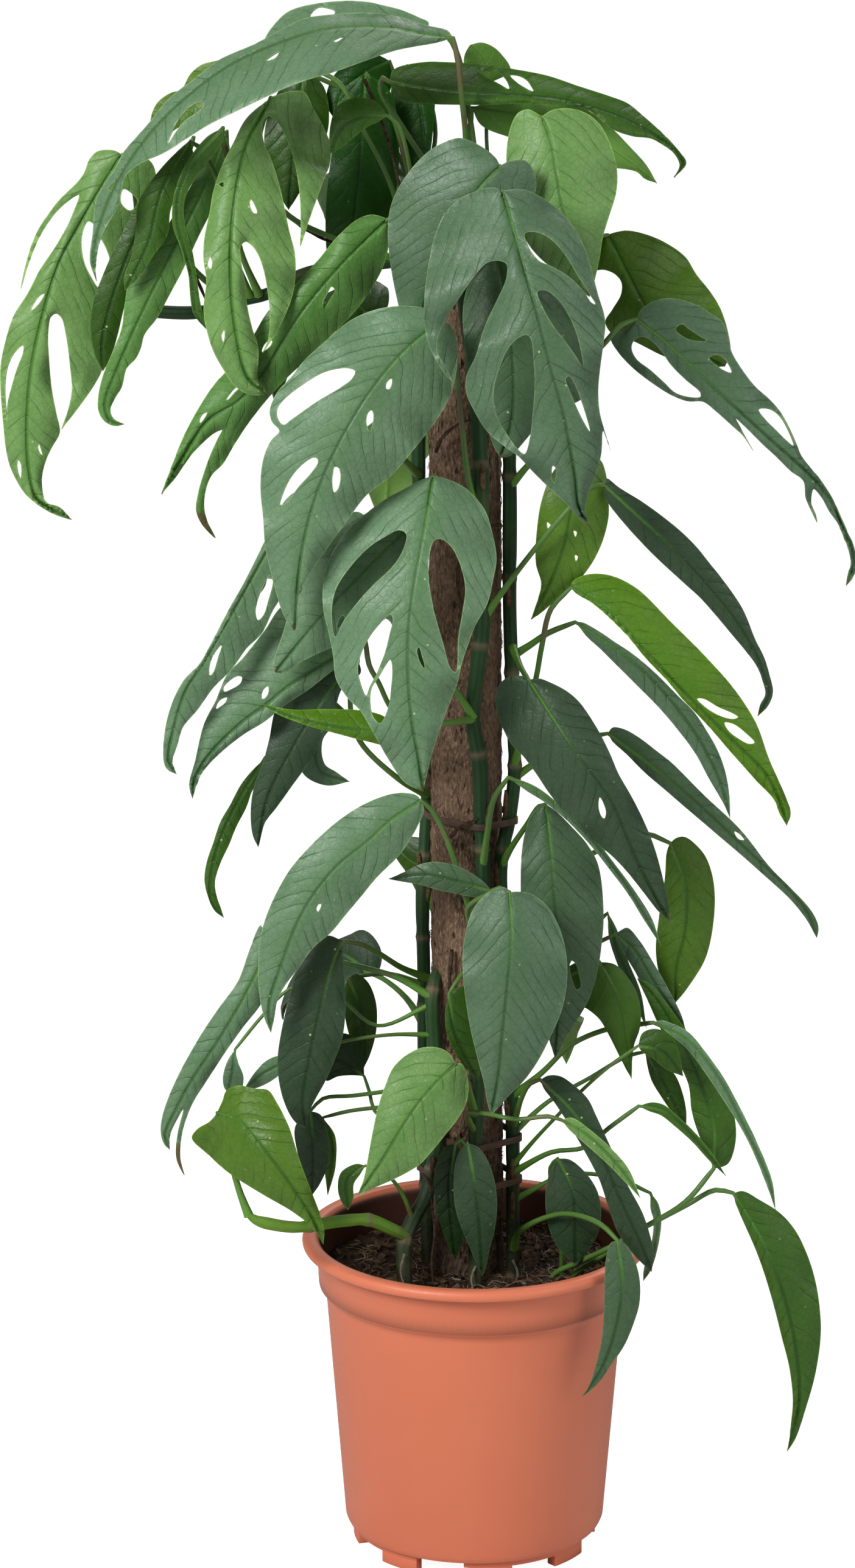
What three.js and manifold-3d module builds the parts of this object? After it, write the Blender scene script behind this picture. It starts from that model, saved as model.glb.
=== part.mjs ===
// A climbing aroid in a nursery pot: pot, soil, fibre pole, ties, stems, and leaves on stalks.
// Millimetres, +Z up. The pot's axis is the Z axis until the last line sets the origin under the plant.
import * as THREE from 'three';
import { mergeVertices } from 'three/addons/utils/BufferGeometryUtils.js';
import Module from 'manifold-3d';

const wasm = await Module();
wasm.setup();

// pot
const potHeight = 222;
const rimRadius = 120;
const lipHeight = 7.5;
const collarTop = 110;
const collarFoot = 108.5;
const collarHeight = 28;
const bodyTop = 103.6;
const bodyFoot = 91;
const wall = 2.4;
const footHeight = 14;
const footRadius = 86;
const footWidth = 8;
const footSpread = 67;
const footNotch = 25;
const footTurn = 5;
const floorTop = 16.5;
const potSides = 28;

// soil and pole
const soilTop = 195;
const soilWaves = 1.8;
const rootDepth = 38;
const poleRadius = 25;
const poleFoot = 60;
const poleTop = 897;
const poleSides = 14;
const gap = 0.35;

// ties
const tieThick = 1.2;
const tieHeight = 4.5;
const tieSlack = 0.7;
const tieSides = 14;
const tieLevels = { tie_upper: 519, tie_middle: 292, tie_lower: 262 };

// leaves
const bladeThick = 0.9;
const stalkRadius = 2.1;
const stalkSides = 3;
const stalkGrip = 5;
const marginSlack = 4.5;
const slotSlack = 3;
const slotLeast = 16;
const stemSides = 6;
const millimetresPerPixel = 0.41;

// The view that the leaves are laid out in: a long lens, level with the crown and looking down a little.
const eye = new THREE.Vector3(-33, -3000, 1302);
const pitch = THREE.MathUtils.degToRad(14.2);
const focal = 7509;
const viewCentre = [702, 1288];

// the point seen at a place in the view, at a depth behind the pot's axis
function seen(x, y, depth) {
  const right = (x - viewCentre[0]) / focal;
  const up = (viewCentre[1] - y) / focal;
  const ray = new THREE.Vector3(
    right,
    Math.cos(pitch) + up * Math.sin(pitch),
    up * Math.cos(pitch) - Math.sin(pitch),
  );
  return ray.multiplyScalar((depth - eye.y) / ray.y).add(eye);
}

const grouped = (numbers, size) =>
  Array.from({ length: numbers.length / size }, (_, i) => numbers.slice(i * size, i * size + size));
const seenPath = (numbers) => grouped(numbers, 3).map(([x, y, depth]) => seen(x, y, depth));

// Stems, each a line of places in the view with its depth, from the soil up.
const stems = {
  vine_front: { radius: 5, steps: 22, soil: 1, path: [781,2125,-30, 781,1990,-28, 781,1856,-28,
    786,1650,-28, 793,1441,-28, 790,1337,-28, 788,1255,-28, 776,1177,-28, 784,1100,-28, 792,1026,-28,
    791,920,-28, 790,815,-28, 785,694,-27, 772,560,-27, 760,450,-29, 760,390,-26,
    762,340,-16] },
  vine_right: { radius: 4.5, steps: 22, soil: 1, path: [842,2120,-14, 842,2000,-10, 842,1885,-8,
    838,1700,-10, 830,1550,-14, 822,1425,-16, 838,1333,-12, 845,1268,-8, 841,1130,-8, 837,998,-8,
    837,793,-8, 833,650,-11, 818,540,-19, 807,470,-24, 798,425,-27, 790,380,-18,
    788,340,-4] },
  vine_left: { radius: 4.5, steps: 18, soil: 1, path: [704,2118,18, 698,1850,18, 696,1601,18,
    694,1467,18, 702,1304,26, 698,1200,24, 694,1000,20, 687,737,18, 690,600,16, 687,480,9,
    680,420,2] },
  vine_low_left: { radius: 5, steps: 12, soil: 1, path: [665,2118,-48, 664,2041,-42, 680,2000,-34,
    699,1965,-26, 713,1900,-20, 716,1800,-20, 712,1700,-18, 706,1600,-16] },
  shoot_arching: { radius: 4.2, steps: 14, path: [672,425,0, 640,430,0, 520,445,2, 484,457,2,
    441,482,2, 400,492,2, 335,512,2, 260,512,4, 215,505,6] },
};
const sideShoot = { radius: 4.2, steps: 9, path: [664,2030,-42, 640,2018,-50, 604,2004,-58,
  560,2006,-66, 489,2016,-88, 450,2012,-94, 420,2004,-96, 408,1996,-96] };
const stemOf = { front: 'vine_front', right: 'vine_right', left: 'vine_left', low: 'vine_low_left',
  shoot: 'shoot_arching' };

// Leaves as seen from the front. rib runs from the blade's base to its tip and stalk from the stem to the
// base, as x, y, depth. left and right are the margins, and slots the openings, as x, y. tilt is how far
// each half leans back from the rib. A leaf with a stem in "on" is fused with it, and one with "soil"
// stands in the soil.
const leaves = [
  { name: 'crown_arching', tilt: [60, -55],
    stalk: [762,345,-16, 765,230,-30, 757,150,-42, 752,100,-47, 744,62,-48],
    rib: [744,62,-48, 700,58,-58, 640,47,-70, 540,48,-84, 480,63,-88, 400,95,-90, 350,125,-90,
      300,165,-88, 250,215,-85, 200,285,-80, 167,358,-76, 152,432,-73, 159,462,-72],
    left: [735,51, 700,42, 650,27, 600,21, 550,24, 500,31, 460,50, 420,72, 360,99, 320,129, 275,165,
      247,200, 225,225, 205,248, 190,275, 173,302, 158,330, 153,380, 148,430],
    right: [720,69, 650,83, 600,100, 550,118, 500,133, 450,153, 400,177, 350,201, 300,232, 268,252,
      240,264, 218,277, 204,293, 199,315, 193,340, 175,372, 163,400, 157,442],
    slots: [[334,168, 318,172, 302,186, 287,208, 276,236, 290,215, 305,197, 322,186, 333,176],
      [178,311, 189,298, 183,314], [548,68, 566,59, 553,69], [437,100, 458,86, 453,95]] },
  { name: 'crown_back_top', tilt: [50, -30],
    stalk: [787,350,-5, 777,230,8, 764,150,16, 753,95,18, 735,60,16, 702,48,14],
    rib: [702,48,14, 640,36,16, 570,34,20, 500,44,22, 430,80,22],
    left: [704,37, 690,30, 660,17, 630,9, 600,3, 560,2, 520,6, 480,16, 462,28, 438,58],
    right: [690,60, 640,62, 560,62, 500,66, 455,80],
    slots: [[523,13, 550,19, 547,25, 510,27]] },
  { name: 'crown_back_left', tilt: [30, -20],
    stalk: [688,470,8, 668,400,14, 640,300,14, 596,212,13, 555,135,14, 490,110,16, 430,120,18],
    rib: [430,120,18, 370,135,16, 310,170,14, 262,205,10, 245,235,8],
    left: [400,100, 375,97, 350,101, 330,107, 312,123, 298,147, 280,153, 262,165, 252,180, 247,200],
    right: [430,140, 380,165, 330,190, 285,215, 258,240] },
  { name: 'crown_hanging', tilt: [15, 20],
    stalk: [655,428,-1, 555,394,-16, 475,355,-26, 430,300,-30, 425,230,-34, 445,160,-40],
    rib: [445,160,-40, 405,235,-62, 385,330,-80, 378,430,-88, 386,540,-88, 408,622,-84, 438,646,-82],
    left: [405,195, 385,232, 365,272, 350,318, 345,348, 337,385, 334,425, 339,460, 335,510, 341,548,
      352,580, 368,608, 385,633, 405,646, 425,649],
    right: [478,150, 500,152, 515,180, 530,207, 543,240, 541,270, 530,300, 508,360, 493,404, 494,375,
      492,320, 486,278, 475,238, 458,203, 441,190, 431,200, 433,235, 445,262, 460,310, 476,385, 484,415,
      485,450, 478,492, 462,530, 445,560, 431,580, 441,555, 443,515, 440,480, 432,440, 420,412, 404,397,
      395,404, 396,430, 402,465, 405,500, 414,540, 423,568, 424,592, 422,620, 430,634],
    slots: [[412,328, 417,335, 422,350, 417,350, 411,338], [345,422, 348,430, 346,442, 341,436],
      [368,543, 369,552, 367,562, 364,552], [367,299, 367,308, 360,303]] },
  { name: 'crown_far_left', tilt: [20, 15],
    stalk: [215,505,6, 218,450,14, 224,380,14, 222,320,12, 200,254,-2],
    rib: [200,254,-2, 165,310,-6, 130,370,-10, 98,430,-14, 72,510,-16, 52,600,-16, 44,700,-14,
      48,775,-12, 60,818,-11, 88,838,-10, 118,854,-8],
    left: [185,247, 160,249, 147,262, 138,285, 127,300, 93,334, 60,383, 42,435, 34,476, 46,437, 66,388,
      99,342, 130,320, 118,355, 95,400, 65,445, 46,482, 22,520, 8,565, 1,605, 1,640, 6,700, 9,730,
      15,760, 28,790, 45,815, 68,833, 92,846],
    right: [225,256, 248,266, 256,295, 240,335, 226,358, 212,395, 198,430, 186,465, 178,500, 172,550,
      170,600, 150,640, 125,675, 108,696, 101,706, 112,672, 118,640, 115,600, 109,555, 101,522, 92,515,
      83,521, 79,545, 80,585, 84,635, 93,680, 98,710, 85,735, 76,754, 69,780, 69,802, 76,825, 97,833],
    slots: [[145,364, 137,378, 134,402, 139,432, 150,455, 162,472, 172,452, 180,430, 174,408, 163,388,
      155,370], [203,311, 216,318, 226,332, 214,346, 199,333], [38,568, 38,578, 28,605, 19,635, 12,665,
      12,690, 10,667, 9,630, 13,602, 24,580], [73,483, 65,487, 55,500, 51,510, 60,503, 70,490],
      [64,730, 67,738, 70,748, 66,744, 63,736], [30,756, 34,762, 35,775, 34,786, 30,778, 28,764]] },
  { name: 'left_backlit', tilt: [15, 15],
    stalk: [392,494,2, 345,467,-2, 305,423,-8, 290,350,-12, 302,280,-16, 318,225,-22],
    rib: [318,225,-22, 270,300,-26, 225,385,-28, 188,480,-28, 168,560,-26, 169,610,-24],
    left: [290,250, 262,285, 227,332, 205,375, 185,415, 168,455, 155,490, 149,530, 151,560, 158,588],
    right: [305,290, 265,370, 230,440, 207,495, 193,550, 180,592] },
  { name: 'left_blue', tilt: [12, 20],
    stalk: [352,508,2, 357,470,-12, 362,430,-20, 370,320,-24, 372,215,-30],
    rib: [372,215,-30, 335,310,-40, 285,410,-46, 235,510,-48, 195,600,-48, 172,665,-46, 181,691,-45,
      204,697,-44],
    left: [345,235, 322,290, 290,345, 262,395, 235,430, 213,460, 205,500, 200,540, 184,580, 170,615,
      162,650, 162,675, 172,692, 190,700],
    right: [378,270, 350,340, 325,390, 302,440, 275,490, 258,522, 237,550, 231,572, 222,590, 208,605,
      200,635, 188,655, 181,673, 187,688] },
  { name: 'left_dark_narrow', on: 'shoot', tilt: [15, 20],
    stalk: [410,486,0, 385,420,-20, 372,350,-50, 350,280,-56, 325,240,-58, 312,232,-58],
    rib: [312,232,-58, 265,315,-62, 243,400,-62, 205,478,-58],
    left: [285,255, 250,295, 227,333, 223,380, 216,420, 204,455],
    right: [318,262, 300,300, 280,345, 275,385, 253,418, 230,452] },
  { name: 'left_ribbon', on: 'shoot', tilt: [15, 15],
    stalk: [425,484,-2, 392,400,-30, 384,300,-50, 372,250,-58, 364,222,-66, 366,210,-70],
    rib: [366,210,-70, 320,262,-72, 293,320,-72, 292,370,-72, 304,412,-72, 314,450,-72, 322,515,-72,
      342,545,-72],
    left: [340,225, 305,270, 285,325, 284,370, 297,408, 309,450, 318,515],
    right: [365,232, 331,278, 304,325, 303,368, 315,410, 322,448, 331,508] },
  { name: 'crown_diagonal', tilt: [15, 25],
    stalk: [672,426,-2, 660,395,-27, 637,360,-51],
    rib: [637,360,-51, 556,440,-62, 490,520,-68, 440,600,-70, 396,655,-68, 340,692,-64, 302,748,-60,
      265,812,-58],
    left: [610,353, 585,362, 555,388, 525,425, 500,452, 470,485, 440,512, 417,550, 400,575, 375,606,
      352,632, 330,665, 308,705, 290,745, 275,785],
    right: [638,400, 630,435, 612,470, 588,505, 550,545, 510,585, 480,612, 448,645, 425,672, 402,703,
      380,738, 366,762, 348,780, 339,800, 335,830, 340,855, 354,884, 332,862, 322,838, 325,812,
      334,780, 345,748, 358,720, 365,706, 352,711, 322,738, 306,758, 288,784],
    slots: [[545,471, 550,478, 543,489, 531,508, 531,496, 538,482], [447,560, 445,567, 436,575,
      430,578, 433,568, 441,560], [393,637, 385,645, 375,656, 372,657, 380,645, 388,637],
      [340,678, 336,687, 329,695, 328,690, 333,681]] },
  { name: 'crown_small', on: 'left', tilt: [25, 20],
    stalk: [682,430,4, 678,330,-30, 668,250,-52, 652,202,-60, 636,190,-62],
    rib: [636,190,-62, 590,193,-66, 558,215,-66, 542,253,-62],
    left: [620,170, 600,161, 575,162, 553,175, 545,195, 541,225],
    right: [622,199, 605,207, 580,226, 558,243] },
  { name: 'crown_right_arching', tilt: [55, -30],
    stalk: [760,378,-25, 735,330,-10, 700,270,2, 655,200,2, 625,150,0, 628,128,-4, 640,135,-8],
    rib: [640,135,-8, 700,145,-14, 765,152,-18, 850,156,-20, 930,165,-20, 1000,185,-18, 1060,212,-14,
      1106,243,-10, 1122,266,-8, 1107,292,-6],
    left: [645,116, 690,103, 745,103, 800,107, 850,115, 900,125, 950,142, 1000,158, 1030,170,
      1055,190, 1080,212, 1100,231, 1117,251, 1127,268],
    right: [655,163, 710,171, 765,172, 800,172, 860,170, 920,175, 965,180, 1005,212, 1040,224,
      1067,227, 1087,237, 1109,254, 1116,272],
    slots: [[786,117, 800,118, 815,118, 830,130, 836,146, 820,138, 800,127],
      [838,124, 852,125, 865,132, 872,142, 876,150, 862,144, 848,135]] },
  { name: 'crown_right_under', tilt: [20, 25],
    stalk: [790,385,-19, 776,360,-2, 768,300,12, 770,240,18, 775,176,20],
    rib: [775,176,20, 860,190,18, 950,212,16, 1020,255,14, 1079,301,14],
    left: [820,165, 900,165, 955,176, 1000,207, 1035,242, 1060,270],
    right: [790,205, 850,230, 920,258, 975,272, 1012,276, 1043,281, 1060,294] },
  { name: 'crown_curled', on: 'right', tilt: [10, 10],
    stalk: [790,366,-13, 803,335,2, 803,280,20, 799,230,29, 800,138,31],
    rib: [800,138,31, 797,110,32, 788,88,33, 772,74,34],
    left: [772,125, 762,105, 764,88],
    right: [838,116, 824,90, 808,76, 790,70] },
  { name: 'crown_heart', tilt: [15, 20],
    stalk: [794,402,-22, 840,320,-34, 870,240,-50, 890,192,-62],
    rib: [890,192,-62, 905,235,-68, 914,290,-74, 925,350,-76, 948,420,-74, 968,488,-70],
    left: [880,186, 868,180, 852,185, 840,205, 832,250, 834,300, 845,350, 864,395, 888,425, 916,447,
      945,470],
    right: [905,182, 930,178, 960,185, 985,205, 1003,240, 1013,280, 1011,320, 1000,355, 990,388,
      984,425, 976,460] },
  { name: 'crown_round', tilt: [20, 15],
    stalk: [760,420,-28, 786,360,-48, 812,300,-70, 821,273,-92],
    rib: [821,273,-92, 790,305,-96, 745,370,-94, 712,450,-86, 690,530,-78, 684,585,-74],
    left: [812,258, 785,238, 755,227, 725,236, 700,252, 665,292, 643,335, 637,380, 641,430, 652,490,
      666,545],
    right: [835,266, 862,264, 877,283, 879,315, 862,338, 825,365, 785,410, 745,470, 708,545] },
  { name: 'front_crown_split', tilt: [18, 22],
    stalk: [807,472,-23, 830,410,-40, 850,392,-70, 848,360,-112, 824,314,-118],
    rib: [824,314,-118, 845,385,-136, 860,440,-148, 880,510,-156, 900,590,-158, 925,680,-154,
      944,780,-144, 951,836,-135, 968,861,-130],
    left: [812,309, 795,310, 765,322, 735,345, 715,385, 704,435, 697,490, 697,530, 703,562, 716,592,
      730,613, 745,629, 731,601, 718,576, 721,548, 735,518, 757,485, 778,455, 800,432, 818,428,
      832,434, 832,456, 817,492, 797,535, 781,585, 766,618, 766,645, 779,675, 800,708, 832,736,
      852,750, 872,771, 900,799, 935,832, 955,855],
    right: [838,312, 860,312, 890,325, 920,348, 945,378, 962,412, 973,450, 982,485, 992,518, 994,535,
      990,570, 985,605, 982,640, 985,680, 1003,741, 990,708, 987,745, 978,780, 966,808, 961,838],
    slots: [[865,550, 872,558, 876,590, 878,630, 875,675, 870,720, 861,746, 848,735, 832,712, 818,688,
      811,660, 812,635, 820,605, 833,575, 850,556], [862,384, 875,381, 893,386, 912,400, 932,425,
      950,455, 966,480, 978,500, 971,497, 958,478, 935,455, 905,437, 885,428, 868,405],
      [883,479, 895,477, 912,488, 928,508, 943,538, 952,568, 957,602, 945,584, 928,560, 910,537,
      893,508], [929,622, 934,618, 945,634, 955,660, 963,685, 969,709, 957,690, 943,660, 934,638],
      [908,765, 912,768, 913,780, 911,793, 907,785, 906,772]] },
  { name: 'behind_front', on: 'right', tilt: [12, 12],
    stalk: [815,520,-20, 812,455,-37, 808,415,-60, 812,405,-70],
    rib: [812,405,-70, 830,500,-84, 842,600,-90, 840,690,-88, 822,752,-82],
    left: [785,430, 765,480, 760,520, 763,560, 771,605, 785,655, 800,700, 812,735],
    right: [850,430, 895,450, 935,490, 958,545, 966,605, 962,648, 946,661, 915,668, 882,700, 838,748] },
  { name: 'right_yellow', tilt: [15, 20],
    stalk: [832,640,-10, 880,520,-14, 930,460,-14, 965,412,-14, 985,388,-12, 998,386,-8],
    rib: [998,386,-8, 1030,448,-12, 1065,510,-14, 1120,565,-14, 1190,602,-12],
    left: [1015,381, 1030,379, 1060,385, 1095,400, 1125,422, 1143,450, 1165,478, 1182,505, 1195,545,
      1199,580],
    right: [985,395, 977,425, 976,443, 992,443, 1010,450, 1021,464, 1020,484, 1006,508, 994,528,
      1005,548, 1040,560, 1090,585, 1140,603] },
  { name: 'right_split', tilt: [25, 20],
    stalk: [845,700,-8, 900,640,-30, 985,572,-44, 1003,552,-46, 1020,534,-46, 1046,524,-42],
    rib: [1046,524,-42, 1100,568,-52, 1160,625,-58, 1220,680,-62, 1280,735,-62, 1330,780,-58,
      1365,822,-50, 1386,869,-46, 1397,898,-44, 1402,926,-42, 1389,963,-40],
    left: [1052,510, 1070,497, 1095,490, 1120,493, 1145,502, 1170,517, 1187,530, 1195,550, 1200,575,
      1217,605, 1240,635, 1262,655, 1280,675, 1295,700, 1308,730, 1315,748, 1330,768, 1350,792,
      1370,825, 1380,848, 1389,868, 1401,896, 1406,926, 1400,950],
    right: [1030,540, 1010,548, 1003,556, 1015,578, 1040,605, 1075,632, 1105,650, 1130,659, 1155,660,
      1175,675, 1200,697, 1220,716, 1237,741, 1218,706, 1208,687, 1225,702, 1250,727, 1275,750,
      1300,775, 1319,790, 1323,818, 1330,835, 1342,859, 1340,846, 1332,825, 1336,803, 1350,818,
      1362,840, 1375,858, 1381,872, 1392,900, 1397,926, 1392,944],
    slots: [[1037,572, 1041,560, 1055,553, 1072,562, 1088,580, 1102,600, 1126,624, 1150,645, 1150,652,
      1128,652, 1108,645, 1090,628, 1068,608, 1045,590], [1110,542, 1113,536, 1121,533, 1130,540,
      1148,552, 1160,560, 1145,560, 1128,556], [1165,588, 1175,583, 1185,586, 1195,597, 1201,612,
      1190,609, 1178,601], [1246,673, 1255,671, 1268,674, 1280,684, 1293,706, 1303,732, 1290,722,
      1272,704, 1256,688]] },
  { name: 'middle_left_large', tilt: [15, 22],
    stalk: [790,860,-27, 770,790,-34, 760,710,-40, 753,640,-46, 745,580,-70, 724,527,-108],
    rib: [724,527,-108, 665,575,-116, 610,640,-124, 565,712,-130, 530,785,-130, 508,850,-128,
      492,930,-122, 484,1037,-116],
    left: [700,508, 660,503, 620,508, 575,527, 535,560, 500,592, 478,620, 455,645, 443,675, 447,693,
      459,708, 445,724, 433,752, 428,795, 432,850, 436,900, 448,950, 462,1000, 474,1024],
    right: [735,531, 748,552, 751,590, 745,630, 728,672, 700,712, 668,752, 640,783, 600,815, 575,848,
      548,885, 520,925, 497,965, 489,995, 488,1022],
    slots: [[583,610, 570,605, 535,611, 497,632, 466,657, 455,674, 457,690, 465,698, 480,688, 520,660,
      560,636, 578,622], [521,754, 515,752, 495,765, 475,790, 462,820, 460,829, 470,826, 490,800,
      510,778, 522,760], [550,767, 556,769, 559,785, 555,803, 549,809, 546,795, 547,778],
      [610,674, 613,680, 612,695, 607,709, 602,695, 604,680], [643,622, 643,632, 638,640, 634,638,
      636,628]] },
  { name: 'middle_grey', tilt: [15, 15],
    stalk: [788,900,-28, 735,850,-45, 688,846,-76],
    rib: [688,846,-76, 610,925,-84, 530,1010,-84, 452,1104,-78],
    left: [640,832, 570,862, 510,930, 480,992, 465,1040, 449,1092],
    right: [702,900, 680,960, 640,1010, 590,1045, 545,1063, 500,1084, 464,1105],
    slots: [[562,1011, 566,1014, 558,1030, 554,1033, 556,1020]] },
  { name: 'left_long', tilt: [15, 20],
    stalk: [688,780,17, 640,740,-20, 570,735,-56, 500,800,-70],
    rib: [500,800,-70, 448,890,-76, 400,975,-78, 366,1035,-78, 335,1088,-78, 305,1135,-76,
      287,1190,-74, 277,1250,-72, 290,1272,-70],
    left: [470,820, 437,885, 410,940, 385,985, 345,1060, 328,1090, 300,1120, 278,1170, 268,1230,
      273,1262],
    right: [500,850, 470,920, 457,960, 458,985, 448,1003, 430,1040, 405,1065, 380,1100, 350,1130,
      325,1165, 300,1195, 291,1225, 283,1250],
    slots: [[443,945, 448,955, 441,985, 433,1010, 424,1019, 420,1006, 424,985, 434,960],
      [364,1060, 358,1080, 350,1105, 345,1110, 344,1098, 350,1078]] },
  { name: 'left_low_split', tilt: [20, 15],
    stalk: [700,1232,24, 668,1190,2, 640,1160,-20, 622,1122,-34, 606,1092,-44, 600,1050,-52],
    rib: [600,1050,-52, 530,1090,-58, 470,1130,-60, 436,1158,-60, 400,1184,-60, 345,1238,-58,
      320,1280,-56, 316,1313,-54],
    left: [560,1000, 500,985, 462,997, 435,1035, 400,1080, 372,1110, 355,1150, 335,1190, 321,1250,
      311,1290],
    right: [590,1075, 548,1100, 510,1130, 465,1160, 435,1185, 400,1206, 360,1238, 335,1265, 322,1292],
    slots: [[397,1112, 395,1122, 380,1132, 368,1136, 367,1130, 378,1118, 390,1111],
      [440,1128, 441,1136, 436,1146, 431,1148, 430,1142, 434,1132],
      [373,1146, 370,1154, 360,1162, 355,1165, 356,1158, 362,1150]] },
  { name: 'front_middle_split', tilt: [20, 18],
    stalk: [778,1178,-30, 758,1148,-36, 735,1115,-50, 700,1040,-80, 693,950,-96, 703,850,-92,
      711,782,-92],
    rib: [711,782,-92, 700,850,-110, 690,905,-120, 680,960,-128, 671,1030,-133, 670,1110,-134,
      677,1190,-130, 688,1250,-124, 695,1300,-120],
    left: [690,790, 660,806, 630,822, 600,845, 565,878, 543,915, 531,960, 531,1000, 540,1040,
      547,1075, 552,1115, 570,1145, 592,1168, 611,1200, 640,1250, 665,1285],
    right: [735,788, 765,803, 797,840, 809,880, 815,918, 809,955, 800,992, 780,1028, 768,1060,
      757,1095, 751,1122, 740,1150, 725,1190, 710,1235, 701,1270],
    slots: [[656,871, 667,878, 661,905, 645,930, 612,962, 585,992, 563,1022, 551,1046, 545,1005,
      552,968, 575,932, 605,900, 632,882], [641,1009, 645,1016, 640,1040, 632,1072, 625,1090,
      618,1108, 607,1128, 601,1143, 592,1122, 588,1098, 594,1072, 607,1047, 624,1025],
      [641,1084, 644,1100, 642,1130, 638,1160, 624,1188, 612,1175, 608,1150, 611,1130, 623,1111,
      634,1093], [688,1063, 692,1075, 697,1093, 697,1098, 690,1088, 685,1068],
      [713,888, 725,886, 742,900, 757,932, 764,968, 760,1002, 753,1045, 748,1104, 740,1098, 727,1055,
      712,1000, 704,950, 705,915]] },
  { name: 'left_bright_folded', tilt: [40, 35],
    stalk: [776,1182,-30, 720,1190,-60, 652,1206,-90],
    rib: [652,1206,-90, 600,1200,-92, 540,1192,-92, 480,1178,-90, 428,1156,-86],
    left: [632,1178, 590,1167, 540,1165, 480,1166],
    right: [645,1224, 600,1217, 550,1204, 500,1190, 460,1175] },
  { name: 'left_dark', tilt: [15, 15],
    stalk: [700,1305,22, 655,1280,0, 590,1216,-14, 575,1150,-26, 588,1085,-40],
    rib: [588,1085,-40, 530,1150,-44, 480,1230,-46, 440,1310,-44, 424,1392,-40],
    left: [540,1095, 490,1120, 455,1160, 442,1215, 432,1252, 418,1290, 412,1330, 415,1370],
    right: [592,1105, 562,1130, 547,1175, 530,1210, 512,1245, 478,1293, 455,1325, 435,1352] },
  { name: 'left_curled_tip', on: 'left', tilt: [10, 10],
    stalk: [700,1290,24, 650,1235,4, 600,1200,-6, 560,1165,-14, 545,1150,-18],
    rib: [545,1150,-18, 518,1215,-22, 524,1265,-22, 574,1284,-20],
    left: [515,1165, 492,1230, 498,1271, 535,1290],
    right: [560,1175, 530,1215, 533,1255, 552,1268] },
  { name: 'left_hanging_narrow', tilt: [20, 20],
    stalk: [702,1262,24, 660,1225,14, 610,1195,8, 540,1180,4, 480,1212,-4, 436,1245,-14],
    rib: [436,1245,-14, 395,1310,-18, 363,1375,-20, 346,1440,-20, 347,1482,-18, 368,1508,-16],
    left: [415,1265, 395,1290, 378,1322, 362,1350, 350,1385, 340,1415, 336,1445, 342,1475, 353,1497],
    right: [430,1272, 413,1302, 405,1325, 388,1358, 376,1388, 361,1420, 353,1450, 356,1473, 362,1490] },
  { name: 'lower_left_long', tilt: [18, 20],
    stalk: [782,1520,-30, 765,1475,-40, 745,1410,-46, 722,1352,-52, 706,1328,-58, 691,1315,-62],
    rib: [691,1315,-62, 645,1345,-70, 600,1385,-76, 558,1418,-80, 520,1462,-82, 490,1512,-84,
      462,1585,-82, 442,1650,-80, 445,1697,-78],
    left: [684,1307, 668,1303, 640,1305, 600,1320, 560,1345, 530,1370, 500,1400, 475,1430, 455,1465,
      440,1498, 430,1530, 425,1570, 425,1620, 430,1655, 438,1682],
    right: [696,1330, 688,1352, 675,1376, 655,1405, 620,1440, 595,1470, 570,1500, 545,1530, 515,1556,
      490,1590, 470,1616, 455,1645, 450,1672],
    slots: [[527,1485, 526,1492, 522,1498, 520,1494, 523,1486]] },
  { name: 'lower_left_blue', tilt: [15, 15],
    stalk: [700,1606,16, 660,1590,0, 620,1565,-20, 590,1550,-34, 562,1546,-44],
    rib: [562,1546,-44, 545,1590,-50, 525,1660,-56, 508,1740,-58, 497,1805,-56, 502,1853,-54],
    left: [540,1537, 515,1545, 497,1570, 485,1605, 472,1650, 461,1700, 456,1740, 458,1775, 466,1808,
      480,1837, 492,1849],
    right: [563,1575, 566,1620, 567,1665, 562,1705, 549,1742, 533,1778, 519,1803, 507,1828] },
  { name: 'far_left_long', tilt: [20, 20],
    stalk: [712,1640,-18, 650,1605,-16, 600,1590,-14, 560,1580,-16, 500,1560,-22, 440,1560,-28],
    rib: [440,1560,-28, 400,1640,-34, 355,1715,-36, 315,1775,-34, 288,1825,-32, 271,1865,-30,
      279,1889,-28],
    left: [428,1520, 410,1560, 392,1610, 360,1655, 330,1700, 308,1738, 292,1768, 277,1802, 267,1834,
      264,1858, 269,1879],
    right: [440,1620, 428,1650, 400,1686, 365,1736, 335,1782, 315,1815, 300,1858, 296,1900, 303,1931,
      290,1905, 291,1865, 301,1822, 290,1840, 279,1866] },
  { name: 'lower_shaded', on: 'left', tilt: [15, 15],
    stalk: [702,1620,18, 640,1600,10, 572,1606,-6],
    rib: [572,1606,-6, 592,1660,-10, 598,1710,-10, 597,1756,-8],
    left: [566,1625, 566,1665, 575,1705, 589,1738],
    right: [585,1600, 603,1612, 617,1645, 618,1690, 609,1728] },
  { name: 'lower_dark', on: 'low', tilt: [10, 10],
    stalk: [713,1882,-20, 650,1850,-24, 615,1825,-24, 607,1795,-22, 598,1768,-20],
    rib: [598,1768,-20, 565,1745,-24, 530,1730,-24],
    left: [596,1745, 588,1715, 572,1699, 550,1700],
    right: [580,1766, 555,1768, 535,1775] },
  { name: 'pot_bright_left', tilt: [20, 25],
    stalk: [409,1998,-95, 396,1965,-93, 385,1930,-90, 372,1880,-84, 357,1828,-78],
    rib: [357,1828,-78, 385,1836,-96, 420,1872,-112, 455,1915,-118, 490,1965,-116, 515,2005,-110,
      531,2044,-104],
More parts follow.
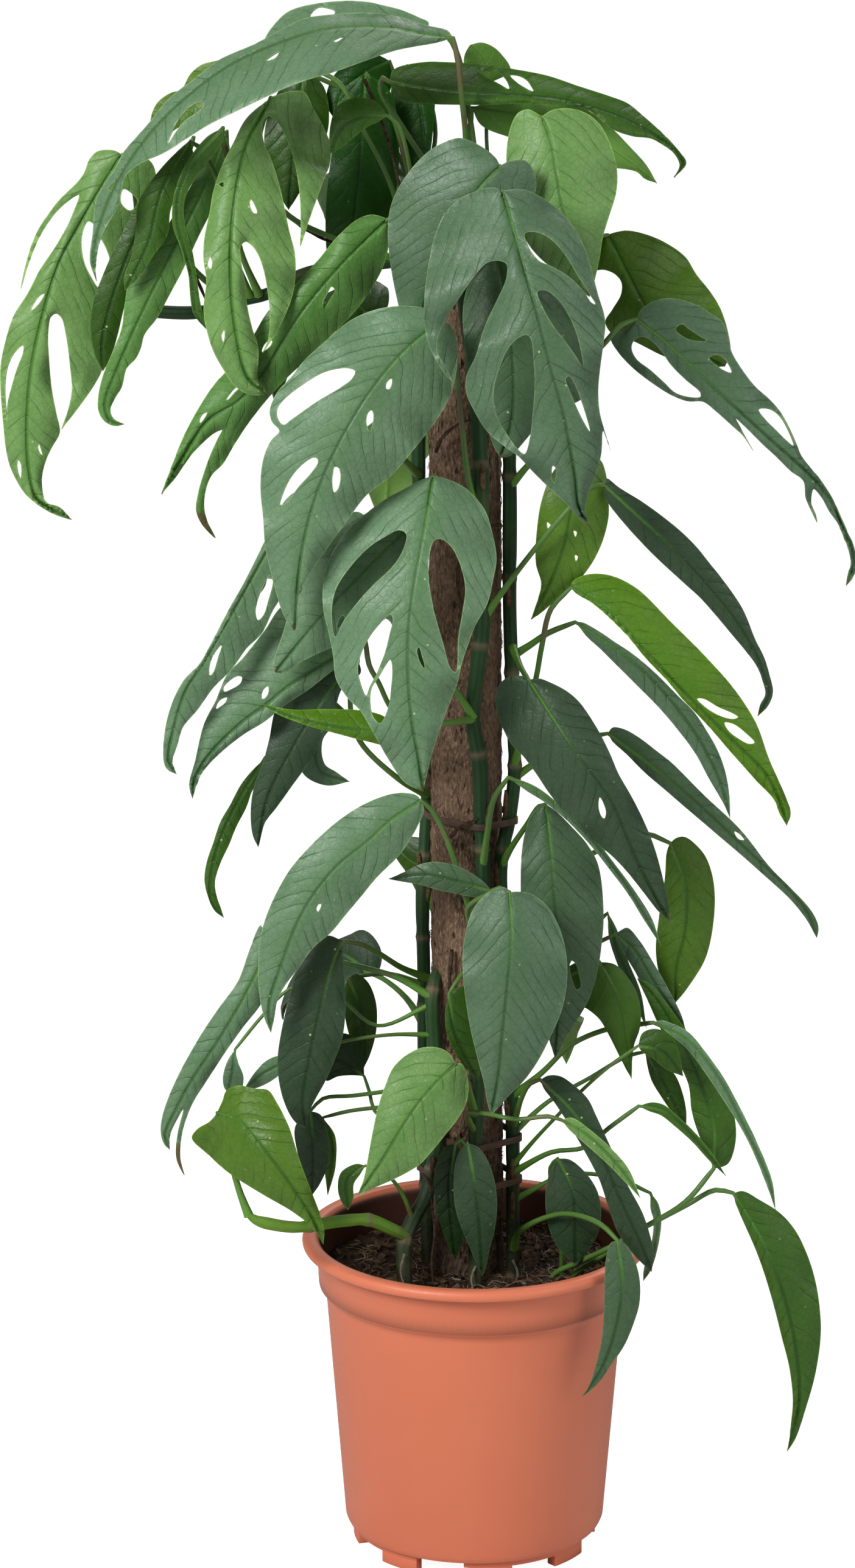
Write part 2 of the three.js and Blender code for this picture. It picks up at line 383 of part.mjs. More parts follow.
    left: [366,1808, 372,1792, 392,1783, 415,1788, 440,1791, 455,1812, 474,1850, 490,1900, 512,1960,
      524,1992, 532,2022],
    right: [345,1842, 325,1854, 315,1869, 340,1895, 375,1926, 430,1961, 480,1990, 510,2014, 525,2033] },
  { name: 'left_small_folded', on: 'low', tilt: [10, 10],
    stalk: [708,1650,-18, 620,1685,-24, 565,1645,-30, 520,1615,-34, 475,1625,-36, 430,1670,-38,
      386,1724,-42],
    rib: [386,1724,-42, 382,1760,-46, 374,1796,-46],
    left: [374,1742, 366,1770, 368,1786],
    right: [391,1745, 400,1770, 395,1790] },
  { name: 'center_bright', tilt: [20, 18],
    stalk: [780,1830,-30, 770,1790,-50, 758,1762,-68, 748,1749,-78],
    rib: [748,1749,-78, 715,1780,-86, 685,1815,-92, 655,1860,-96, 625,1910,-94, 587,1964,-90],
    left: [742,1738, 733,1727, 712,1720, 690,1722, 665,1735, 645,1755, 632,1785, 622,1815, 612,1860,
      605,1900, 598,1935],
    right: [757,1747, 766,1765, 769,1790, 764,1815, 750,1840, 730,1865, 710,1890, 690,1912, 670,1925,
      640,1940, 610,1953] },
  { name: 'front_low', tilt: [18, 18],
    stalk: [782,1545,-30, 768,1498,-52, 778,1482,-70, 800,1470,-84, 820,1459,-92, 837,1466,-96],
    rib: [837,1466,-96, 840,1540,-106, 833,1620,-110, 825,1700,-108, 818,1770,-102, 806,1832,-96],
    left: [828,1458, 815,1460, 795,1472, 778,1492, 765,1530, 760,1570, 761,1610, 766,1650, 775,1700,
      785,1740, 795,1780, 801,1812],
    right: [850,1465, 870,1468, 895,1485, 912,1510, 925,1545, 931,1580, 930,1620, 922,1660, 905,1700,
      885,1740, 860,1775, 835,1800, 815,1823] },
  { name: 'right_of_front', tilt: [15, 20],
    stalk: [822,1425,-16, 838,1395,-24, 865,1355,-36, 885,1325,-48, 896,1321,-52],
    rib: [896,1321,-52, 905,1400,-60, 910,1480,-66, 915,1560,-66, 915,1650,-60, 911,1738,-54],
    left: [885,1326, 872,1341, 862,1370, 857,1400, 855,1440, 857,1490, 868,1560, 885,1640, 900,1700],
    right: [915,1335, 940,1360, 965,1388, 982,1420, 991,1500, 988,1550, 980,1600, 965,1645, 945,1680,
      928,1708, 917,1730],
    slots: [[937,1578, 945,1583, 951,1603, 953,1622, 947,1626, 940,1610, 936,1592]] },
  { name: 'right_dark_large', tilt: [18, 20],
    stalk: [841,1062,-10, 850,1085,-26, 860,1105,-50, 868,1117,-72],
    rib: [868,1117,-72, 902,1170,-82, 940,1228,-90, 975,1275,-94, 1008,1325,-94, 1040,1400,-88,
      1072,1465,-82, 1101,1515,-78],
    left: [862,1112, 850,1110, 835,1112, 820,1125, 813,1150, 820,1180, 838,1220, 860,1243, 880,1270,
      900,1300, 925,1332, 945,1350, 975,1381, 1005,1406, 1030,1432, 1055,1463, 1080,1495],
    right: [885,1115, 900,1120, 930,1135, 950,1152, 970,1180, 985,1205, 1000,1235, 1015,1270,
      1035,1305, 1055,1345, 1072,1385, 1085,1430, 1095,1475],
    slots: [[985,1310, 990,1318, 995,1335, 992,1345, 987,1340, 983,1324]] },
  { name: 'right_narrow_dark', tilt: [15, 15],
    stalk: [798,1010,-27, 860,925,-50, 930,840,-62, 970,800,-54, 992,797,-46],
    rib: [992,797,-46, 1050,850,-52, 1110,905,-56, 1160,960,-56, 1205,1015,-54, 1238,1068,-50,
      1256,1112,-48, 1263,1140,-46, 1244,1177,-44],
    left: [996,786, 1015,800, 1060,828, 1090,850, 1120,875, 1145,900, 1165,925, 1185,950, 1218,998,
      1240,1050, 1254,1078, 1263,1108, 1269,1138, 1261,1160],
    right: [993,815, 1005,835, 1060,898, 1120,955, 1150,982, 1175,1010, 1200,1040, 1225,1070,
      1243,1095, 1253,1120, 1257,1140, 1248,1158] },
  { name: 'right_bright', tilt: [20, 20],
    stalk: [844,1262,-8, 862,1180,-26, 880,1115,-34, 890,1060,-38, 905,1000,-46, 938,965,-47],
    rib: [938,965,-47, 1000,1005,-53, 1060,1068,-58, 1130,1143,-60, 1200,1213,-58, 1258,1272,-54,
      1284,1325,-52, 1292,1357,-50],
    left: [940,956, 952,948, 970,943, 995,944, 1020,952, 1050,970, 1100,1020, 1155,1075, 1200,1125,
      1240,1185, 1262,1245, 1275,1275, 1290,1310, 1298,1335],
    right: [945,974, 970,989, 1000,1014, 1030,1044, 1060,1080, 1090,1112, 1120,1147, 1150,1178,
      1177,1208, 1200,1235, 1240,1280, 1270,1312, 1281,1338],
    slots: [[1145,1148, 1155,1148, 1180,1162, 1205,1173, 1212,1178, 1205,1181, 1185,1177, 1160,1163],
      [1190,1187, 1205,1190, 1225,1205, 1239,1220, 1230,1222, 1212,1213, 1196,1200]] },
  { name: 'right_narrow_folded', tilt: [20, 15],
    stalk: [838,1080,-8, 870,1060,-16, 900,1040,-22, 945,1022,-28],
    rib: [945,1022,-28, 1010,1065,-34, 1060,1105,-37, 1110,1160,-40, 1155,1225,-40, 1185,1290,-38,
      1199,1345,-36],
    left: [955,1022, 980,1035, 1010,1055, 1040,1075, 1070,1100, 1110,1140, 1140,1170, 1160,1200,
      1177,1230, 1190,1265, 1198,1310],
    right: [965,1047, 985,1065, 1010,1090, 1045,1125, 1080,1160, 1110,1195, 1140,1235, 1165,1280,
      1187,1318] },
  { name: 'right_narrow_low', tilt: [15, 15],
    stalk: [841,1280,-8, 900,1240,-4, 950,1215,-10, 998,1205,-18],
    rib: [998,1205,-18, 1060,1250,-22, 1140,1315,-24, 1220,1390,-24, 1302,1468,-22, 1328,1503,-20,
      1341,1541,-18],
    left: [1006,1195, 1025,1198, 1050,1212, 1080,1235, 1105,1255, 1160,1310, 1215,1362, 1265,1425,
      1317,1478, 1336,1502, 1344,1525],
    right: [1006,1218, 1028,1238, 1060,1270, 1095,1300, 1165,1360, 1235,1420, 1298,1478, 1322,1507],
    slots: [[1206,1366, 1216,1372, 1222,1380, 1212,1378]] },
  { name: 'behind_crown_yellow', tilt: [15, 15],
    stalk: [837,800,-8, 880,752,-20, 925,724,-34, 950,740,-40],
    rib: [950,740,-40, 938,840,-46, 915,930,-44, 872,1018,-38],
    left: [912,770, 890,820, 882,870, 880,925, 889,960, 878,1000],
    right: [985,755, 995,780, 999,820, 999,850, 985,900, 960,942, 930,970, 890,1005],
    slots: [[898,858, 904,862, 901,872], [942,872, 947,874, 945,882], [944,912, 949,914, 946,922]] },
  { name: 'right_edge_narrow', on: 'front', tilt: [10, 10],
    stalk: [793,1425,-28, 800,1370,-44, 812,1310,-62, 835,1277,-72],
    rib: [835,1277,-72, 900,1310,-74, 960,1365,-76, 1020,1440,-74, 1060,1505,-72, 1086,1555,-70],
    left: [865,1285, 895,1302, 945,1348, 985,1388, 1010,1420, 1040,1460, 1070,1508],
    right: [863,1298, 893,1317, 930,1347, 970,1389, 1000,1427, 1030,1467, 1058,1512] },
  { name: 'right_yellow_low', tilt: [15, 15],
    stalk: [832,1490,-14, 900,1440,-6, 1000,1390,0, 1060,1370,0, 1100,1385,0],
    rib: [1100,1385,0, 1125,1450,-2, 1125,1530,-2, 1110,1590,0, 1108,1648,4],
    left: [1095,1400, 1092,1440, 1083,1500, 1077,1560, 1084,1605, 1098,1635],
    right: [1112,1376, 1125,1375, 1145,1390, 1160,1410, 1172,1450, 1172,1510, 1158,1575, 1125,1628] },
  { name: 'right_long_narrow', on: 'right', tilt: [15, 15],
    stalk: [834,1660,-11, 900,1600,-10, 960,1560,-13, 1010,1535,-16],
    rib: [1010,1535,-16, 1040,1560,-17, 1075,1615,-17, 1105,1660,-16, 1126,1692,-14],
    left: [1018,1529, 1030,1524, 1050,1545, 1075,1585, 1100,1630, 1118,1665],
    right: [1020,1558, 1045,1600, 1065,1640, 1090,1670, 1110,1688] },
  { name: 'right_grey_strip', on: 'right', tilt: [10, 10],
    stalk: [837,1715,-10, 900,1640,2, 960,1535,2, 998,1500,-4],
    rib: [998,1500,-4, 1012,1560,-6, 1035,1610,-6, 1062,1690,-4],
    left: [1010,1520, 1030,1575, 1052,1630],
    right: [1000,1540, 1018,1595, 1045,1655] },
  { name: 'right_under', tilt: [15, 15],
    stalk: [835,1690,-10, 890,1640,-26, 940,1600,-38, 985,1580,-42],
    rib: [985,1580,-42, 1015,1640,-46, 1028,1710,-46, 1037,1772,-42],
    left: [1010,1585, 1030,1605, 1045,1630, 1052,1660, 1050,1690, 1040,1720],
    right: [962,1577, 932,1590, 925,1618, 940,1645, 965,1658, 985,1675, 1000,1700, 1020,1740] },
  { name: 'right_low_long', tilt: [15, 15],
    stalk: [842,1800,-9, 890,1762,-16, 940,1715,-22, 1000,1690,-26, 1048,1683,-31, 1073,1680,-36],
    rib: [1073,1680,-36, 1130,1710,-40, 1180,1770,-42, 1222,1850,-42, 1262,1938,-40, 1274,1990,-38],
    left: [1085,1676, 1100,1680, 1130,1695, 1160,1730, 1185,1765, 1205,1800, 1240,1870, 1268,1940],
    right: [1085,1688, 1105,1703, 1130,1725, 1160,1765, 1190,1810, 1215,1850, 1240,1900, 1260,1950] },
  { name: 'right_low_yellow', soil: 1, tilt: [15, 15],
    stalk: [905,2100,-18, 950,2074,-30, 1000,2050,-50, 1060,2015,-52, 1125,1975,-42, 1172,1920,-34],
    rib: [1172,1920,-34, 1172,1850,-30, 1150,1780,-28, 1115,1705,-28, 1080,1645,-28, 1046,1607,-26],
    left: [1163,1900, 1148,1865, 1136,1825, 1130,1780, 1105,1728, 1080,1680, 1062,1640],
    right: [1195,1912, 1207,1880, 1207,1840, 1195,1800, 1165,1752, 1135,1705, 1100,1655, 1068,1617] },
  { name: 'right_low_dark', on: 'right', tilt: [15, 15],
    stalk: [844,1912,-12, 880,1870,-20, 918,1830,-34, 955,1792,-46, 1000,1752,-54, 1048,1718,-56],
    rib: [1048,1718,-56, 1085,1725,-58, 1122,1768,-56],
    left: [1055,1697, 1075,1690, 1100,1700, 1115,1730],
    right: [1055,1728, 1070,1737, 1095,1757] },
  { name: 'right_low_shaded', on: 'right', tilt: [15, 15],
    stalk: [842,1862,-8, 900,1810,0, 970,1770,-2, 1030,1735,-8, 1060,1728,-14],
    rib: [1060,1728,-14, 1095,1790,-16, 1127,1848,-14],
    left: [1085,1745, 1108,1765, 1122,1800, 1127,1830],
    right: [1062,1745, 1070,1775, 1085,1800, 1105,1828] },
  { name: 'right_low_bright', tilt: [15, 15],
    stalk: [842,1848,-8, 848,1832,-26, 856,1805,-44, 870,1780,-56, 887,1774,-62],
    rib: [887,1774,-62, 940,1825,-66, 985,1895,-68, 1020,1975,-68, 1052,2045,-68, 1070,2090,-66],
    left: [900,1767, 920,1768, 945,1785, 965,1805, 980,1835, 1005,1890, 1030,1945, 1058,2000,
      1073,2060],
    right: [893,1788, 910,1810, 945,1865, 965,1900, 985,1940, 1000,1985, 1015,2025, 1040,2060] },
  { name: 'right_rolled', tilt: [30, 30],
    stalk: [781,1862,-28, 768,1830,-44, 800,1830,-66, 850,1839,-80, 900,1834,-84, 922,1840,-86],
    rib: [922,1840,-86, 960,1861,-88, 1000,1898,-88, 1030,1934,-87, 1052,1969,-86],
    left: [938,1836, 965,1853, 1003,1886, 1032,1920],
    right: [935,1856, 960,1878, 1000,1914, 1028,1943] },
  { name: 'pot_small_dark', soil: 1, tilt: [15, 15],
    stalk: [922,2108,-8, 921,2040,-14, 908,1960,-20, 904,1918,-30, 916,1903,-40],
    rib: [916,1903,-40, 940,1955,-44, 944,2020,-42, 946,2078,-36],
    left: [903,1925, 896,1960, 898,2000, 908,2035, 925,2060],
    right: [935,1905, 960,1925, 980,1955, 987,1990, 982,2025, 965,2055] },
  { name: 'rim_front', tilt: [15, 15],
    stalk: [844,2050,-14, 853,2023,-28, 924,1994,-54, 987,2012,-82, 1014,2038,-94],
    rib: [1014,2038,-94, 1022,2110,-98, 1012,2180,-98, 990,2245,-96, 957,2294,-92],
    left: [1003,2042, 995,2070, 993,2100, 992,2150, 988,2200, 978,2245, 968,2275],
    right: [1028,2045, 1042,2070, 1050,2100, 1050,2140, 1040,2175, 1025,2210, 1005,2240, 982,2272] },
  { name: 'right_drooping', soil: 1, tilt: [20, 20],
    stalk: [935,2105,-14, 990,2063,-30, 1035,2030,-36, 1127,1980,-32, 1175,1955,-30, 1204,1960,-30],
    rib: [1204,1960,-30, 1250,2035,-34, 1285,2120,-36, 1308,2220,-36, 1312,2310,-34, 1293,2384,-30],
    left: [1220,1957, 1245,1970, 1280,1992, 1305,2020, 1325,2060, 1340,2110, 1347,2160, 1347,2200,
      1340,2250, 1330,2290, 1305,2365],
    right: [1208,1976, 1220,2005, 1240,2050, 1258,2100, 1272,2150, 1285,2200, 1297,2250, 1302,2300,
      1298,2350] },
  { name: 'pot_front', tilt: [15, 15],
    stalk: [781,1940,-28, 772,1915,-48, 763,1888,-62, 768,1878,-64],
    rib: [768,1878,-64, 780,1950,-68, 788,2030,-64, 792,2097,-58],
    left: [757,1888, 748,1910, 745,1945, 748,1985, 757,2015, 770,2045, 782,2075],
    right: [785,1885, 800,1905, 812,1940, 816,1980, 812,2020, 803,2055, 797,2085] },
  { name: 'pot_front_behind', on: 'front', tilt: [10, 10],
    stalk: [781,1925,-28, 768,1900,-40, 756,1873,-46, 748,1878,-48],
    rib: [748,1878,-48, 738,1950,-50, 742,2020,-48, 748,2072,-44],
    left: [730,1885, 718,1910, 713,1950, 718,1990, 730,2030],
    right: [757,1890, 765,1930, 765,1980, 760,2030] },
  { name: 'left_pointing', tilt: [20, 15],
    stalk: [794,1480,-28, 806,1484,-42, 814,1474,-50, 808,1464,-54],
    rib: [808,1464,-54, 760,1450,-58, 700,1437,-58, 638,1444,-52],
    left: [795,1450, 775,1435, 750,1422, 715,1416, 690,1420, 665,1432],
    right: [795,1472, 775,1473, 750,1468, 720,1462, 690,1453, 660,1448] },
  { name: 'behind_front_low', on: 'front', tilt: [10, 10],
    stalk: [787,1600,-28, 775,1590,-44, 755,1605,-56, 737,1633,-62],
    rib: [737,1633,-62, 745,1690,-64, 762,1735,-62, 785,1775,-58],
    left: [731,1670, 735,1700, 747,1728, 765,1755],
    right: [760,1620, 775,1640, 785,1700, 790,1740] },
  { name: 'left_low_shaded', on: 'low', tilt: [10, 10],
    stalk: [714,1775,-20, 650,1790,-24, 580,1800,-30, 530,1805,-34, 510,1825,-36],
    rib: [510,1825,-36, 515,1900,-38, 513,1963,-36],
    left: [485,1850, 490,1900, 500,1940],
    right: [527,1832, 540,1880, 538,1915, 525,1945] },
  { name: 'left_low_yellow', on: 'low', tilt: [10, 10],
    stalk: [714,1815,-20, 640,1818,-22, 575,1825,-26, 530,1836,-26],
    rib: [530,1836,-26, 545,1880,-28, 542,1930,-28, 538,1965,-26],
    left: [527,1865, 532,1915],
    right: [550,1865, 551,1915] },
  { name: 'pot_small_left', on: 'low', tilt: [10, 10],
    stalk: [679,2005,-35, 660,1960,-44, 630,1925,-58, 600,1915,-66],
    rib: [600,1915,-66, 570,1938,-68, 572,1988,-66],
    left: [585,1912, 560,1926, 555,1955, 563,1978],
    right: [592,1928, 581,1945, 580,1968] },
  { name: 'left_low_grey', on: 'low', tilt: [10, 10],
    stalk: [712,1700,-18, 640,1700,-32, 560,1712,-38, 510,1730,-32, 470,1745,-26],
    rib: [470,1745,-26, 430,1765,-26, 400,1792,-24],
    left: [458,1735, 438,1742, 420,1760, 406,1780],
    right: [462,1762, 445,1776, 422,1787] },
  { name: 'right_small', on: 'right', tilt: [10, 10],
    stalk: [843,1926,-11, 905,1893,-24, 960,1885,-36, 1000,1853,-44, 1049,1817,-48],
    rib: [1049,1817,-48, 1085,1823,-50, 1115,1843,-51, 1145,1875,-51, 1168,1903,-50, 1192,1932,-48],
    left: [1070,1811, 1090,1815, 1112,1833, 1132,1851, 1153,1874, 1173,1900],
    right: [1065,1825, 1085,1832, 1108,1850, 1138,1877, 1163,1905] },
  { name: 'rim_right_curled', on: 'right', tilt: [10, 10],
    stalk: [843,1972,-10, 930,1930,2, 1010,1935,6, 1068,1960,6],
    rib: [1068,1960,6, 1080,1995,6, 1074,2050,6, 1056,2105,6],
    left: [1080,1975, 1086,2000, 1080,2050, 1068,2088],
    right: [1068,1985, 1073,2005, 1068,2050, 1057,2085] },
  { name: 'crown_back_dark', on: 'left', tilt: [15, 15],
    stalk: [681,425,3, 672,300,26, 640,180,36, 600,120,34],
    rib: [600,120,34, 592,250,30, 578,380,28, 560,470,28],
    left: [562,150, 545,250, 535,350, 540,430],
    right: [640,150, 655,260, 640,360, 600,440] },
  { name: 'crown_back_gap', on: 'left', tilt: [15, 15],
    stalk: [681,425,3, 684,340,34, 640,230,56, 565,150,60, 500,118,52],
    rib: [500,118,52, 488,190,44, 480,270,40, 474,345,38],
    left: [465,140, 440,190, 434,240, 446,290, 462,325],
    right: [530,140, 540,200, 522,260, 495,310] },
  { name: 'crown_back_upper', on: 'left', tilt: [15, 15],
    stalk: [681,425,3, 685,340,36, 670,230,60, 655,150,68, 640,100,66],
    rib: [640,100,66, 600,118,62, 565,150,58, 552,200,54],
    left: [610,88, 575,100, 545,130, 536,170],
    right: [645,125, 635,160, 600,190, 570,205] },
  { name: 'crown_back_shade', on: 'left', tilt: [15, 15],
    stalk: [681,425,3, 690,330,40, 715,220,62, 700,150,66, 668,108,60],
    rib: [668,108,60, 686,160,56, 695,220,52, 695,285,48],
    left: [648,125, 642,180, 655,240, 675,268],
    right: [690,108, 712,150, 712,200, 705,255] }
];

// Leaves on the far side. around is the heading from the pole in degrees, height where the stalk leaves
// the stem, reach how far out the blade starts, rise how far the stalk climbs, roll the blade's turn about
// its rib, droop how steeply its tip hangs, and splits its slot pairs.
const farLeaves = [
  { on: 'left', around: 104, height: 905, reach: 66, rise: 48,
    length: 185, width: 92, roll: 10, droop: 84, splits: 2 },
  { on: 'left', around: 74, height: 868, reach: 76, rise: 40,
    length: 190, width: 98, roll: -18, droop: 92, splits: 2 },
  { on: 'left', around: 128, height: 826, reach: 62, rise: 28,
    length: 155, width: 78, roll: 25, droop: 98, splits: 1 },
  { on: 'left', around: 62, height: 792, reach: 84, rise: 34,
    length: 165, width: 84, roll: -28, droop: 86, splits: 1 },
  { on: 'left', around: 98, height: 744, reach: 66, rise: 28,
    length: 180, width: 86, roll: 16, droop: 100, splits: 2 },
  { on: 'left', around: 138, height: 660, reach: 60, rise: 30,
    length: 145, width: 72, roll: 30, droop: 84, splits: 0 },
  { on: 'left', around: 83, height: 598, reach: 66, rise: 30,
    length: 155, width: 76, roll: -12, droop: 100, splits: 0 },
  { on: 'left', around: 86, height: 440, reach: 74, rise: 24,
    length: 130, width: 64, roll: -20, droop: 104, splits: 0 },
  { on: 'left', around: 134, height: 366, reach: 60, rise: 26,
    length: 120, width: 60, roll: 30, droop: 88, splits: 0 },
  { on: 'right', around: 74, height: 330, reach: 76, rise: 28,
    length: 118, width: 58, roll: -16, droop: 98, splits: 0 },
  { on: 'left', around: 92, height: 277, reach: 62, rise: 26,
    length: 105, width: 52, roll: 12, droop: 92, splits: 0 },
];
const farStart = 24;
const farTilt = 16;
const farSway = 5;
const farOutline = [[-0.04, 0.25], [0.06, 0.7], [0.26, 1], [0.52, 0.92], [0.76, 0.55], [0.92, 0.2]];

// a closed mesh as a solid, turned right side out
function solid(geometry) {
  const plain = geometry.clone();
  plain.deleteAttribute('normal');
  plain.deleteAttribute('uv');
  const merged = mergeVertices(plain, 1e-4);
  const vertProperties = new Float32Array(merged.attributes.position.array);
  const triVerts = new Uint32Array(merged.index.array);
  const corner = (i) => new THREE.Vector3().fromArray(vertProperties, 3 * triVerts[i]);
  let volume = 0;
  for (let i = 0; i < triVerts.length; i += 3) {
    volume += corner(i).dot(corner(i + 1).cross(corner(i + 2)));
  }
  if (volume < 0) {
    for (let i = 0; i < triVerts.length; i += 3) {
      [triVerts[i], triVerts[i + 1]] = [triVerts[i + 1], triVerts[i]];
    }
  }
  return new wasm.Manifold(new wasm.Mesh({ numProp: 3, vertProperties, triVerts }));
}

// the largest body of a solid, so that a scrap cut off by a neighbour is dropped
function largest(body) {
  const pieces = body.decompose();
  return pieces.reduce((best, piece) => (piece.volume() > best.volume() ? piece : best), pieces[0]);
}

function tube(points, radius, sides, steps) {
  const ring = new THREE.Shape(Array.from({ length: sides }, (_, i) => {
    const angle = (2 * Math.PI * i) / sides;
    return new THREE.Vector2(radius * Math.cos(angle), radius * Math.sin(angle));
  }));
  const extrudePath = new THREE.CatmullRomCurve3(points);
  return solid(new THREE.ExtrudeGeometry(ring, { extrudePath, steps, bevelEnabled: false }));
}

const lathe = (profile, segments) =>
  new THREE.LatheGeometry(profile.map(([r, z]) => new THREE.Vector2(r, z)), segments).rotateX(Math.PI / 2);

// a line's points without those that stand out from it by less than a slack
function thinned(points, slack) {
  const [ax, ay] = points[0];
  const [bx, by] = points.at(-1);
  const length = Math.hypot(bx - ax, by - ay);
  const offsets = points.map(([x, y]) => (length
    ? Math.abs((bx - ax) * (y - ay) - (by - ay) * (x - ax)) / length
    : Math.hypot(x - ax, y - ay)));
  const far = offsets.indexOf(Math.max(...offsets));
  if (points.length < 3 || offsets[far] < slack) {
    return [points[0], points.at(-1)];
  }
  return [...thinned(points.slice(0, far + 1), slack), ...thinned(points.slice(far), slack).slice(1)];
}

// A thin blade: its outline lies in a plane of its own, and place sets each point of it in space, so far
// out from the middle of the blade. Each half between rib and margin is cut in triangles once, for both
// faces alike.
function blade({ rib, margins, slots, place }) {
  const flat = rib.map(([x, y]) => new THREE.Vector2(x, y));
  const halfOf = rib.map(() => 0);
  const faces = [];
  const addCorners = (points, side) => points.map(([x, y]) => {
    halfOf.push(side);
    return flat.push(new THREE.Vector2(x, y)) - 1;
  });
  margins.forEach((margin, side) => {
    const ring = [...rib.keys(), ...addCorners([...margin].reverse(), side)];
    const outline = ring.map((i) => flat[i]);
    const own = slots.filter((slot) => isInside(middleOf(slot), outline));
    const holes = own.map((slot) => addCorners(slot, side));
    const order = [...ring, ...holes.flat()];
    const cut = THREE.ShapeUtils.triangulateShape(outline, holes.map((hole) => hole.map((i) => flat[i])));
    faces.push(...evened(cut.map((face) => face.map((i) => order[i])), flat));
  });
  const sheet = (out) => flat.map(({ x, y }, i) => place(x, y, halfOf[i], out));
  return solid(between(sheet(bladeThick / 2), sheet(-bladeThick / 2), faces));
}

// the triangles with shared edges turned, one at a time, while the two corners across an edge see it at
// more than half a turn together, so that no triangle is longer than it needs to be
function evened(faces, flat) {
  const angleAt = (a, p, q) => {
    const [u, v] = [flat[p].clone().sub(flat[a]), flat[q].clone().sub(flat[a])];
    return Math.acos(THREE.MathUtils.clamp(u.dot(v) / (u.length() * v.length()), -1, 1));
  };
  const winding = (a, b, c) => Math.sign(flat[b].clone().sub(flat[a]).cross(flat[c].clone().sub(flat[a])));
  const turnOne = () => {
    const seenEdges = new Map();
    for (const [i, [c0, c1, c2]] of faces.entries()) {
      for (const [a, p, q] of [[c0, c1, c2], [c1, c2, c0], [c2, c0, c1]]) {
        const edge = Math.min(p, q) * flat.length + Math.max(p, q);
        const [j, b] = seenEdges.get(edge) ?? [];
        seenEdges.set(edge, [i, a]);
        const isLong = j !== undefined && angleAt(a, p, q) + angleAt(b, p, q) > Math.PI + 1e-6;
        if (isLong && winding(a, p, b) === winding(a, p, q) && winding(a, b, q) === winding(a, p, q)) {
          faces[i] = [a, p, b];
          faces[j] = [a, b, q];
          return true;
        }
      }
    }
    return false;
  };
  let isTurned = true;
  while (isTurned) {
    isTurned = turnOne();
  }
  return faces;
}

const middleOf = (points) => [0, 1].map((k) => points.reduce((sum, p) => sum + p[k], 0) / points.length);

function isInside([x, y], outline) {
  let inside = false;
  outline.forEach((a, i) => {
    const b = outline[(i + 1) % outline.length];
    if (a.y > y !== b.y > y && x < ((b.x - a.x) * (y - a.y)) / (b.y - a.y) + a.x) {
      inside = !inside;
    }
  });
  return inside;
}

// the closed mesh between two sheets of the same triangles, with a wall along every open edge
function between(front, back, faces) {
  const count = front.length;
  const directed = new Set();
  for (const [a, b, c] of faces) {
    [[a, b], [b, c], [c, a]].forEach(([p, q]) => directed.add(p * count + q));
  }
  const triangles = [];
  for (const [a, b, c] of faces) {
    triangles.push([a, b, c], [c + count, b + count, a + count]);
    for (const [p, q] of [[a, b], [b, c], [c, a]]) {
      if (!directed.has(q * count + p)) {
        triangles.push([q, p, p + count], [q, p + count, q + count]);
      }
    }
  }
  const geometry = new THREE.BufferGeometry().setFromPoints([...front, ...back]);
  geometry.setIndex(triangles.flat());
  return geometry;
}

// the nearest place on a rib to a point beside it: its distance and depth
function besideRib(x, y, rib) {
  const beside = rib.slice(1).map(([bx, by, bd], i) => {
    const [ax, ay, ad] = rib[i];
    const along = ((x - ax) * (bx - ax) + (y - ay) * (by - ay)) / ((bx - ax) ** 2 + (by - ay) ** 2);
    const t = THREE.MathUtils.clamp(along, 0, 1);
    const distance = Math.hypot(x - ax - t * (bx - ax), y - ay - t * (by - ay));
    return { distance, depth: ad + t * (bd - ad) };
  });
  return beside.reduce((best, place) => (place.distance < best.distance ? place : best));
}

// how far back a point of a seen blade lies: the rib's depth beside it, and the lean of its half
function depthBeside(x, y, rib, lean) {
  const { distance, depth } = besideRib(x, y, rib);
  return depth + Math.tan(THREE.MathUtils.degToRad(lean)) * distance * millimetresPerPixel;
}

function seenBlade(row) {
  const rib = grouped(row.rib, 3);
  const ends = [rib[0], rib.at(-1)];
  const margin = (numbers) => {
    const corners = grouped(numbers, 2);
    const reach = Math.max(...corners.map(([x, y]) => besideRib(x, y, rib).distance));
    return thinned([ends[0], ...corners, ends[1]], Math.min(marginSlack, reach / 8)).slice(1, -1);
  };
  const opening = (numbers) => {
    const corners = grouped(numbers, 2);
    return thinned([...corners, corners[0]], slotSlack).slice(1);
  };
  const steepest = Math.max(...row.tilt.map(Math.abs), 20);
  const slant = Math.cos(THREE.MathUtils.degToRad(steepest));
  const isWide = (slot) => slot.some(([x, y]) => Math.hypot(x - slot[0][0], y - slot[0][1]) > slotLeast);
  return blade({
    rib,
    margins: [margin(row.left), margin(row.right)],
    slots: (row.slots ?? []).map(opening).filter((slot) => slot.length > 2 && isWide(slot)),
    place: (x, y, side, out) => seen(x, y, depthBeside(x, y, rib, row.tilt[side]) - out / slant),
  });
}

// the stalk's line, from the stem's middle, or deep in the soil, to a little way along the rib
function stalkLine(row, sunk = 0) {
  const line = seenPath(row.stalk);
  const [base, next] = seenPath(row.rib.slice(0, 6));
  const onward = base.clone().sub(line.at(-2)).normalize();
  const grip = next.sub(base).normalize().add(onward).setLength(stalkGrip);
  line.push(base.clone().add(grip));
  return row.soil ? [line[0].clone().setZ(soilTop - rootDepth - sunk), ...line] : line;
}

const stalkSteps = (row) => row.stalk.length / 3 + (row.soil ? 3 : 1);

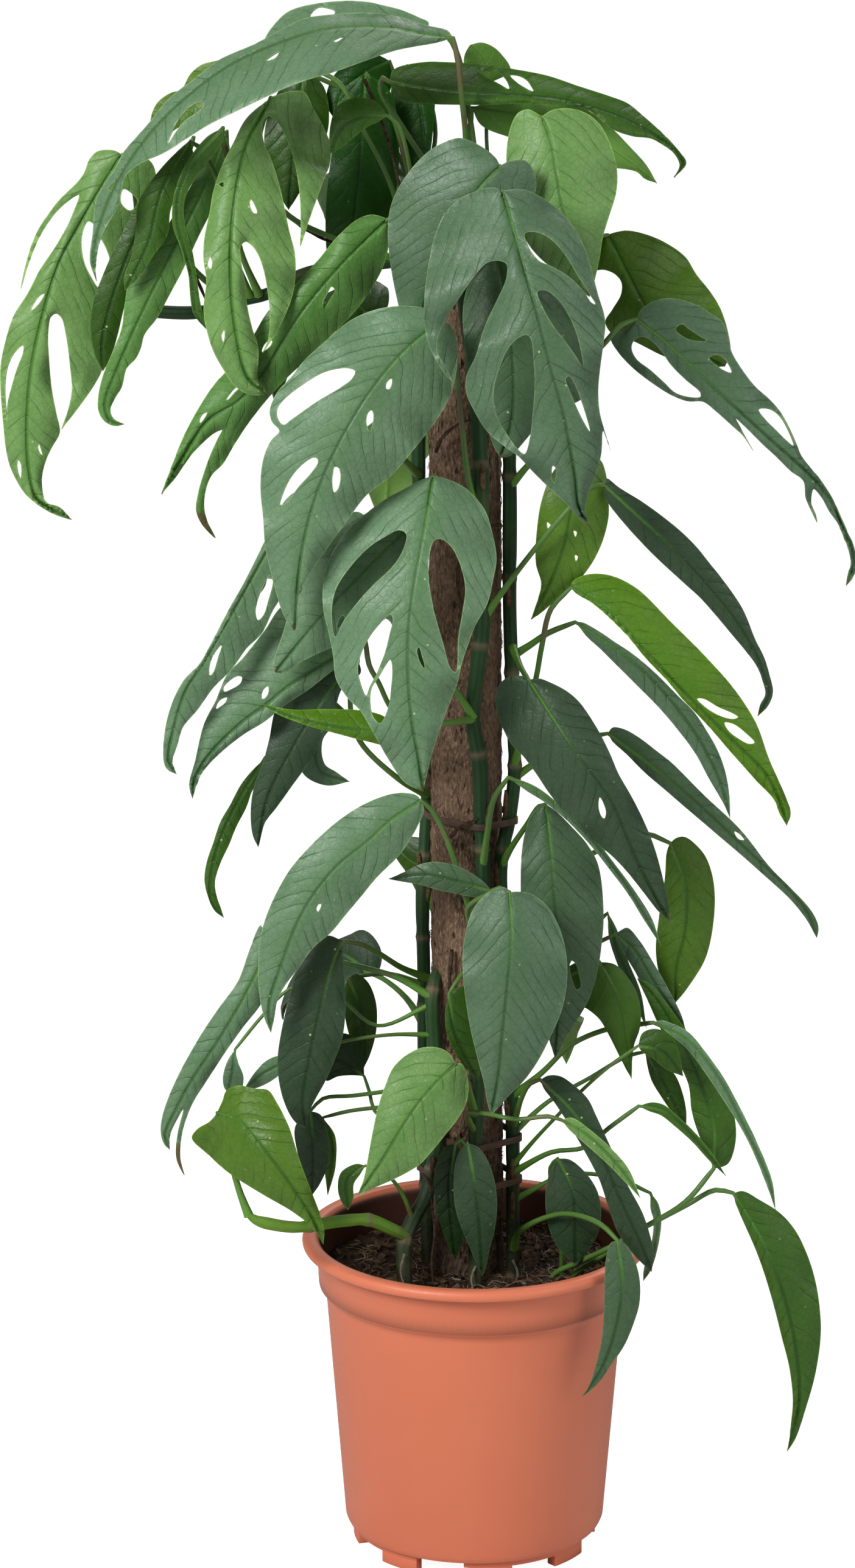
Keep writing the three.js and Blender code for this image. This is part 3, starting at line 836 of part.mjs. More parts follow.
function seenLeaf(row) {
  return seenBlade(row).add(tube(stalkLine(row), stalkRadius, stalkSides, stalkSteps(row)));
}

// A far leaf: its stalk climbs out from the stem, and its blade runs on outward and bends down.
function farLeaf(row) {
  const heading = THREE.MathUtils.degToRad(row.around);
  const out = new THREE.Vector3(Math.cos(heading), Math.sin(heading), 0);
  const side = new THREE.Vector3(out.y, -out.x, 0);
  const up = new THREE.Vector3(0, 0, 1);
  const start = stemAt(stemOf[row.on], row.height);
  const base = start.clone().addScaledVector(out, row.reach).addScaledVector(up, row.rise);
  const turn = THREE.MathUtils.degToRad(farStart + row.droop);
  const bend = (v) => THREE.MathUtils.degToRad(farStart) - turn * Math.min(v / row.length, 1);
  const along = (v) => out.clone().multiplyScalar(Math.cos(bend(v))).addScaledVector(up, Math.sin(bend(v)));
  const ribAt = (v) => {
    const steps = 12;
    const point = base.clone();
    for (let i = 0; i < steps; i += 1) {
      point.addScaledVector(along((v * (i + 0.5)) / steps), v / steps);
    }
    return point;
  };
  const lean = THREE.MathUtils.degToRad(farTilt);
  const roll = THREE.MathUtils.degToRad(row.roll);
  const sway = (v) => Math.sign(row.roll) * farSway * Math.sin((Math.PI * Math.max(v, 0)) / row.length);
  const place = (u, v, half, rise) => {
    const across = u * Math.cos(lean);
    const above = rise - Math.abs(u - sway(v)) * Math.sin(lean);
    return ribAt(v)
      .addScaledVector(side, across * Math.cos(roll) - above * Math.sin(roll))
      .addScaledVector(side.clone().cross(along(v)), across * Math.sin(roll) + above * Math.cos(roll));
  };
  const beside = (share, t) => [(share * row.width) / 2 + sway(t * row.length), t * row.length];
  const half = (sign) => farOutline.map(([t, w]) => beside(sign * w, t));
  const slot = (sign, t) => [[0.22, t], [0.6, t - 0.01], [0.78, t + 0.07], [0.5, t + 0.07]]
    .map(([w, v]) => beside(sign * w, v));
  const slots = Array.from({ length: row.splits }, (_, i) =>
    [slot(-1, 0.24 + 0.2 * i), slot(1, 0.3 + 0.2 * i)]);
  const rib = [0, 0.25, 0.5, 0.75, 1].map((t) => beside(0, t));
  const stalk = [
    start,
    start.clone().addScaledVector(out, row.reach * 0.3).addScaledVector(up, row.rise * 0.6),
    start.clone().addScaledVector(out, row.reach * 0.7).addScaledVector(up, row.rise * 0.95),
    base,
    place(0, stalkGrip, 0, 0),
  ];
  return blade({ rib, margins: [half(-1), half(1)], slots: slots.flat(), place })
    .add(tube(stalk, stalkRadius, stalkSides, 5));
}

// a stem's line, run down into the soil where it stands in it
function stemLine(stem, longer = 0) {
  const line = seenPath(stem.path);
  const [last, tip] = line.slice(-2);
  tip.add(tip.clone().sub(last).setLength(longer));
  return stem.soil ? [line[0].clone().setZ(soilTop - rootDepth - longer), ...line] : line;
}

// the middle of a stem at a height
function stemAt(name, height) {
  const points = new THREE.CatmullRomCurve3(stemLine(stems[name])).getPoints(200);
  return points.reduce((best, p) => (Math.abs(p.z - height) < Math.abs(best.z - height) ? p : best)).clone();
}

function potSolid() {
  const collarLow = potHeight - lipHeight - collarHeight;
  const step = 4.5;
  const profile = [
    [0, 12], [footRadius, 12], [footRadius + 2.8, 13.2], [bodyFoot - 0.5, 17], [bodyTop, collarLow - step],
    [collarFoot, collarLow], [collarTop, potHeight - lipHeight], [rimRadius - 2, potHeight - lipHeight],
    [rimRadius, potHeight - 4], [rimRadius - 2.2, potHeight], [collarTop + 2, potHeight],
    [collarTop - wall, potHeight - 5], [collarFoot - wall, collarLow - 1],
    [bodyTop - wall, collarLow - step - 1], [bodyFoot - 2 - wall, floorTop],
    [0, floorTop],
  ];
  return feet().reduce((body, foot) => body.add(foot), solid(lathe(profile, potSides)));
}

// four double feet: a sector of the skirt, with a shallow notch in the middle of its lower edge
function feet() {
  const sector = (from, to, low, high, curveSegments) => {
    const outline = new THREE.Shape();
    outline.absarc(0, 0, footRadius - 1, from, to, false);
    outline.absarc(0, 0, footRadius - 1 - footWidth, to, from, true);
    const depth = high - low;
    return solid(new THREE.ExtrudeGeometry(outline, { depth, bevelEnabled: false, curveSegments })
      .translate(0, 0, low));
  };
  const radians = THREE.MathUtils.degToRad;
  return [0, 1, 2, 3].flatMap((i) => {
    const middle = i * 90 - 90 + footTurn;
    const at = (turn) => radians(middle + turn);
    const half = footSpread / 2;
    return [
      sector(at(-half), at(half), footHeight - 6, footHeight, 4),
      sector(at(-half), at(-footNotch / 2), 0, footHeight - 5.5, 1),
      sector(at(footNotch / 2), at(half), 0, footHeight - 5.5, 1),
    ];
  });
}

const poleMiddle = (t) => new THREE.Vector3(-3.5 - 5.5 * t, 5, poleFoot + t * (poleTop - poleFoot));
function poleSolid(extra) {
  const line = [0, 0.33, 0.67, 1].map(poleMiddle);
  line[0].z -= extra;
  line[3].z += extra;
  return tube(line, poleRadius + extra, poleSides, 4);
}

// the soil fills the pot to below its rim, a little uneven on top
function soilSolid() {
  const collarLow = potHeight - lipHeight - collarHeight;
  const profile = [
    [0, floorTop + gap], [bodyFoot - 2 - wall - gap, floorTop + gap],
    [bodyTop - wall - gap, collarLow - 5.2], [collarFoot - wall - gap - 0.2, collarLow - 1],
    [collarFoot - wall - gap, soilTop - 2], [80, soilTop + 0.5], [42, soilTop], [0, soilTop],
  ];
  const geometry = lathe(profile, potSides);
  const place = geometry.attributes.position;
  for (let i = 0; i < place.count; i += 1) {
    const [x, y, z] = [place.getX(i), place.getY(i), place.getZ(i)];
    const radius = Math.hypot(x, y);
    if (z > soilTop - 2.1 && radius > 1) {
      place.setZ(i, z + soilWaves * Math.sin(x / 11 + 1) * Math.cos(y / 13));
    }
  }
  return solid(geometry);
}

// A tie: a flat strap drawn round the pole and the stems beside it, at one height.
function tieSolid(height) {
  const t = (height - poleFoot) / (poleTop - poleFoot);
  const rounds = [{ middle: poleMiddle(t), radius: poleRadius }];
  for (const name of ['vine_front', 'vine_right', 'vine_left']) {
    rounds.push({ middle: stemAt(name, height), radius: stems[name].radius });
  }
  const loop = (extra) => {
    const points = rounds.flatMap(({ middle, radius }) => Array.from({ length: tieSides }, (_, i) => {
      const angle = (2 * Math.PI * (i + 0.5)) / tieSides;
      const reach = (radius + extra) / Math.cos(Math.PI / tieSides);
      return new THREE.Vector2(middle.x + reach * Math.cos(angle), middle.y + reach * Math.sin(angle));
    }));
    return hull(points);
  };
  const strap = new THREE.Shape(loop(tieSlack + tieThick));
  strap.holes.push(new THREE.Path(loop(tieSlack)));
  return solid(new THREE.ExtrudeGeometry(strap, { depth: tieHeight, bevelEnabled: false })
    .translate(0, 0, height));
}

// the points of a flat set that lie on its outline, in order
function hull(points) {
  const sorted = [...points].sort((a, b) => a.x - b.x || a.y - b.y);
  const chain = (list) => {
    const kept = [];
    for (const p of list) {
      while (kept.length > 1) {
        const [a, b] = kept.slice(-2);
        if ((b.x - a.x) * (p.y - a.y) - (b.y - a.y) * (p.x - a.x) > 1e-6) {
          break;
        }
        kept.pop();
      }
      kept.push(p);
    }
    return kept.slice(0, -1);
  };
  return [...chain(sorted), ...chain(sorted.reverse())];
}

// one named piece with its colour
function piece(name, body, color, roughness) {
  const mesh = body.getMesh();
  const geometry = new THREE.BufferGeometry();
  geometry.setAttribute('position', new THREE.BufferAttribute(new Float32Array(mesh.vertProperties), 3));
  geometry.setIndex(new THREE.BufferAttribute(new Uint32Array(mesh.triVerts), 1));
  geometry.computeVertexNormals();
  const result = new THREE.Mesh(geometry, new THREE.MeshStandardMaterial({ color, roughness, metalness: 0 }));
  result.name = name;
  return result;
}

const stemTube = (stem, extra) =>
  tube(stemLine(stem, extra), stem.radius + extra, stemSides, stem.steps);
const allStems = [...Object.values(stems), sideShoot];
const cleared = [poleSolid(gap), ...allStems.map((stem) => stemTube(stem, gap + 0.15))];

function clearOf(body, others) {
  return largest(others.reduce((rest, other) => rest.subtract(other), body));
}

const plant = new THREE.Group();
const standing = leaves.filter((row) => row.soil);
const inSoil = standing.map((row) =>
  tube(stalkLine(row, gap), stalkRadius + gap + 0.15, stalkSides, stalkSteps(row)));
plant.add(piece('pot', potSolid(), 0xc4654a, 0.45));
plant.add(piece('soil', clearOf(soilSolid(), [...cleared, ...inSoil]), 0x3a2a20, 1));
plant.add(piece('pole', poleSolid(0), 0x5a4032, 0.95));
for (const [name, level] of Object.entries(tieLevels)) {
  plant.add(piece(name, tieSolid(level), 0x6b4a33, 0.8));
}

for (const [name, stem] of Object.entries(stems)) {
  const grown = leaves.filter((row) => stemOf[row.on] === name).map(seenLeaf);
  grown.push(...farLeaves.filter((row) => stemOf[row.on] === name).map(farLeaf));
  if (name === 'vine_low_left') {
    grown.push(stemTube(sideShoot, 0));
  }
  const body = grown.reduce((whole, leaf) => whole.add(leaf), stemTube(stem, 0));
  const beside = stem.soil ? [] : [stemTube(stems.vine_left, gap + 0.15)];
  plant.add(piece(name, clearOf(body, beside), 0x3f6b3c, 0.5));
}

for (const row of leaves.filter((each) => !each.on)) {
  plant.add(piece(`leaf_${row.name}`, clearOf(seenLeaf(row), cleared), 0x4f7d5c, 0.5));
}

const box = new THREE.Box3().setFromObject(plant);
plant.position.set(-(box.min.x + box.max.x) / 2, -(box.min.y + box.max.y) / 2, -box.min.z);
export default plant;
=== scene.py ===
# A potted cebu blue pothos: a terracotta-coloured pot, soil, a fibre pole, climbing stems and their leaves.
import math
import random

import bpy
import numpy as np
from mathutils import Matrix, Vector, noise
from mathutils.geometry import delaunay_2d_cdt


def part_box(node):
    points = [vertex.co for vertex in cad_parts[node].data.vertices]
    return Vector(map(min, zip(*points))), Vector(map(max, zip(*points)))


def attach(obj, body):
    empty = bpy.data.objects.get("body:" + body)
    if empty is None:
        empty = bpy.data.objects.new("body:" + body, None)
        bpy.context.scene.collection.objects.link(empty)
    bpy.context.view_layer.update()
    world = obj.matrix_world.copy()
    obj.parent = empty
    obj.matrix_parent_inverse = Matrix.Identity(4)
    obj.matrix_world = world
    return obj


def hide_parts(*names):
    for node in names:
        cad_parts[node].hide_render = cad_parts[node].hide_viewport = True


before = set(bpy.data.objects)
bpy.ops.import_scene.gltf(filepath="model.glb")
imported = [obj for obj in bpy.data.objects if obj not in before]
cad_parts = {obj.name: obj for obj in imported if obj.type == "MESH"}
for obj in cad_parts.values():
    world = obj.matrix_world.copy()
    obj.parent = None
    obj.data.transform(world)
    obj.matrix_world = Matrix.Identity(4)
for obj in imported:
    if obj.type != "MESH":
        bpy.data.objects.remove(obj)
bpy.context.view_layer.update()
bpy.ops.object.select_all(action="DESELECT")

potLow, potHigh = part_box("pot")
potMiddle = np.array([(potLow.x + potHigh.x) / 2, (potLow.y + potHigh.y) / 2, 0.0])
millimetre = 0.001

# The view that the leaves are laid out in: places in a 1404 by 2576 picture, each with a depth behind the
# pot's axis
view = {
    "eye": (-33.0, -3000.0, 1302.0),     # millimetres from the foot of the pot's axis
    "pitch": 14.2,                       # degrees down
    "focal": 7509.0,                     # pixels
    "centre": (702.0, 1288.0),
    "size": (1404, 2576),
    "perPixel": 0.41,                    # millimetres at the pole
}


def seen(x, y, depth):                   # millimetres from the pot's axis, for one place or for many
    pitch = math.radians(view["pitch"])
    right = (np.asarray(x, float) - view["centre"][0]) / view["focal"]
    up = (view["centre"][1] - np.asarray(y, float)) / view["focal"]
    level = math.cos(pitch) + up * math.sin(pitch)
    ray = np.stack([right, level, up * math.cos(pitch) - math.sin(pitch)], -1)
    reach = (np.asarray(depth, float) - view["eye"][1]) / ray[..., 1]
    return ray * reach[..., None] + np.array(view["eye"])


def inFrame(points):                     # millimetres from the pot's axis to metres in the frame
    return np.asarray(points, float) * millimetre + potMiddle


def grouped(numbers, size):
    return np.array(numbers, float).reshape(-1, size)


def seenPath(numbers):
    places = grouped(numbers, 3)
    return seen(places[:, 0], places[:, 1], places[:, 2])


def makeCamera():
    camera = bpy.data.cameras.new("viewCamera")
    camera.lens = camera.sensor_width * view["focal"] / view["size"][1]
    camera.clip_end = 200
    holder = bpy.data.objects.new("viewCamera", camera)
    holder.location = inFrame(view["eye"])
    holder.rotation_euler = (math.radians(90 - view["pitch"]), 0, 0)
    bpy.context.collection.objects.link(holder)
    bpy.context.scene.camera = holder


makeCamera()
print("camera ready")


# Lines, tubes and meshes
def smoothLine(points, spacing, closed=False, flat=2):
    corners = [np.array(p, float) for p in points]
    if closed:
        ring = [corners[-1], *corners, corners[0], corners[1]]
    else:
        ring = [2 * corners[0] - corners[1], *corners, 2 * corners[-1] - corners[-2]]
    line = []
    for p0, p1, p2, p3 in zip(ring, ring[1:], ring[2:], ring[3:]):
        k0 = 0.0
        k1 = k0 + max(np.linalg.norm((p1 - p0)[:flat]), 1e-6) ** 0.5
        k2 = k1 + max(np.linalg.norm((p2 - p1)[:flat]), 1e-6) ** 0.5
        k3 = k2 + max(np.linalg.norm((p3 - p2)[:flat]), 1e-6) ** 0.5
        steps = max(1, round(np.linalg.norm((p2 - p1)[:flat]) / spacing))
        for i in range(steps):
            t = k1 + (k2 - k1) * i / steps
            a1 = p0 + (p1 - p0) * (t - k0) / (k1 - k0)
            a2 = p1 + (p2 - p1) * (t - k1) / (k2 - k1)
            a3 = p2 + (p3 - p2) * (t - k2) / (k3 - k2)
            b1 = a1 + (a2 - a1) * (t - k0) / (k2 - k0)
            b2 = a2 + (a3 - a2) * (t - k1) / (k3 - k1)
            line.append(b1 + (b2 - b1) * (t - k1) / (k2 - k1))
    if not closed:
        line.append(corners[-1])
    return np.array(line)


def alongLine(line):                     # the length from the start to each point
    return np.concatenate([[0.0], np.cumsum(np.linalg.norm(np.diff(line, axis=0), axis=1))])


def tube(line, radii, sides):            # a closed round tube: its points and faces
    line = np.asarray(line, float)
    count = len(line)
    radii = np.broadcast_to(np.asarray(radii, float), (count,))
    heading = np.gradient(line, axis=0)
    heading /= np.linalg.norm(heading, axis=1)[:, None]
    start = np.array([1.0, 0.0, 0.0]) if abs(heading[0][0]) < 0.8 else np.array([0.0, 1.0, 0.0])
    points = []
    across = start
    for i in range(count):
        across = across - heading[i] * np.dot(across, heading[i])
        across /= np.linalg.norm(across)
        other = np.cross(heading[i], across)
        for k in range(sides):
            turn = 2 * math.pi * k / sides
            points.append(line[i] + radii[i] * (math.cos(turn) * across + math.sin(turn) * other))
    faces = []
    for i in range(count - 1):
        for k in range(sides):
            a, b = i * sides + k, i * sides + (k + 1) % sides
            faces.append((a, b, b + sides, a + sides))
    faces.append(tuple(reversed(range(sides))))
    faces.append(tuple(range((count - 1) * sides, count * sides)))
    return np.array(points), faces


def together(parts):                     # several (points, faces) as one
    points, faces, first = [], [], 0
    for somePoints, someFaces in parts:
        points.append(somePoints)
        faces.extend(tuple(i + first for i in face) for face in someFaces)
        first += len(somePoints)
    return np.vstack(points), faces


def activate(piece):
    bpy.ops.object.select_all(action="DESELECT")
    piece.select_set(True)
    bpy.context.view_layer.objects.active = piece


def newPiece(name, points, faces, materials, smoothAngle=45):
    mesh = bpy.data.meshes.new(name)
    mesh.from_pydata(inFrame(points).tolist(), [], faces)
    mesh.validate()
    piece = bpy.data.objects.new(name, mesh)
    bpy.context.collection.objects.link(piece)
    for material in materials:
        mesh.materials.append(material)
    activate(piece)
    bpy.ops.object.shade_smooth_by_angle(angle=math.radians(smoothAngle))
    return piece


def settle(piece, slotName, *nodes):     # the piece rides with the plant and stands for its CAD nodes
    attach(piece, "root")
    if nodes:
        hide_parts(*nodes)


# Node building
def newMaterial(name):
    material = bpy.data.materials.new(name)
    material.use_nodes = True
    material.node_tree.nodes.clear()
    return material, material.node_tree


def addNode(tree, kind, settings=None, **inputs):
    node = tree.nodes.new(kind)
    for key, value in (settings or {}).items():
        setattr(node, key, value)
    for key, value in inputs.items():
        socket = node.inputs[int(key[1:])] if key[0] == "i" and key[1:].isdigit() else node.inputs[key]
        if isinstance(value, bpy.types.NodeSocket):
            tree.links.new(value, socket)
        else:
            socket.default_value = value
    return node


def calc(tree, operation, a, b=0.0):
    return addNode(tree, "ShaderNodeMath", {"operation": operation}, i0=a, i1=b).outputs[0]


def product(tree, value, *others):
    for other in others:
        value = calc(tree, "MULTIPLY", value, other)
    return value


def total(tree, value, *others):
    for other in others:
        value = calc(tree, "ADD", value, other)
    return value


def span(tree, value, low, high, toLow=0.0, toHigh=1.0, smooth=True):
    kind = "SMOOTHSTEP" if smooth else "LINEAR"
    return addNode(tree, "ShaderNodeMapRange", {"interpolation_type": kind}, i0=value, i1=low, i2=high,
                   i3=toLow, i4=toHigh).outputs[0]


def mixed(tree, factor, a, b, blend="MIX"):
    node = tree.nodes.new("ShaderNodeMix")
    node.data_type = "RGBA"
    node.blend_type = blend
    node.clamp_result = True
    for index, value in ((0, factor), (6, a), (7, b)):
        if isinstance(value, bpy.types.NodeSocket):
            tree.links.new(value, node.inputs[index])
        else:
            node.inputs[index].default_value = value
    return node.outputs[2]


def laid(tree, color, over, *factors):    # a colour over another, as strong as the product of the factors
    return mixed(tree, product(tree, *factors), color, over)


def toned(tree, color, *multiple):       # a colour times a fixed one
    return mixed(tree, 1.0, color, (*multiple, 1), "MULTIPLY")


def attribute(tree, name):
    return addNode(tree, "ShaderNodeAttribute", {"attribute_name": name})


def channels(tree, color):
    return addNode(tree, "ShaderNodeSeparateColor", None, i0=color).outputs


def heightOf(tree, place):
    return addNode(tree, "ShaderNodeSeparateXYZ", None, i0=place).outputs[2]


def noiseAt(tree, place, scale, detail=2.0, roughness=0.5):
    node = addNode(tree, "ShaderNodeTexNoise", None, Vector=place, Scale=scale, Detail=detail,
                   Roughness=roughness)
    return node.outputs[0]


def bumped(tree, height, strength, distance):
    settings = {"Height": height, "Strength": strength, "Distance": distance}
    return addNode(tree, "ShaderNodeBump", None, **settings).outputs[0]


def surface(tree, color, roughness, normal=None, **constants):
    shader = addNode(tree, "ShaderNodeBsdfPrincipled")
    for socket, value in (("Base Color", color), ("Roughness", roughness), ("Normal", normal)):
        if isinstance(value, bpy.types.NodeSocket):
            tree.links.new(value, shader.inputs[socket])
        elif value is not None:
            shader.inputs[socket].default_value = value
    for key, value in constants.items():
        shader.inputs[key.replace("_", " ")].default_value = value
    out = tree.nodes.new("ShaderNodeOutputMaterial")
    tree.links.new(shader.outputs[0], out.inputs[0])
    return shader


def paint(piece, name, values):          # a colour for each point of a piece
    layer = piece.data.color_attributes.new(name=name, type="FLOAT_COLOR", domain="POINT")
    layer.data.foreach_set("color", np.asarray(values, float).ravel())


def objectPlace(tree):
    return tree.nodes.new("ShaderNodeTexCoord").outputs["Object"]


def newGroup(name, inputs, outputs):
    group = bpy.data.node_groups.new(name, "ShaderNodeTree")
    for title, kind, value in inputs:
        socket = group.interface.new_socket(name=title, in_out="INPUT", socket_type=kind)
        if value is not None:
            socket.default_value = value
    for title, kind in outputs:
        group.interface.new_socket(name=title, in_out="OUTPUT", socket_type=kind)
    entry = group.nodes.new("NodeGroupInput")
    leaving = group.nodes.new("NodeGroupOutput")
    return group, entry, leaving


# veins: a midrib and side veins that leave it at a slant, from a map of lengths along and across the blade
def makeVeinGroup():
    group, entry, leaving = newGroup(
        "leafVeins",
        [("Map", "NodeSocketVector", None), ("Place", "NodeSocketVector", None),
         ("Spacing", "NodeSocketFloat", 0.085), ("Slant", "NodeSocketFloat", 0.9)],
        [("Midrib", "NodeSocketFloat"), ("Side", "NodeSocketFloat"), ("Net", "NodeSocketFloat"),
         ("Quilt", "NodeSocketFloat")],
    )
    parts = addNode(group, "ShaderNodeSeparateXYZ", None, i0=entry.outputs["Map"])
    along, across = parts.outputs[0], calc(group, "ABSOLUTE", parts.outputs[1])
    place = entry.outputs["Place"]
    wander = product(group, calc(group, "SUBTRACT", noiseAt(group, place, 34.0), 0.5), 0.13)
    outward = calc(group, "POWER", calc(group, "ADD", across, 0.001), 1.2)
    bend = product(group, outward, entry.outputs["Slant"])
    flow = total(group, calc(group, "SUBTRACT", along, bend), wander)
    wave = calc(group, "FRACT", calc(group, "DIVIDE", flow, entry.outputs["Spacing"]))
    off = product(group, calc(group, "ABSOLUTE", calc(group, "SUBTRACT", wave, 0.5)), 2.0)
    strong = span(group, noiseAt(group, place, 52.0), 0.38, 0.66, 0.15, 1.0)
    cells = addNode(group, "ShaderNodeTexVoronoi", {"feature": "DISTANCE_TO_EDGE"}, Vector=place, Scale=210.0)
    found = [
        span(group, across, 0.004, 0.016, 1.0, 0.0),
        product(group, span(group, off, 0.86, 1.0), strong),
        span(group, cells.outputs["Distance"], 0.0, 0.14, 1.0, 0.0),
        product(group, span(group, off, 1.0, 0.1), strong),
    ]
    for value, socket in zip(found, leaving.inputs):
        group.links.new(value, socket)
    return group


# grain: broad and fine mottling in one
def makeGrainGroup():
    group, entry, leaving = newGroup(
        "mottle",
        [("Place", "NodeSocketVector", None), ("Broad", "NodeSocketFloat", 20.0),
         ("Fine", "NodeSocketFloat", 200.0)],
        [("Broad", "NodeSocketFloat"), ("Fine", "NodeSocketFloat")],
    )
    broad = noiseAt(group, entry.outputs["Place"], entry.outputs["Broad"], 3.0, 0.55)
    fine = noiseAt(group, entry.outputs["Place"], entry.outputs["Fine"], 4.0, 0.6)
    group.links.new(span(group, broad, 0.3, 0.7), leaving.inputs[0])
    group.links.new(span(group, fine, 0.3, 0.7), leaving.inputs[1])
    return group


veinGroup = makeVeinGroup()
mottleGroup = makeGrainGroup()


def mottle(tree, place, broad, fine):
    node = tree.nodes.new("ShaderNodeGroup")
    node.node_tree = mottleGroup
    tree.links.new(place, node.inputs["Place"])
    node.inputs["Broad"].default_value = broad
    node.inputs["Fine"].default_value = fine
    return node.outputs[0], node.outputs[1]


# Leaves: each a blade with a top and an underside, filled between its rib and its margins, with a round
# stalk that runs on as its midrib
leaf = {
    "thick": 0.7,                        # millimetres
    "grain": 4.5,  # pixels between the points of a blade
    "rowShare": 0.87,                    # height of a row of points, for triangles with equal sides
    "room": 0.55,                        # how near a point may come to an edge
    "edgeGrain": 4.0,
    "stalk": (3.4, 1.85),                # radius at the stem and at the blade
    "midrib": (1.0, 0.22),
    "midribDrop": 0.75,                  # how far below the blade the midrib runs
    "sides": 8,
    "stalkGrain": 6.0,
    "soften": 3,                         # rounds of smoothing of the depth
    "bow": 0.055,                        # arch of each half, against its width
    "wave": 0.045,                       # wave of the margin, against its width
    "waveLength": (38.0, 61.0),
    "waveless": 25.0,                    # stretch at each end where the waves die out
    "veinUnit": 100.0,                   # millimetres in one unit of the vein map
    "stalkFoot": 16.0,                   # stretch over which the stalk thins from the stem
    "join": 9.0,                         # stretch each way over which the stalk turns into the midrib
    "least": 0.55,                       # how thick the stalk of a tiny leaf is, against a long one's
    "fullLength": 260.0,
    "lowering": 4.0,                     # points over which the midrib drops below the blade
    "bladeTone": 0.45,                   # share of the blade over which the midrib takes its colour
    "footTone": 60.0,                    # stretch over which the stalk turns brown
}


def isInside(points, ring):              # for many points at once
    a, b = ring, np.roll(ring, -1, axis=0)
    crosses = (a[:, 1] > points[:, 1:2]) != (b[:, 1] > points[:, 1:2])
    rise = np.where(b[:, 1] == a[:, 1], 1e-9, b[:, 1] - a[:, 1])
    edge = a[:, 0] + (b[:, 0] - a[:, 0]) * (points[:, 1:2] - a[:, 1]) / rise
    return (np.sum(crosses & (points[:, 0:1] < edge), axis=1) % 2) == 1


# the nearest place on a line to each point: its distance, its stretch and how far along that
def besideLine(points, line):
    a, step = line[:-1, :2], np.diff(line[:, :2], axis=0)
    square = np.maximum((step ** 2).sum(1), 1e-9)
    t = ((points[:, None, :] - a) * step).sum(2) / square
    t = np.clip(t, 0, 1)
    apart = points[:, None, :] - a - t[..., None] * step
    distance = np.sqrt((apart ** 2).sum(2))
    best = distance.argmin(1)
    every = np.arange(len(points))
    return distance[every, best], best, t[every, best]


def fillRing(ring, slots, grain):        # triangles inside a ring and outside its slots
    low, high = ring.min(0), ring.max(0)
    rows = np.arange(low[1] + grain / 2, high[1], grain * leaf["rowShare"])
    columns = np.arange(low[0], high[0], grain)
    inner = [(x + (i % 2) * grain / 2, y) for i, y in enumerate(rows) for x in columns]
    inner = np.array(inner).reshape(-1, 2)
    edges, loops = [], [ring, *slots]
    first = 0
    for loop in loops:
        edges += [(first + i, first + (i + 1) % len(loop)) for i in range(len(loop))]
        first += len(loop)
    edge = np.vstack(loops)
    if len(inner):
        inner = inner[isInside(inner, ring)]
    for slot in slots:
        if len(inner):
            inner = inner[~isInside(inner, slot)]
    if len(inner):
        near = np.sqrt(((inner[:, None, :] - edge) ** 2).sum(2)).min(1)
        inner = inner[near > grain * leaf["room"]]
    places = [Vector(p) for p in np.vstack([edge, inner])]
    points, _, faces, origins, _, _ = delaunay_2d_cdt(places, edges, [], 0, 1e-5)
    points = np.array([tuple(p) for p in points])
    faces = np.array(faces).reshape(-1, 3)
    middles = points[faces].mean(1)
    keep = isInside(middles, ring)
    for slot in slots:
        keep &= ~isInside(middles, slot)
    return points, faces[keep], origins


def windingOf(ring):                     # twice the signed area
    after = np.roll(ring, -1, axis=0)
    return float((ring[:, 0] * after[:, 1] - after[:, 0] * ring[:, 1]).sum())


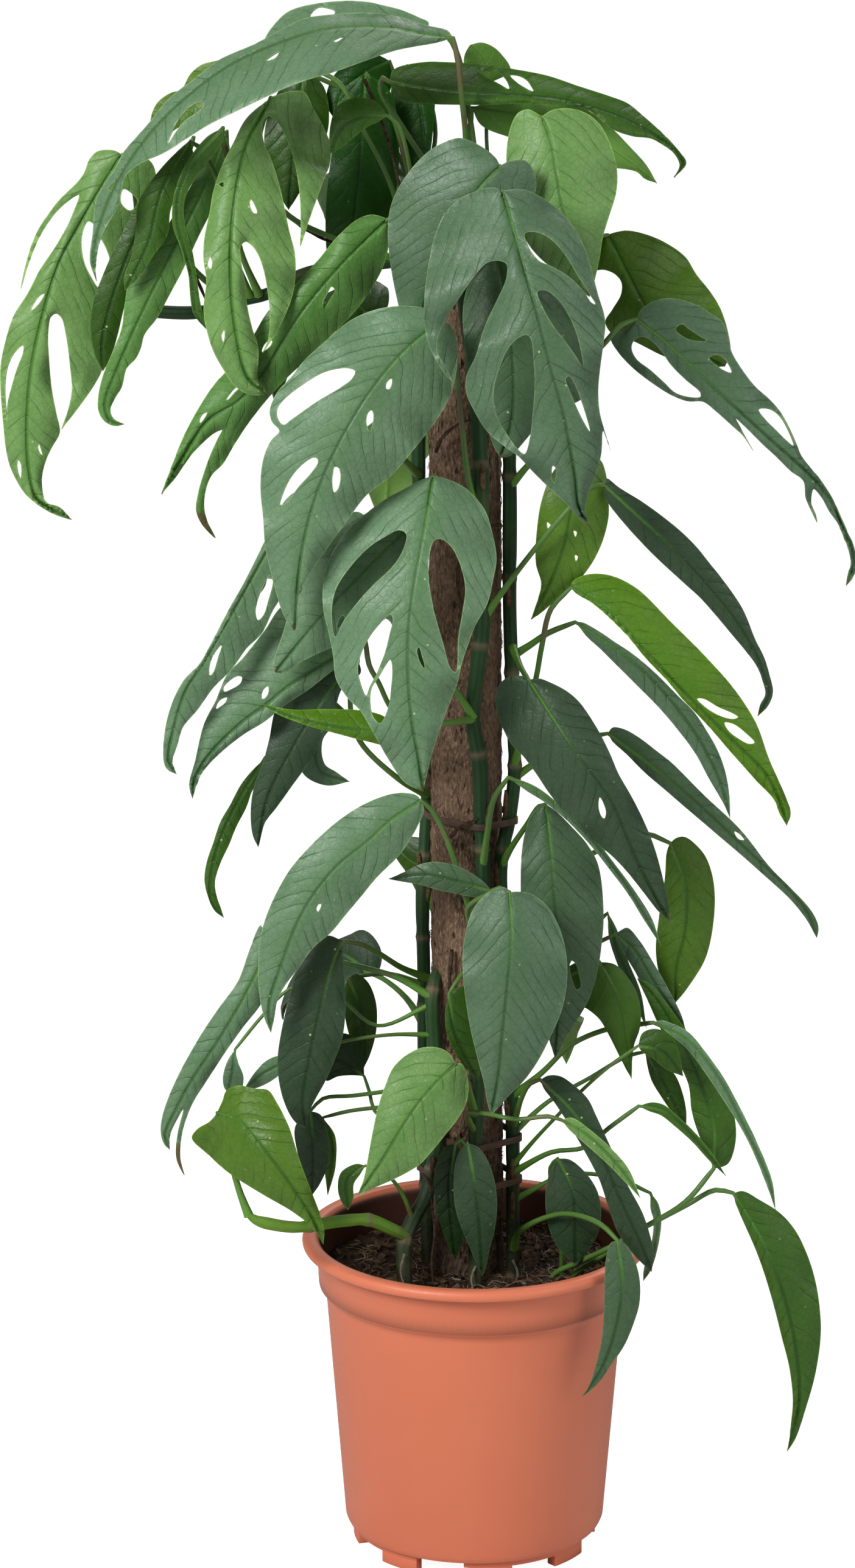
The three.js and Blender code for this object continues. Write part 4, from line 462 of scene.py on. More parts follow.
def makeSheet(rib, margins, slots, place, grain, scale, chance):
    # rib holds x, y and a depth, margins and slots x and y. place turns x, y and depth into a point in space.
    points, faces, sides = [rib[:, :2]], [], [np.zeros(len(rib))]
    count = len(rib)
    for side, margin in enumerate(margins):
        ring = np.vstack([rib[:, :2], margin[::-1]])
        own = [slot for slot in slots if isInside(slot.mean(0)[None], ring)[0]]
        flat, cut, origins = fillRing(ring, own, grain)
        index = np.empty(len(flat), int)
        extra = []
        for i, origin in enumerate(origins):
            onRib = [k for k in origin if k < len(rib)]
            if onRib:
                index[i] = onRib[0]
            else:
                index[i] = count + len(extra)
                extra.append(flat[i])
        ringWinds = windingOf(ring) > 0
        turned = cut if ringWinds == (side == 0) else cut[:, ::-1]
        faces.append(index[turned])
        points.append(np.array(extra).reshape(-1, 2))
        sides.append(np.full(len(extra), 1.0 if side else -1.0))
        count += len(extra)
    points, faces, sides = np.vstack(points), np.vstack(faces), np.concatenate(sides)
    distance, stretch, part = besideLine(points, rib)
    depth = rib[stretch, 2] + part * (rib[stretch + 1, 2] - rib[stretch, 2])
    ribSpace = place(rib[:, 0], rib[:, 1], rib[:, 2])
    lengths = alongLine(ribSpace)
    along = lengths[stretch] + part * (lengths[stretch + 1] - lengths[stretch])
    toMargin = np.full(len(points), 1e9)
    for side, margin in enumerate(margins):
        mine = np.where(sides == (1.0 if side else -1.0))[0]
        if len(mine):
            toMargin[mine] = besideLine(points[mine], np.vstack([rib[:1, :2], margin, rib[-1:, :2]]))[0]
    share = distance / (distance + toMargin + 1e-6)
    pairs = np.sort(np.concatenate([faces[:, [0, 1]], faces[:, [1, 2]], faces[:, [2, 0]]]), axis=1)
    edges, uses = np.unique(pairs, axis=0, return_counts=True)
    onEdge = np.zeros(len(points))
    onEdge[edges[uses == 1].ravel()] = 1.0
    return {"points": points, "faces": faces, "sides": sides, "distance": distance * scale, "depth": depth,
            "along": along, "share": share, "length": lengths[-1], "chance": chance, "onEdge": onEdge}


def smoothDepth(depth, faces, rounds):   # each point drawn towards the mean of its neighbours
    a = np.concatenate([faces[:, 0], faces[:, 1], faces[:, 2]])
    b = np.concatenate([faces[:, 1], faces[:, 2], faces[:, 0]])
    count = np.zeros(len(depth))
    np.add.at(count, a, 1)
    np.add.at(count, b, 1)
    for _ in range(rounds):
        around = np.zeros(len(depth))
        np.add.at(around, a, depth[b])
        np.add.at(around, b, depth[a])
        fresh = 0.4 * depth + 0.6 * around / np.maximum(count, 1)
        depth = fresh
    return depth


# the depth of each point: lean, arch and waves; lift is towards the viewer
def shaped(sheet, tilts, lift):
    lean = np.where(sheet["sides"] > 0, tilts[1], tilts[0])
    depth = sheet["depth"] - lift * np.tan(np.radians(lean)) * sheet["distance"]
    depth = smoothDepth(depth, sheet["faces"], leaf["soften"])
    width = sheet["distance"].max()
    share, along, chance = sheet["share"], sheet["along"], sheet["chance"]
    arch = leaf["bow"] * width * 4 * share * (1 - share)
    phases = [chance.uniform(0, 2 * math.pi) for _ in range(4)]
    wave = sum(
        np.sin(2 * math.pi * along / length + phases[i] + sheet["sides"] * phases[i + 2])
        for i, length in enumerate(leaf["waveLength"])
    )
    ends = np.clip(np.minimum(along, sheet["length"] - along) / leaf["waveless"], 0, 1)
    return depth + lift * (arch + leaf["wave"] * width * share ** 2 * wave * ends)


def makeLeaf(name, sheet, space, stalkLine, ribLine, facing, tint, materials):
    # space holds the blade's points in space, facing the side that its top looks to
    faces = sheet["faces"]
    corners = space[faces]
    normals = np.cross(corners[:, 1] - corners[:, 0], corners[:, 2] - corners[:, 0])
    if (normals @ np.asarray(facing)).sum() < 0:
        faces, normals = faces[:, ::-1], -normals
    upward = np.zeros((len(space), 3))
    for k in range(3):
        np.add.at(upward, faces[:, k], normals)
    upward = upward[:len(ribLine)] / (np.linalg.norm(upward[:len(ribLine)], axis=1)[:, None] + 1e-9)
    mesh = bpy.data.meshes.new(name)
    mesh.from_pydata(inFrame(space).tolist(), [], faces.tolist())
    mesh.validate()
    veinMap = mesh.uv_layers.new(name="veinMap")
    loops = np.empty(len(mesh.loops), int)
    mesh.loops.foreach_get("vertex_index", loops)
    across = sheet["sides"] * sheet["distance"]
    flat = np.stack([sheet["along"], across], -1)[loops] / leaf["veinUnit"]
    veinMap.data.foreach_set("uv", flat.ravel())
    blade = bpy.data.objects.new(name, mesh)
    own = sheet["chance"].random()
    paint(blade, "leafPlace", np.stack([sheet["share"], sheet["along"] / sheet["length"],
                                        np.full(len(space), own), sheet["onEdge"]], -1))
    bpy.context.collection.objects.link(blade)
    for material in materials:
        mesh.materials.append(material)
    activate(blade)
    shell = blade.modifiers.new("shell", "SOLIDIFY")
    shell.thickness = leaf["thick"] * millimetre
    shell.offset = 0
    shell.material_offset = 1
    shell.material_offset_rim = 3
    bpy.ops.object.modifier_apply(modifier="shell")
    drop = leaf["midribDrop"] * np.clip(np.arange(len(ribLine)) / leaf["lowering"], 0, 1)
    lowered = ribLine - upward * drop[:, None]
    line = np.vstack([stalkLine[:-1], lowered])
    lengths = alongLine(line)
    stalkLength = lengths[len(line) - len(ribLine)]
    r0, r1 = leaf["stalk"]
    m0, m1 = leaf["midrib"]
    small = min(1.0, leaf["least"] + sheet["length"] / leaf["fullLength"])
    radii = [
        (r1 + (r0 - r1) * math.exp(-s / leaf["stalkFoot"]) if s < stalkLength
         else m1 + (m0 - m1) * (1 - (s - stalkLength) / (lengths[-1] - stalkLength)) ** 1.3) * small
        for s in lengths
    ]
    join = leaf["join"]
    for i in range(1, len(radii) - 1):   # the stalk runs into the midrib without a step
        if abs(lengths[i] - stalkLength) < join:
            mix = (lengths[i] - stalkLength + join) / (2 * join)
            radii[i] = small * (r1 * (1 - mix) + m0 * mix)
    tubePoints, tubeFaces = tube(line, radii, leaf["sides"])
    stalk = newPiece(name + "Stalk", tubePoints, tubeFaces, materials, 60)
    stalkMap = stalk.data.uv_layers.new(name="veinMap")
    stalkLoops = np.empty(len(stalk.data.loops), int)
    stalk.data.loops.foreach_get("vertex_index", stalkLoops)
    ringOf = np.minimum(stalkLoops // leaf["sides"], len(lengths) - 1)
    ringMap = np.stack([lengths[ringOf] / leaf["veinUnit"], np.zeros(len(ringOf))], -1)
    stalkMap.data.foreach_set("uv", ringMap.ravel())
    onBlade = np.clip((lengths - stalkLength) / (leaf["bladeTone"] * sheet["length"]), 0, 1)
    ringTone = np.stack([onBlade, np.minimum(lengths / leaf["footTone"], 1.0), np.full(len(lengths), own),
                         np.ones(len(lengths))], -1)
    paint(stalk, "leafPlace", np.repeat(ringTone, leaf["sides"], axis=0))
    stalk.data.polygons.foreach_set("material_index", np.full(len(stalk.data.polygons), 2, dtype=np.int32))
    bpy.ops.object.select_all(action="DESELECT")
    stalk.select_set(True)
    blade.select_set(True)
    bpy.context.view_layer.objects.active = blade
    bpy.ops.object.join()
    bpy.ops.object.shade_smooth_by_angle(angle=math.radians(50))
    paint(blade, "leafTint", np.tile([*tint, 1.0], len(blade.data.vertices)))
    return blade


soilTop, rootDepth, sunk = 195.0, 38.0, 5.0
towardViewer = np.array([0.0, -1.0, 0.25])


def stalkOf(row):                        # the stalk's line in space, up to the blade's base
    line = list(seenPath(row["stalk"]))
    if row.get("soil"):
        line.insert(0, np.array([line[0][0], line[0][1], soilTop - rootDepth]))
    ribPlaces = seenPath(row["rib"][:6])
    return smoothLine([*line, ribPlaces[0]] if np.linalg.norm(line[-1] - ribPlaces[0]) > 0.5 else line,
                      leaf["stalkGrain"], flat=3)


def makeSeenLeaf(row, materials, tint):
    chance = random.Random(row["name"])
    rib = smoothLine(grouped(row["rib"], 3), 9.0)
    ends = rib[[0, -1], :2]

    def marginOf(numbers):
        return smoothLine([ends[0], *grouped(numbers, 2), ends[1]], leaf["edgeGrain"])[1:-1]

    slots = [smoothLine(grouped(numbers, 2), 3.0, closed=True) for numbers in row.get("slots", [])]
    sheet = makeSheet(rib, [marginOf(row["left"]), marginOf(row["right"])], slots, seen, leaf["grain"],
                      view["perPixel"], chance)
    depth = shaped(sheet, row["tilt"], -1.0)
    space = seen(sheet["points"][:, 0], sheet["points"][:, 1], depth)
    ribSpace = space[:len(rib)]
    facing = -towardViewer if row["name"] in undersideSeen else towardViewer
    return makeLeaf(row["name"] + "_leaf", sheet, space, stalkOf(row), ribSpace, facing, tint, materials)


# Leaves as seen from the front. rib runs from the blade's base to its tip and stalk from the stem to the
# base, as x, y, depth. left and right are the margins, and slots the openings, as x, y. tilt is how far
# each half leans back from the rib. A leaf with a stem in "on" is fused with it, and one with "soil"
# stands in the soil.
leafRows = [
    {"name": "crown_arching", "tilt": [60, -55],
     "stalk": [762,345,-16, 765,230,-30, 757,150,-42, 752,100,-47, 744,62,-48],
     "rib": [744,62,-48, 700,58,-58, 640,47,-70, 540,48,-84, 480,63,-88, 400,95,-90, 350,125,-90,
       300,165,-88, 250,215,-85, 200,285,-80, 167,358,-76, 152,432,-73, 159,462,-72],
     "left": [735,51, 700,42, 650,27, 600,21, 550,24, 500,31, 460,50, 420,72, 360,99, 320,129, 275,165,
       247,200, 225,225, 205,248, 190,275, 173,302, 158,330, 153,380, 148,430],
     "right": [720,69, 650,83, 600,100, 550,118, 500,133, 450,153, 400,177, 350,201, 300,232, 268,252,
       240,264, 218,277, 204,293, 199,315, 193,340, 175,372, 163,400, 157,442],
     "slots": [[334,168, 318,172, 302,186, 287,208, 276,236, 290,215, 305,197, 322,186, 333,176],
       [178,311, 189,298, 183,314], [548,68, 566,59, 553,69], [437,100, 458,86, 453,95]]},
    {"name": "crown_back_top", "tilt": [50, -30],
     "stalk": [787,350,-5, 777,230,8, 764,150,16, 753,95,18, 735,60,16, 702,48,14],
     "rib": [702,48,14, 640,36,16, 570,34,20, 500,44,22, 430,80,22],
     "left": [704,37, 690,30, 660,17, 630,9, 600,3, 560,2, 520,6, 480,16, 462,28, 438,58],
     "right": [690,60, 640,62, 560,62, 500,66, 455,80],
     "slots": [[523,13, 550,19, 547,25, 510,27]]},
    {"name": "crown_back_left", "tilt": [30, -20],
     "stalk": [688,470,8, 668,400,14, 640,300,14, 596,212,13, 555,135,14, 490,110,16, 430,120,18],
     "rib": [430,120,18, 370,135,16, 310,170,14, 262,205,10, 245,235,8],
     "left": [400,100, 375,97, 350,101, 330,107, 312,123, 298,147, 280,153, 262,165, 252,180, 247,200],
     "right": [430,140, 380,165, 330,190, 285,215, 258,240]},
    {"name": "crown_hanging", "tilt": [15, 20],
     "stalk": [655,428,-1, 555,394,-16, 475,355,-26, 430,300,-30, 425,230,-34, 445,160,-40],
     "rib": [445,160,-40, 405,235,-62, 385,330,-80, 378,430,-88, 386,540,-88, 408,622,-84, 438,646,-82],
     "left": [405,195, 385,232, 365,272, 350,318, 345,348, 337,385, 334,425, 339,460, 335,510, 341,548,
       352,580, 368,608, 385,633, 405,646, 425,649],
     "right": [478,150, 500,152, 515,180, 530,207, 543,240, 541,270, 530,300, 508,360, 493,404, 494,375,
       492,320, 486,278, 475,238, 458,203, 441,190, 431,200, 433,235, 445,262, 460,310, 476,385, 484,415,
       485,450, 478,492, 462,530, 445,560, 431,580, 441,555, 443,515, 440,480, 432,440, 420,412, 404,397,
       395,404, 396,430, 402,465, 405,500, 414,540, 423,568, 424,592, 422,620, 430,634],
     "slots": [[412,328, 417,335, 422,350, 417,350, 411,338], [345,422, 348,430, 346,442, 341,436],
       [368,543, 369,552, 367,562, 364,552], [367,299, 367,308, 360,303]]},
    {"name": "crown_far_left", "tilt": [20, 15],
     "stalk": [215,505,6, 218,450,14, 224,380,14, 222,320,12, 200,254,-2],
     "rib": [200,254,-2, 165,310,-6, 130,370,-10, 98,430,-14, 72,510,-16, 52,600,-16, 44,700,-14,
       48,775,-12, 60,818,-11, 88,838,-10, 118,854,-8],
     "left": [185,247, 160,249, 147,262, 138,285, 127,300, 93,334, 60,383, 42,435, 34,476, 46,437, 66,388,
       99,342, 130,320, 118,355, 95,400, 65,445, 46,482, 22,520, 8,565, 1,605, 1,640, 6,700, 9,730,
       15,760, 28,790, 45,815, 68,833, 92,846],
     "right": [225,256, 248,266, 256,295, 240,335, 226,358, 212,395, 198,430, 186,465, 178,500, 172,550,
       170,600, 150,640, 125,675, 108,696, 101,706, 112,672, 118,640, 115,600, 109,555, 101,522, 92,515,
       83,521, 79,545, 80,585, 84,635, 93,680, 98,710, 85,735, 76,754, 69,780, 69,802, 76,825, 97,833],
     "slots": [[145,364, 137,378, 134,402, 139,432, 150,455, 162,472, 172,452, 180,430, 174,408, 163,388,
       155,370], [203,311, 216,318, 226,332, 214,346, 199,333], [38,568, 38,578, 28,605, 19,635, 12,665,
       12,690, 10,667, 9,630, 13,602, 24,580], [73,483, 65,487, 55,500, 51,510, 60,503, 70,490],
       [64,730, 67,738, 70,748, 66,744, 63,736], [30,756, 34,762, 35,775, 34,786, 30,778, 28,764]]},
    {"name": "left_backlit", "tilt": [15, 15],
     "stalk": [392,494,2, 345,467,-2, 305,423,-8, 290,350,-12, 302,280,-16, 318,225,-22],
     "rib": [318,225,-22, 270,300,-26, 225,385,-28, 188,480,-28, 168,560,-26, 169,610,-24],
     "left": [290,250, 262,285, 227,332, 205,375, 185,415, 168,455, 155,490, 149,530, 151,560, 158,588],
     "right": [305,290, 265,370, 230,440, 207,495, 193,550, 180,592]},
    {"name": "left_blue", "tilt": [12, 20],
     "stalk": [352,508,2, 357,470,-12, 362,430,-20, 370,320,-24, 372,215,-30],
     "rib": [372,215,-30, 335,310,-40, 285,410,-46, 235,510,-48, 195,600,-48, 172,665,-46, 181,691,-45,
       204,697,-44],
     "left": [345,235, 322,290, 290,345, 262,395, 235,430, 213,460, 205,500, 200,540, 184,580, 170,615,
       162,650, 162,675, 172,692, 190,700],
     "right": [378,270, 350,340, 325,390, 302,440, 275,490, 258,522, 237,550, 231,572, 222,590, 208,605,
       200,635, 188,655, 181,673, 187,688]},
    {"name": "left_dark_narrow", "on": "shoot", "tilt": [15, 20],
     "stalk": [410,486,0, 385,420,-20, 372,350,-50, 350,280,-56, 325,240,-58, 312,232,-58],
     "rib": [312,232,-58, 265,315,-62, 243,400,-62, 205,478,-58],
     "left": [285,255, 250,295, 227,333, 223,380, 216,420, 204,455],
     "right": [318,262, 300,300, 280,345, 275,385, 253,418, 230,452]},
    {"name": "left_ribbon", "on": "shoot", "tilt": [15, 15],
     "stalk": [425,484,-2, 392,400,-30, 384,300,-50, 372,250,-58, 364,222,-66, 366,210,-70],
     "rib": [366,210,-70, 320,262,-72, 293,320,-72, 292,370,-72, 304,412,-72, 314,450,-72, 322,515,-72,
       342,545,-72],
     "left": [340,225, 305,270, 285,325, 284,370, 297,408, 309,450, 318,515],
     "right": [365,232, 331,278, 304,325, 303,368, 315,410, 322,448, 331,508]},
    {"name": "crown_diagonal", "tilt": [15, 25],
     "stalk": [672,426,-2, 660,395,-27, 637,360,-51],
     "rib": [637,360,-51, 556,440,-62, 490,520,-68, 440,600,-70, 396,655,-68, 340,692,-64, 302,748,-60,
       265,812,-58],
     "left": [610,353, 585,362, 555,388, 525,425, 500,452, 470,485, 440,512, 417,550, 400,575, 375,606,
       352,632, 330,665, 308,705, 290,745, 275,785],
     "right": [638,400, 630,435, 612,470, 588,505, 550,545, 510,585, 480,612, 448,645, 425,672, 402,703,
       380,738, 366,762, 348,780, 339,800, 335,830, 340,855, 354,884, 332,862, 322,838, 325,812,
       334,780, 345,748, 358,720, 365,706, 352,711, 322,738, 306,758, 288,784],
     "slots": [[545,471, 550,478, 543,489, 531,508, 531,496, 538,482], [447,560, 445,567, 436,575,
       430,578, 433,568, 441,560], [393,637, 385,645, 375,656, 372,657, 380,645, 388,637],
       [340,678, 336,687, 329,695, 328,690, 333,681]]},
    {"name": "crown_small", "on": "left", "tilt": [25, 20],
     "stalk": [682,430,4, 678,330,-30, 668,250,-52, 652,202,-60, 636,190,-62],
     "rib": [636,190,-62, 590,193,-66, 558,215,-66, 542,253,-62],
     "left": [620,170, 600,161, 575,162, 553,175, 545,195, 541,225],
     "right": [622,199, 605,207, 580,226, 558,243]},
    {"name": "crown_right_arching", "tilt": [55, -30],
     "stalk": [760,378,-25, 735,330,-10, 700,270,2, 655,200,2, 625,150,0, 628,128,-4, 640,135,-8],
     "rib": [640,135,-8, 700,145,-14, 765,152,-18, 850,156,-20, 930,165,-20, 1000,185,-18, 1060,212,-14,
       1106,243,-10, 1122,266,-8, 1107,292,-6],
     "left": [645,116, 690,103, 745,103, 800,107, 850,115, 900,125, 950,142, 1000,158, 1030,170,
       1055,190, 1080,212, 1100,231, 1117,251, 1127,268],
     "right": [655,163, 710,171, 765,172, 800,172, 860,170, 920,175, 965,180, 1005,212, 1040,224,
       1067,227, 1087,237, 1109,254, 1116,272],
     "slots": [[786,117, 800,118, 815,118, 830,130, 836,146, 820,138, 800,127],
       [838,124, 852,125, 865,132, 872,142, 876,150, 862,144, 848,135]]},
    {"name": "crown_right_under", "tilt": [20, 25],
     "stalk": [790,385,-19, 776,360,-2, 768,300,12, 770,240,18, 775,176,20],
     "rib": [775,176,20, 860,190,18, 950,212,16, 1020,255,14, 1079,301,14],
     "left": [820,165, 900,165, 955,176, 1000,207, 1035,242, 1060,270],
     "right": [790,205, 850,230, 920,258, 975,272, 1012,276, 1043,281, 1060,294]},
    {"name": "crown_curled", "on": "right", "tilt": [10, 10],
     "stalk": [790,366,-13, 803,335,2, 803,280,20, 799,230,29, 800,138,31],
     "rib": [800,138,31, 797,110,32, 788,88,33, 772,74,34],
     "left": [772,125, 762,105, 764,88],
     "right": [838,116, 824,90, 808,76, 790,70]},
    {"name": "crown_heart", "tilt": [15, 20],
     "stalk": [794,402,-22, 840,320,-34, 870,240,-50, 890,192,-62],
     "rib": [890,192,-62, 905,235,-68, 914,290,-74, 925,350,-76, 948,420,-74, 968,488,-70],
     "left": [880,186, 868,180, 852,185, 840,205, 832,250, 834,300, 845,350, 864,395, 888,425, 916,447,
       945,470],
     "right": [905,182, 930,178, 960,185, 985,205, 1003,240, 1013,280, 1011,320, 1000,355, 990,388,
       984,425, 976,460]},
    {"name": "crown_round", "tilt": [20, 15],
     "stalk": [760,420,-28, 786,360,-48, 812,300,-70, 821,273,-92],
     "rib": [821,273,-92, 790,305,-96, 745,370,-94, 712,450,-86, 690,530,-78, 684,585,-74],
     "left": [812,258, 785,238, 755,227, 725,236, 700,252, 665,292, 643,335, 637,380, 641,430, 652,490,
       666,545],
     "right": [835,266, 862,264, 877,283, 879,315, 862,338, 825,365, 785,410, 745,470, 708,545]},
    {"name": "front_crown_split", "tilt": [18, 22],
     "stalk": [807,472,-23, 830,410,-40, 850,392,-70, 848,360,-112, 824,314,-118],
     "rib": [824,314,-118, 845,385,-136, 860,440,-148, 880,510,-156, 900,590,-158, 925,680,-154,
       944,780,-144, 951,836,-135, 968,861,-130],
     "left": [812,309, 795,310, 765,322, 735,345, 715,385, 704,435, 697,490, 697,530, 703,562, 716,592,
       730,613, 745,629, 731,601, 718,576, 721,548, 735,518, 757,485, 778,455, 800,432, 818,428,
       832,434, 832,456, 817,492, 797,535, 781,585, 766,618, 766,645, 779,675, 800,708, 832,736,
       852,750, 872,771, 900,799, 935,832, 955,855],
     "right": [838,312, 860,312, 890,325, 920,348, 945,378, 962,412, 973,450, 982,485, 992,518, 994,535,
       990,570, 985,605, 982,640, 985,680, 1003,741, 990,708, 987,745, 978,780, 966,808, 961,838],
     "slots": [[865,550, 872,558, 876,590, 878,630, 875,675, 870,720, 861,746, 848,735, 832,712, 818,688,
       811,660, 812,635, 820,605, 833,575, 850,556], [862,384, 875,381, 893,386, 912,400, 932,425,
       950,455, 966,480, 978,500, 971,497, 958,478, 935,455, 905,437, 885,428, 868,405],
       [883,479, 895,477, 912,488, 928,508, 943,538, 952,568, 957,602, 945,584, 928,560, 910,537,
       893,508], [929,622, 934,618, 945,634, 955,660, 963,685, 969,709, 957,690, 943,660, 934,638],
       [908,765, 912,768, 913,780, 911,793, 907,785, 906,772]]},
    {"name": "behind_front", "on": "right", "tilt": [12, 12],
     "stalk": [815,520,-20, 812,455,-37, 808,415,-60, 812,405,-70],
     "rib": [812,405,-70, 830,500,-84, 842,600,-90, 840,690,-88, 822,752,-82],
     "left": [785,430, 765,480, 760,520, 763,560, 771,605, 785,655, 800,700, 812,735],
     "right": [850,430, 895,450, 935,490, 958,545, 966,605, 962,648, 946,661, 915,668, 882,700, 838,748]},
    {"name": "right_yellow", "tilt": [15, 20],
     "stalk": [832,640,-10, 880,520,-14, 930,460,-14, 965,412,-14, 985,388,-12, 998,386,-8],
     "rib": [998,386,-8, 1030,448,-12, 1065,510,-14, 1120,565,-14, 1190,602,-12],
     "left": [1015,381, 1030,379, 1060,385, 1095,400, 1125,422, 1143,450, 1165,478, 1182,505, 1195,545,
       1199,580],
     "right": [985,395, 977,425, 976,443, 992,443, 1010,450, 1021,464, 1020,484, 1006,508, 994,528,
       1005,548, 1040,560, 1090,585, 1140,603]},
    {"name": "right_split", "tilt": [25, 20],
     "stalk": [845,700,-8, 900,640,-30, 985,572,-44, 1003,552,-46, 1020,534,-46, 1046,524,-42],
     "rib": [1046,524,-42, 1100,568,-52, 1160,625,-58, 1220,680,-62, 1280,735,-62, 1330,780,-58,
       1365,822,-50, 1386,869,-46, 1397,898,-44, 1402,926,-42, 1389,963,-40],
     "left": [1052,510, 1070,497, 1095,490, 1120,493, 1145,502, 1170,517, 1187,530, 1195,550, 1200,575,
       1217,605, 1240,635, 1262,655, 1280,675, 1295,700, 1308,730, 1315,748, 1330,768, 1350,792,
       1370,825, 1380,848, 1389,868, 1401,896, 1406,926, 1400,950],
     "right": [1030,540, 1010,548, 1003,556, 1015,578, 1040,605, 1075,632, 1105,650, 1130,659, 1155,660,
       1175,675, 1200,697, 1220,716, 1237,741, 1218,706, 1208,687, 1225,702, 1250,727, 1275,750,
       1300,775, 1319,790, 1323,818, 1330,835, 1342,859, 1340,846, 1332,825, 1336,803, 1350,818,
       1362,840, 1375,858, 1381,872, 1392,900, 1397,926, 1392,944],
     "slots": [[1037,572, 1041,560, 1055,553, 1072,562, 1088,580, 1102,600, 1126,624, 1150,645, 1150,652,
       1128,652, 1108,645, 1090,628, 1068,608, 1045,590], [1110,542, 1113,536, 1121,533, 1130,540,
       1148,552, 1160,560, 1145,560, 1128,556], [1165,588, 1175,583, 1185,586, 1195,597, 1201,612,
       1190,609, 1178,601], [1246,673, 1255,671, 1268,674, 1280,684, 1293,706, 1303,732, 1290,722,
       1272,704, 1256,688]]},
    {"name": "middle_left_large", "tilt": [15, 22],
     "stalk": [790,860,-27, 770,790,-34, 760,710,-40, 753,640,-46, 745,580,-70, 724,527,-108],
     "rib": [724,527,-108, 665,575,-116, 610,640,-124, 565,712,-130, 530,785,-130, 508,850,-128,
       492,930,-122, 484,1037,-116],
     "left": [700,508, 660,503, 620,508, 575,527, 535,560, 500,592, 478,620, 455,645, 443,675, 447,693,
       459,708, 445,724, 433,752, 428,795, 432,850, 436,900, 448,950, 462,1000, 474,1024],
     "right": [735,531, 748,552, 751,590, 745,630, 728,672, 700,712, 668,752, 640,783, 600,815, 575,848,
       548,885, 520,925, 497,965, 489,995, 488,1022],
     "slots": [[583,610, 570,605, 535,611, 497,632, 466,657, 455,674, 457,690, 465,698, 480,688, 520,660,
       560,636, 578,622], [521,754, 515,752, 495,765, 475,790, 462,820, 460,829, 470,826, 490,800,
       510,778, 522,760], [550,767, 556,769, 559,785, 555,803, 549,809, 546,795, 547,778],
       [610,674, 613,680, 612,695, 607,709, 602,695, 604,680], [643,622, 643,632, 638,640, 634,638,
       636,628]]},
    {"name": "middle_grey", "tilt": [15, 15],
     "stalk": [788,900,-28, 735,850,-45, 688,846,-76],
     "rib": [688,846,-76, 610,925,-84, 530,1010,-84, 452,1104,-78],
     "left": [640,832, 570,862, 510,930, 480,992, 465,1040, 449,1092],
     "right": [702,900, 680,960, 640,1010, 590,1045, 545,1063, 500,1084, 464,1105],
     "slots": [[562,1011, 566,1014, 558,1030, 554,1033, 556,1020]]},
    {"name": "left_long", "tilt": [15, 20],
     "stalk": [688,780,17, 640,740,-20, 570,735,-56, 500,800,-70],
     "rib": [500,800,-70, 448,890,-76, 400,975,-78, 366,1035,-78, 335,1088,-78, 305,1135,-76,
       287,1190,-74, 277,1250,-72, 290,1272,-70],
     "left": [470,820, 437,885, 410,940, 385,985, 345,1060, 328,1090, 300,1120, 278,1170, 268,1230,
       273,1262],
     "right": [500,850, 470,920, 457,960, 458,985, 448,1003, 430,1040, 405,1065, 380,1100, 350,1130,
       325,1165, 300,1195, 291,1225, 283,1250],
     "slots": [[443,945, 448,955, 441,985, 433,1010, 424,1019, 420,1006, 424,985, 434,960],
       [364,1060, 358,1080, 350,1105, 345,1110, 344,1098, 350,1078]]},
    {"name": "left_low_split", "tilt": [20, 15],
     "stalk": [700,1232,24, 668,1190,2, 640,1160,-20, 622,1122,-34, 606,1092,-44, 600,1050,-52],
     "rib": [600,1050,-52, 530,1090,-58, 470,1130,-60, 436,1158,-60, 400,1184,-60, 345,1238,-58,
       320,1280,-56, 316,1313,-54],
     "left": [560,1000, 500,985, 462,997, 435,1035, 400,1080, 372,1110, 355,1150, 335,1190, 321,1250,
       311,1290],
     "right": [590,1075, 548,1100, 510,1130, 465,1160, 435,1185, 400,1206, 360,1238, 335,1265, 322,1292],
     "slots": [[397,1112, 395,1122, 380,1132, 368,1136, 367,1130, 378,1118, 390,1111],
       [440,1128, 441,1136, 436,1146, 431,1148, 430,1142, 434,1132],
       [373,1146, 370,1154, 360,1162, 355,1165, 356,1158, 362,1150]]},
    {"name": "front_middle_split", "tilt": [20, 18],
     "stalk": [778,1178,-30, 758,1148,-36, 735,1115,-50, 700,1040,-80, 693,950,-96, 703,850,-92,
       711,782,-92],
     "rib": [711,782,-92, 700,850,-110, 690,905,-120, 680,960,-128, 671,1030,-133, 670,1110,-134,
       677,1190,-130, 688,1250,-124, 695,1300,-120],
     "left": [690,790, 660,806, 630,822, 600,845, 565,878, 543,915, 531,960, 531,1000, 540,1040,
       547,1075, 552,1115, 570,1145, 592,1168, 611,1200, 640,1250, 665,1285],
     "right": [735,788, 765,803, 797,840, 809,880, 815,918, 809,955, 800,992, 780,1028, 768,1060,
       757,1095, 751,1122, 740,1150, 725,1190, 710,1235, 701,1270],
     "slots": [[656,871, 667,878, 661,905, 645,930, 612,962, 585,992, 563,1022, 551,1046, 545,1005,
       552,968, 575,932, 605,900, 632,882], [641,1009, 645,1016, 640,1040, 632,1072, 625,1090,
       618,1108, 607,1128, 601,1143, 592,1122, 588,1098, 594,1072, 607,1047, 624,1025],
       [641,1084, 644,1100, 642,1130, 638,1160, 624,1188, 612,1175, 608,1150, 611,1130, 623,1111,
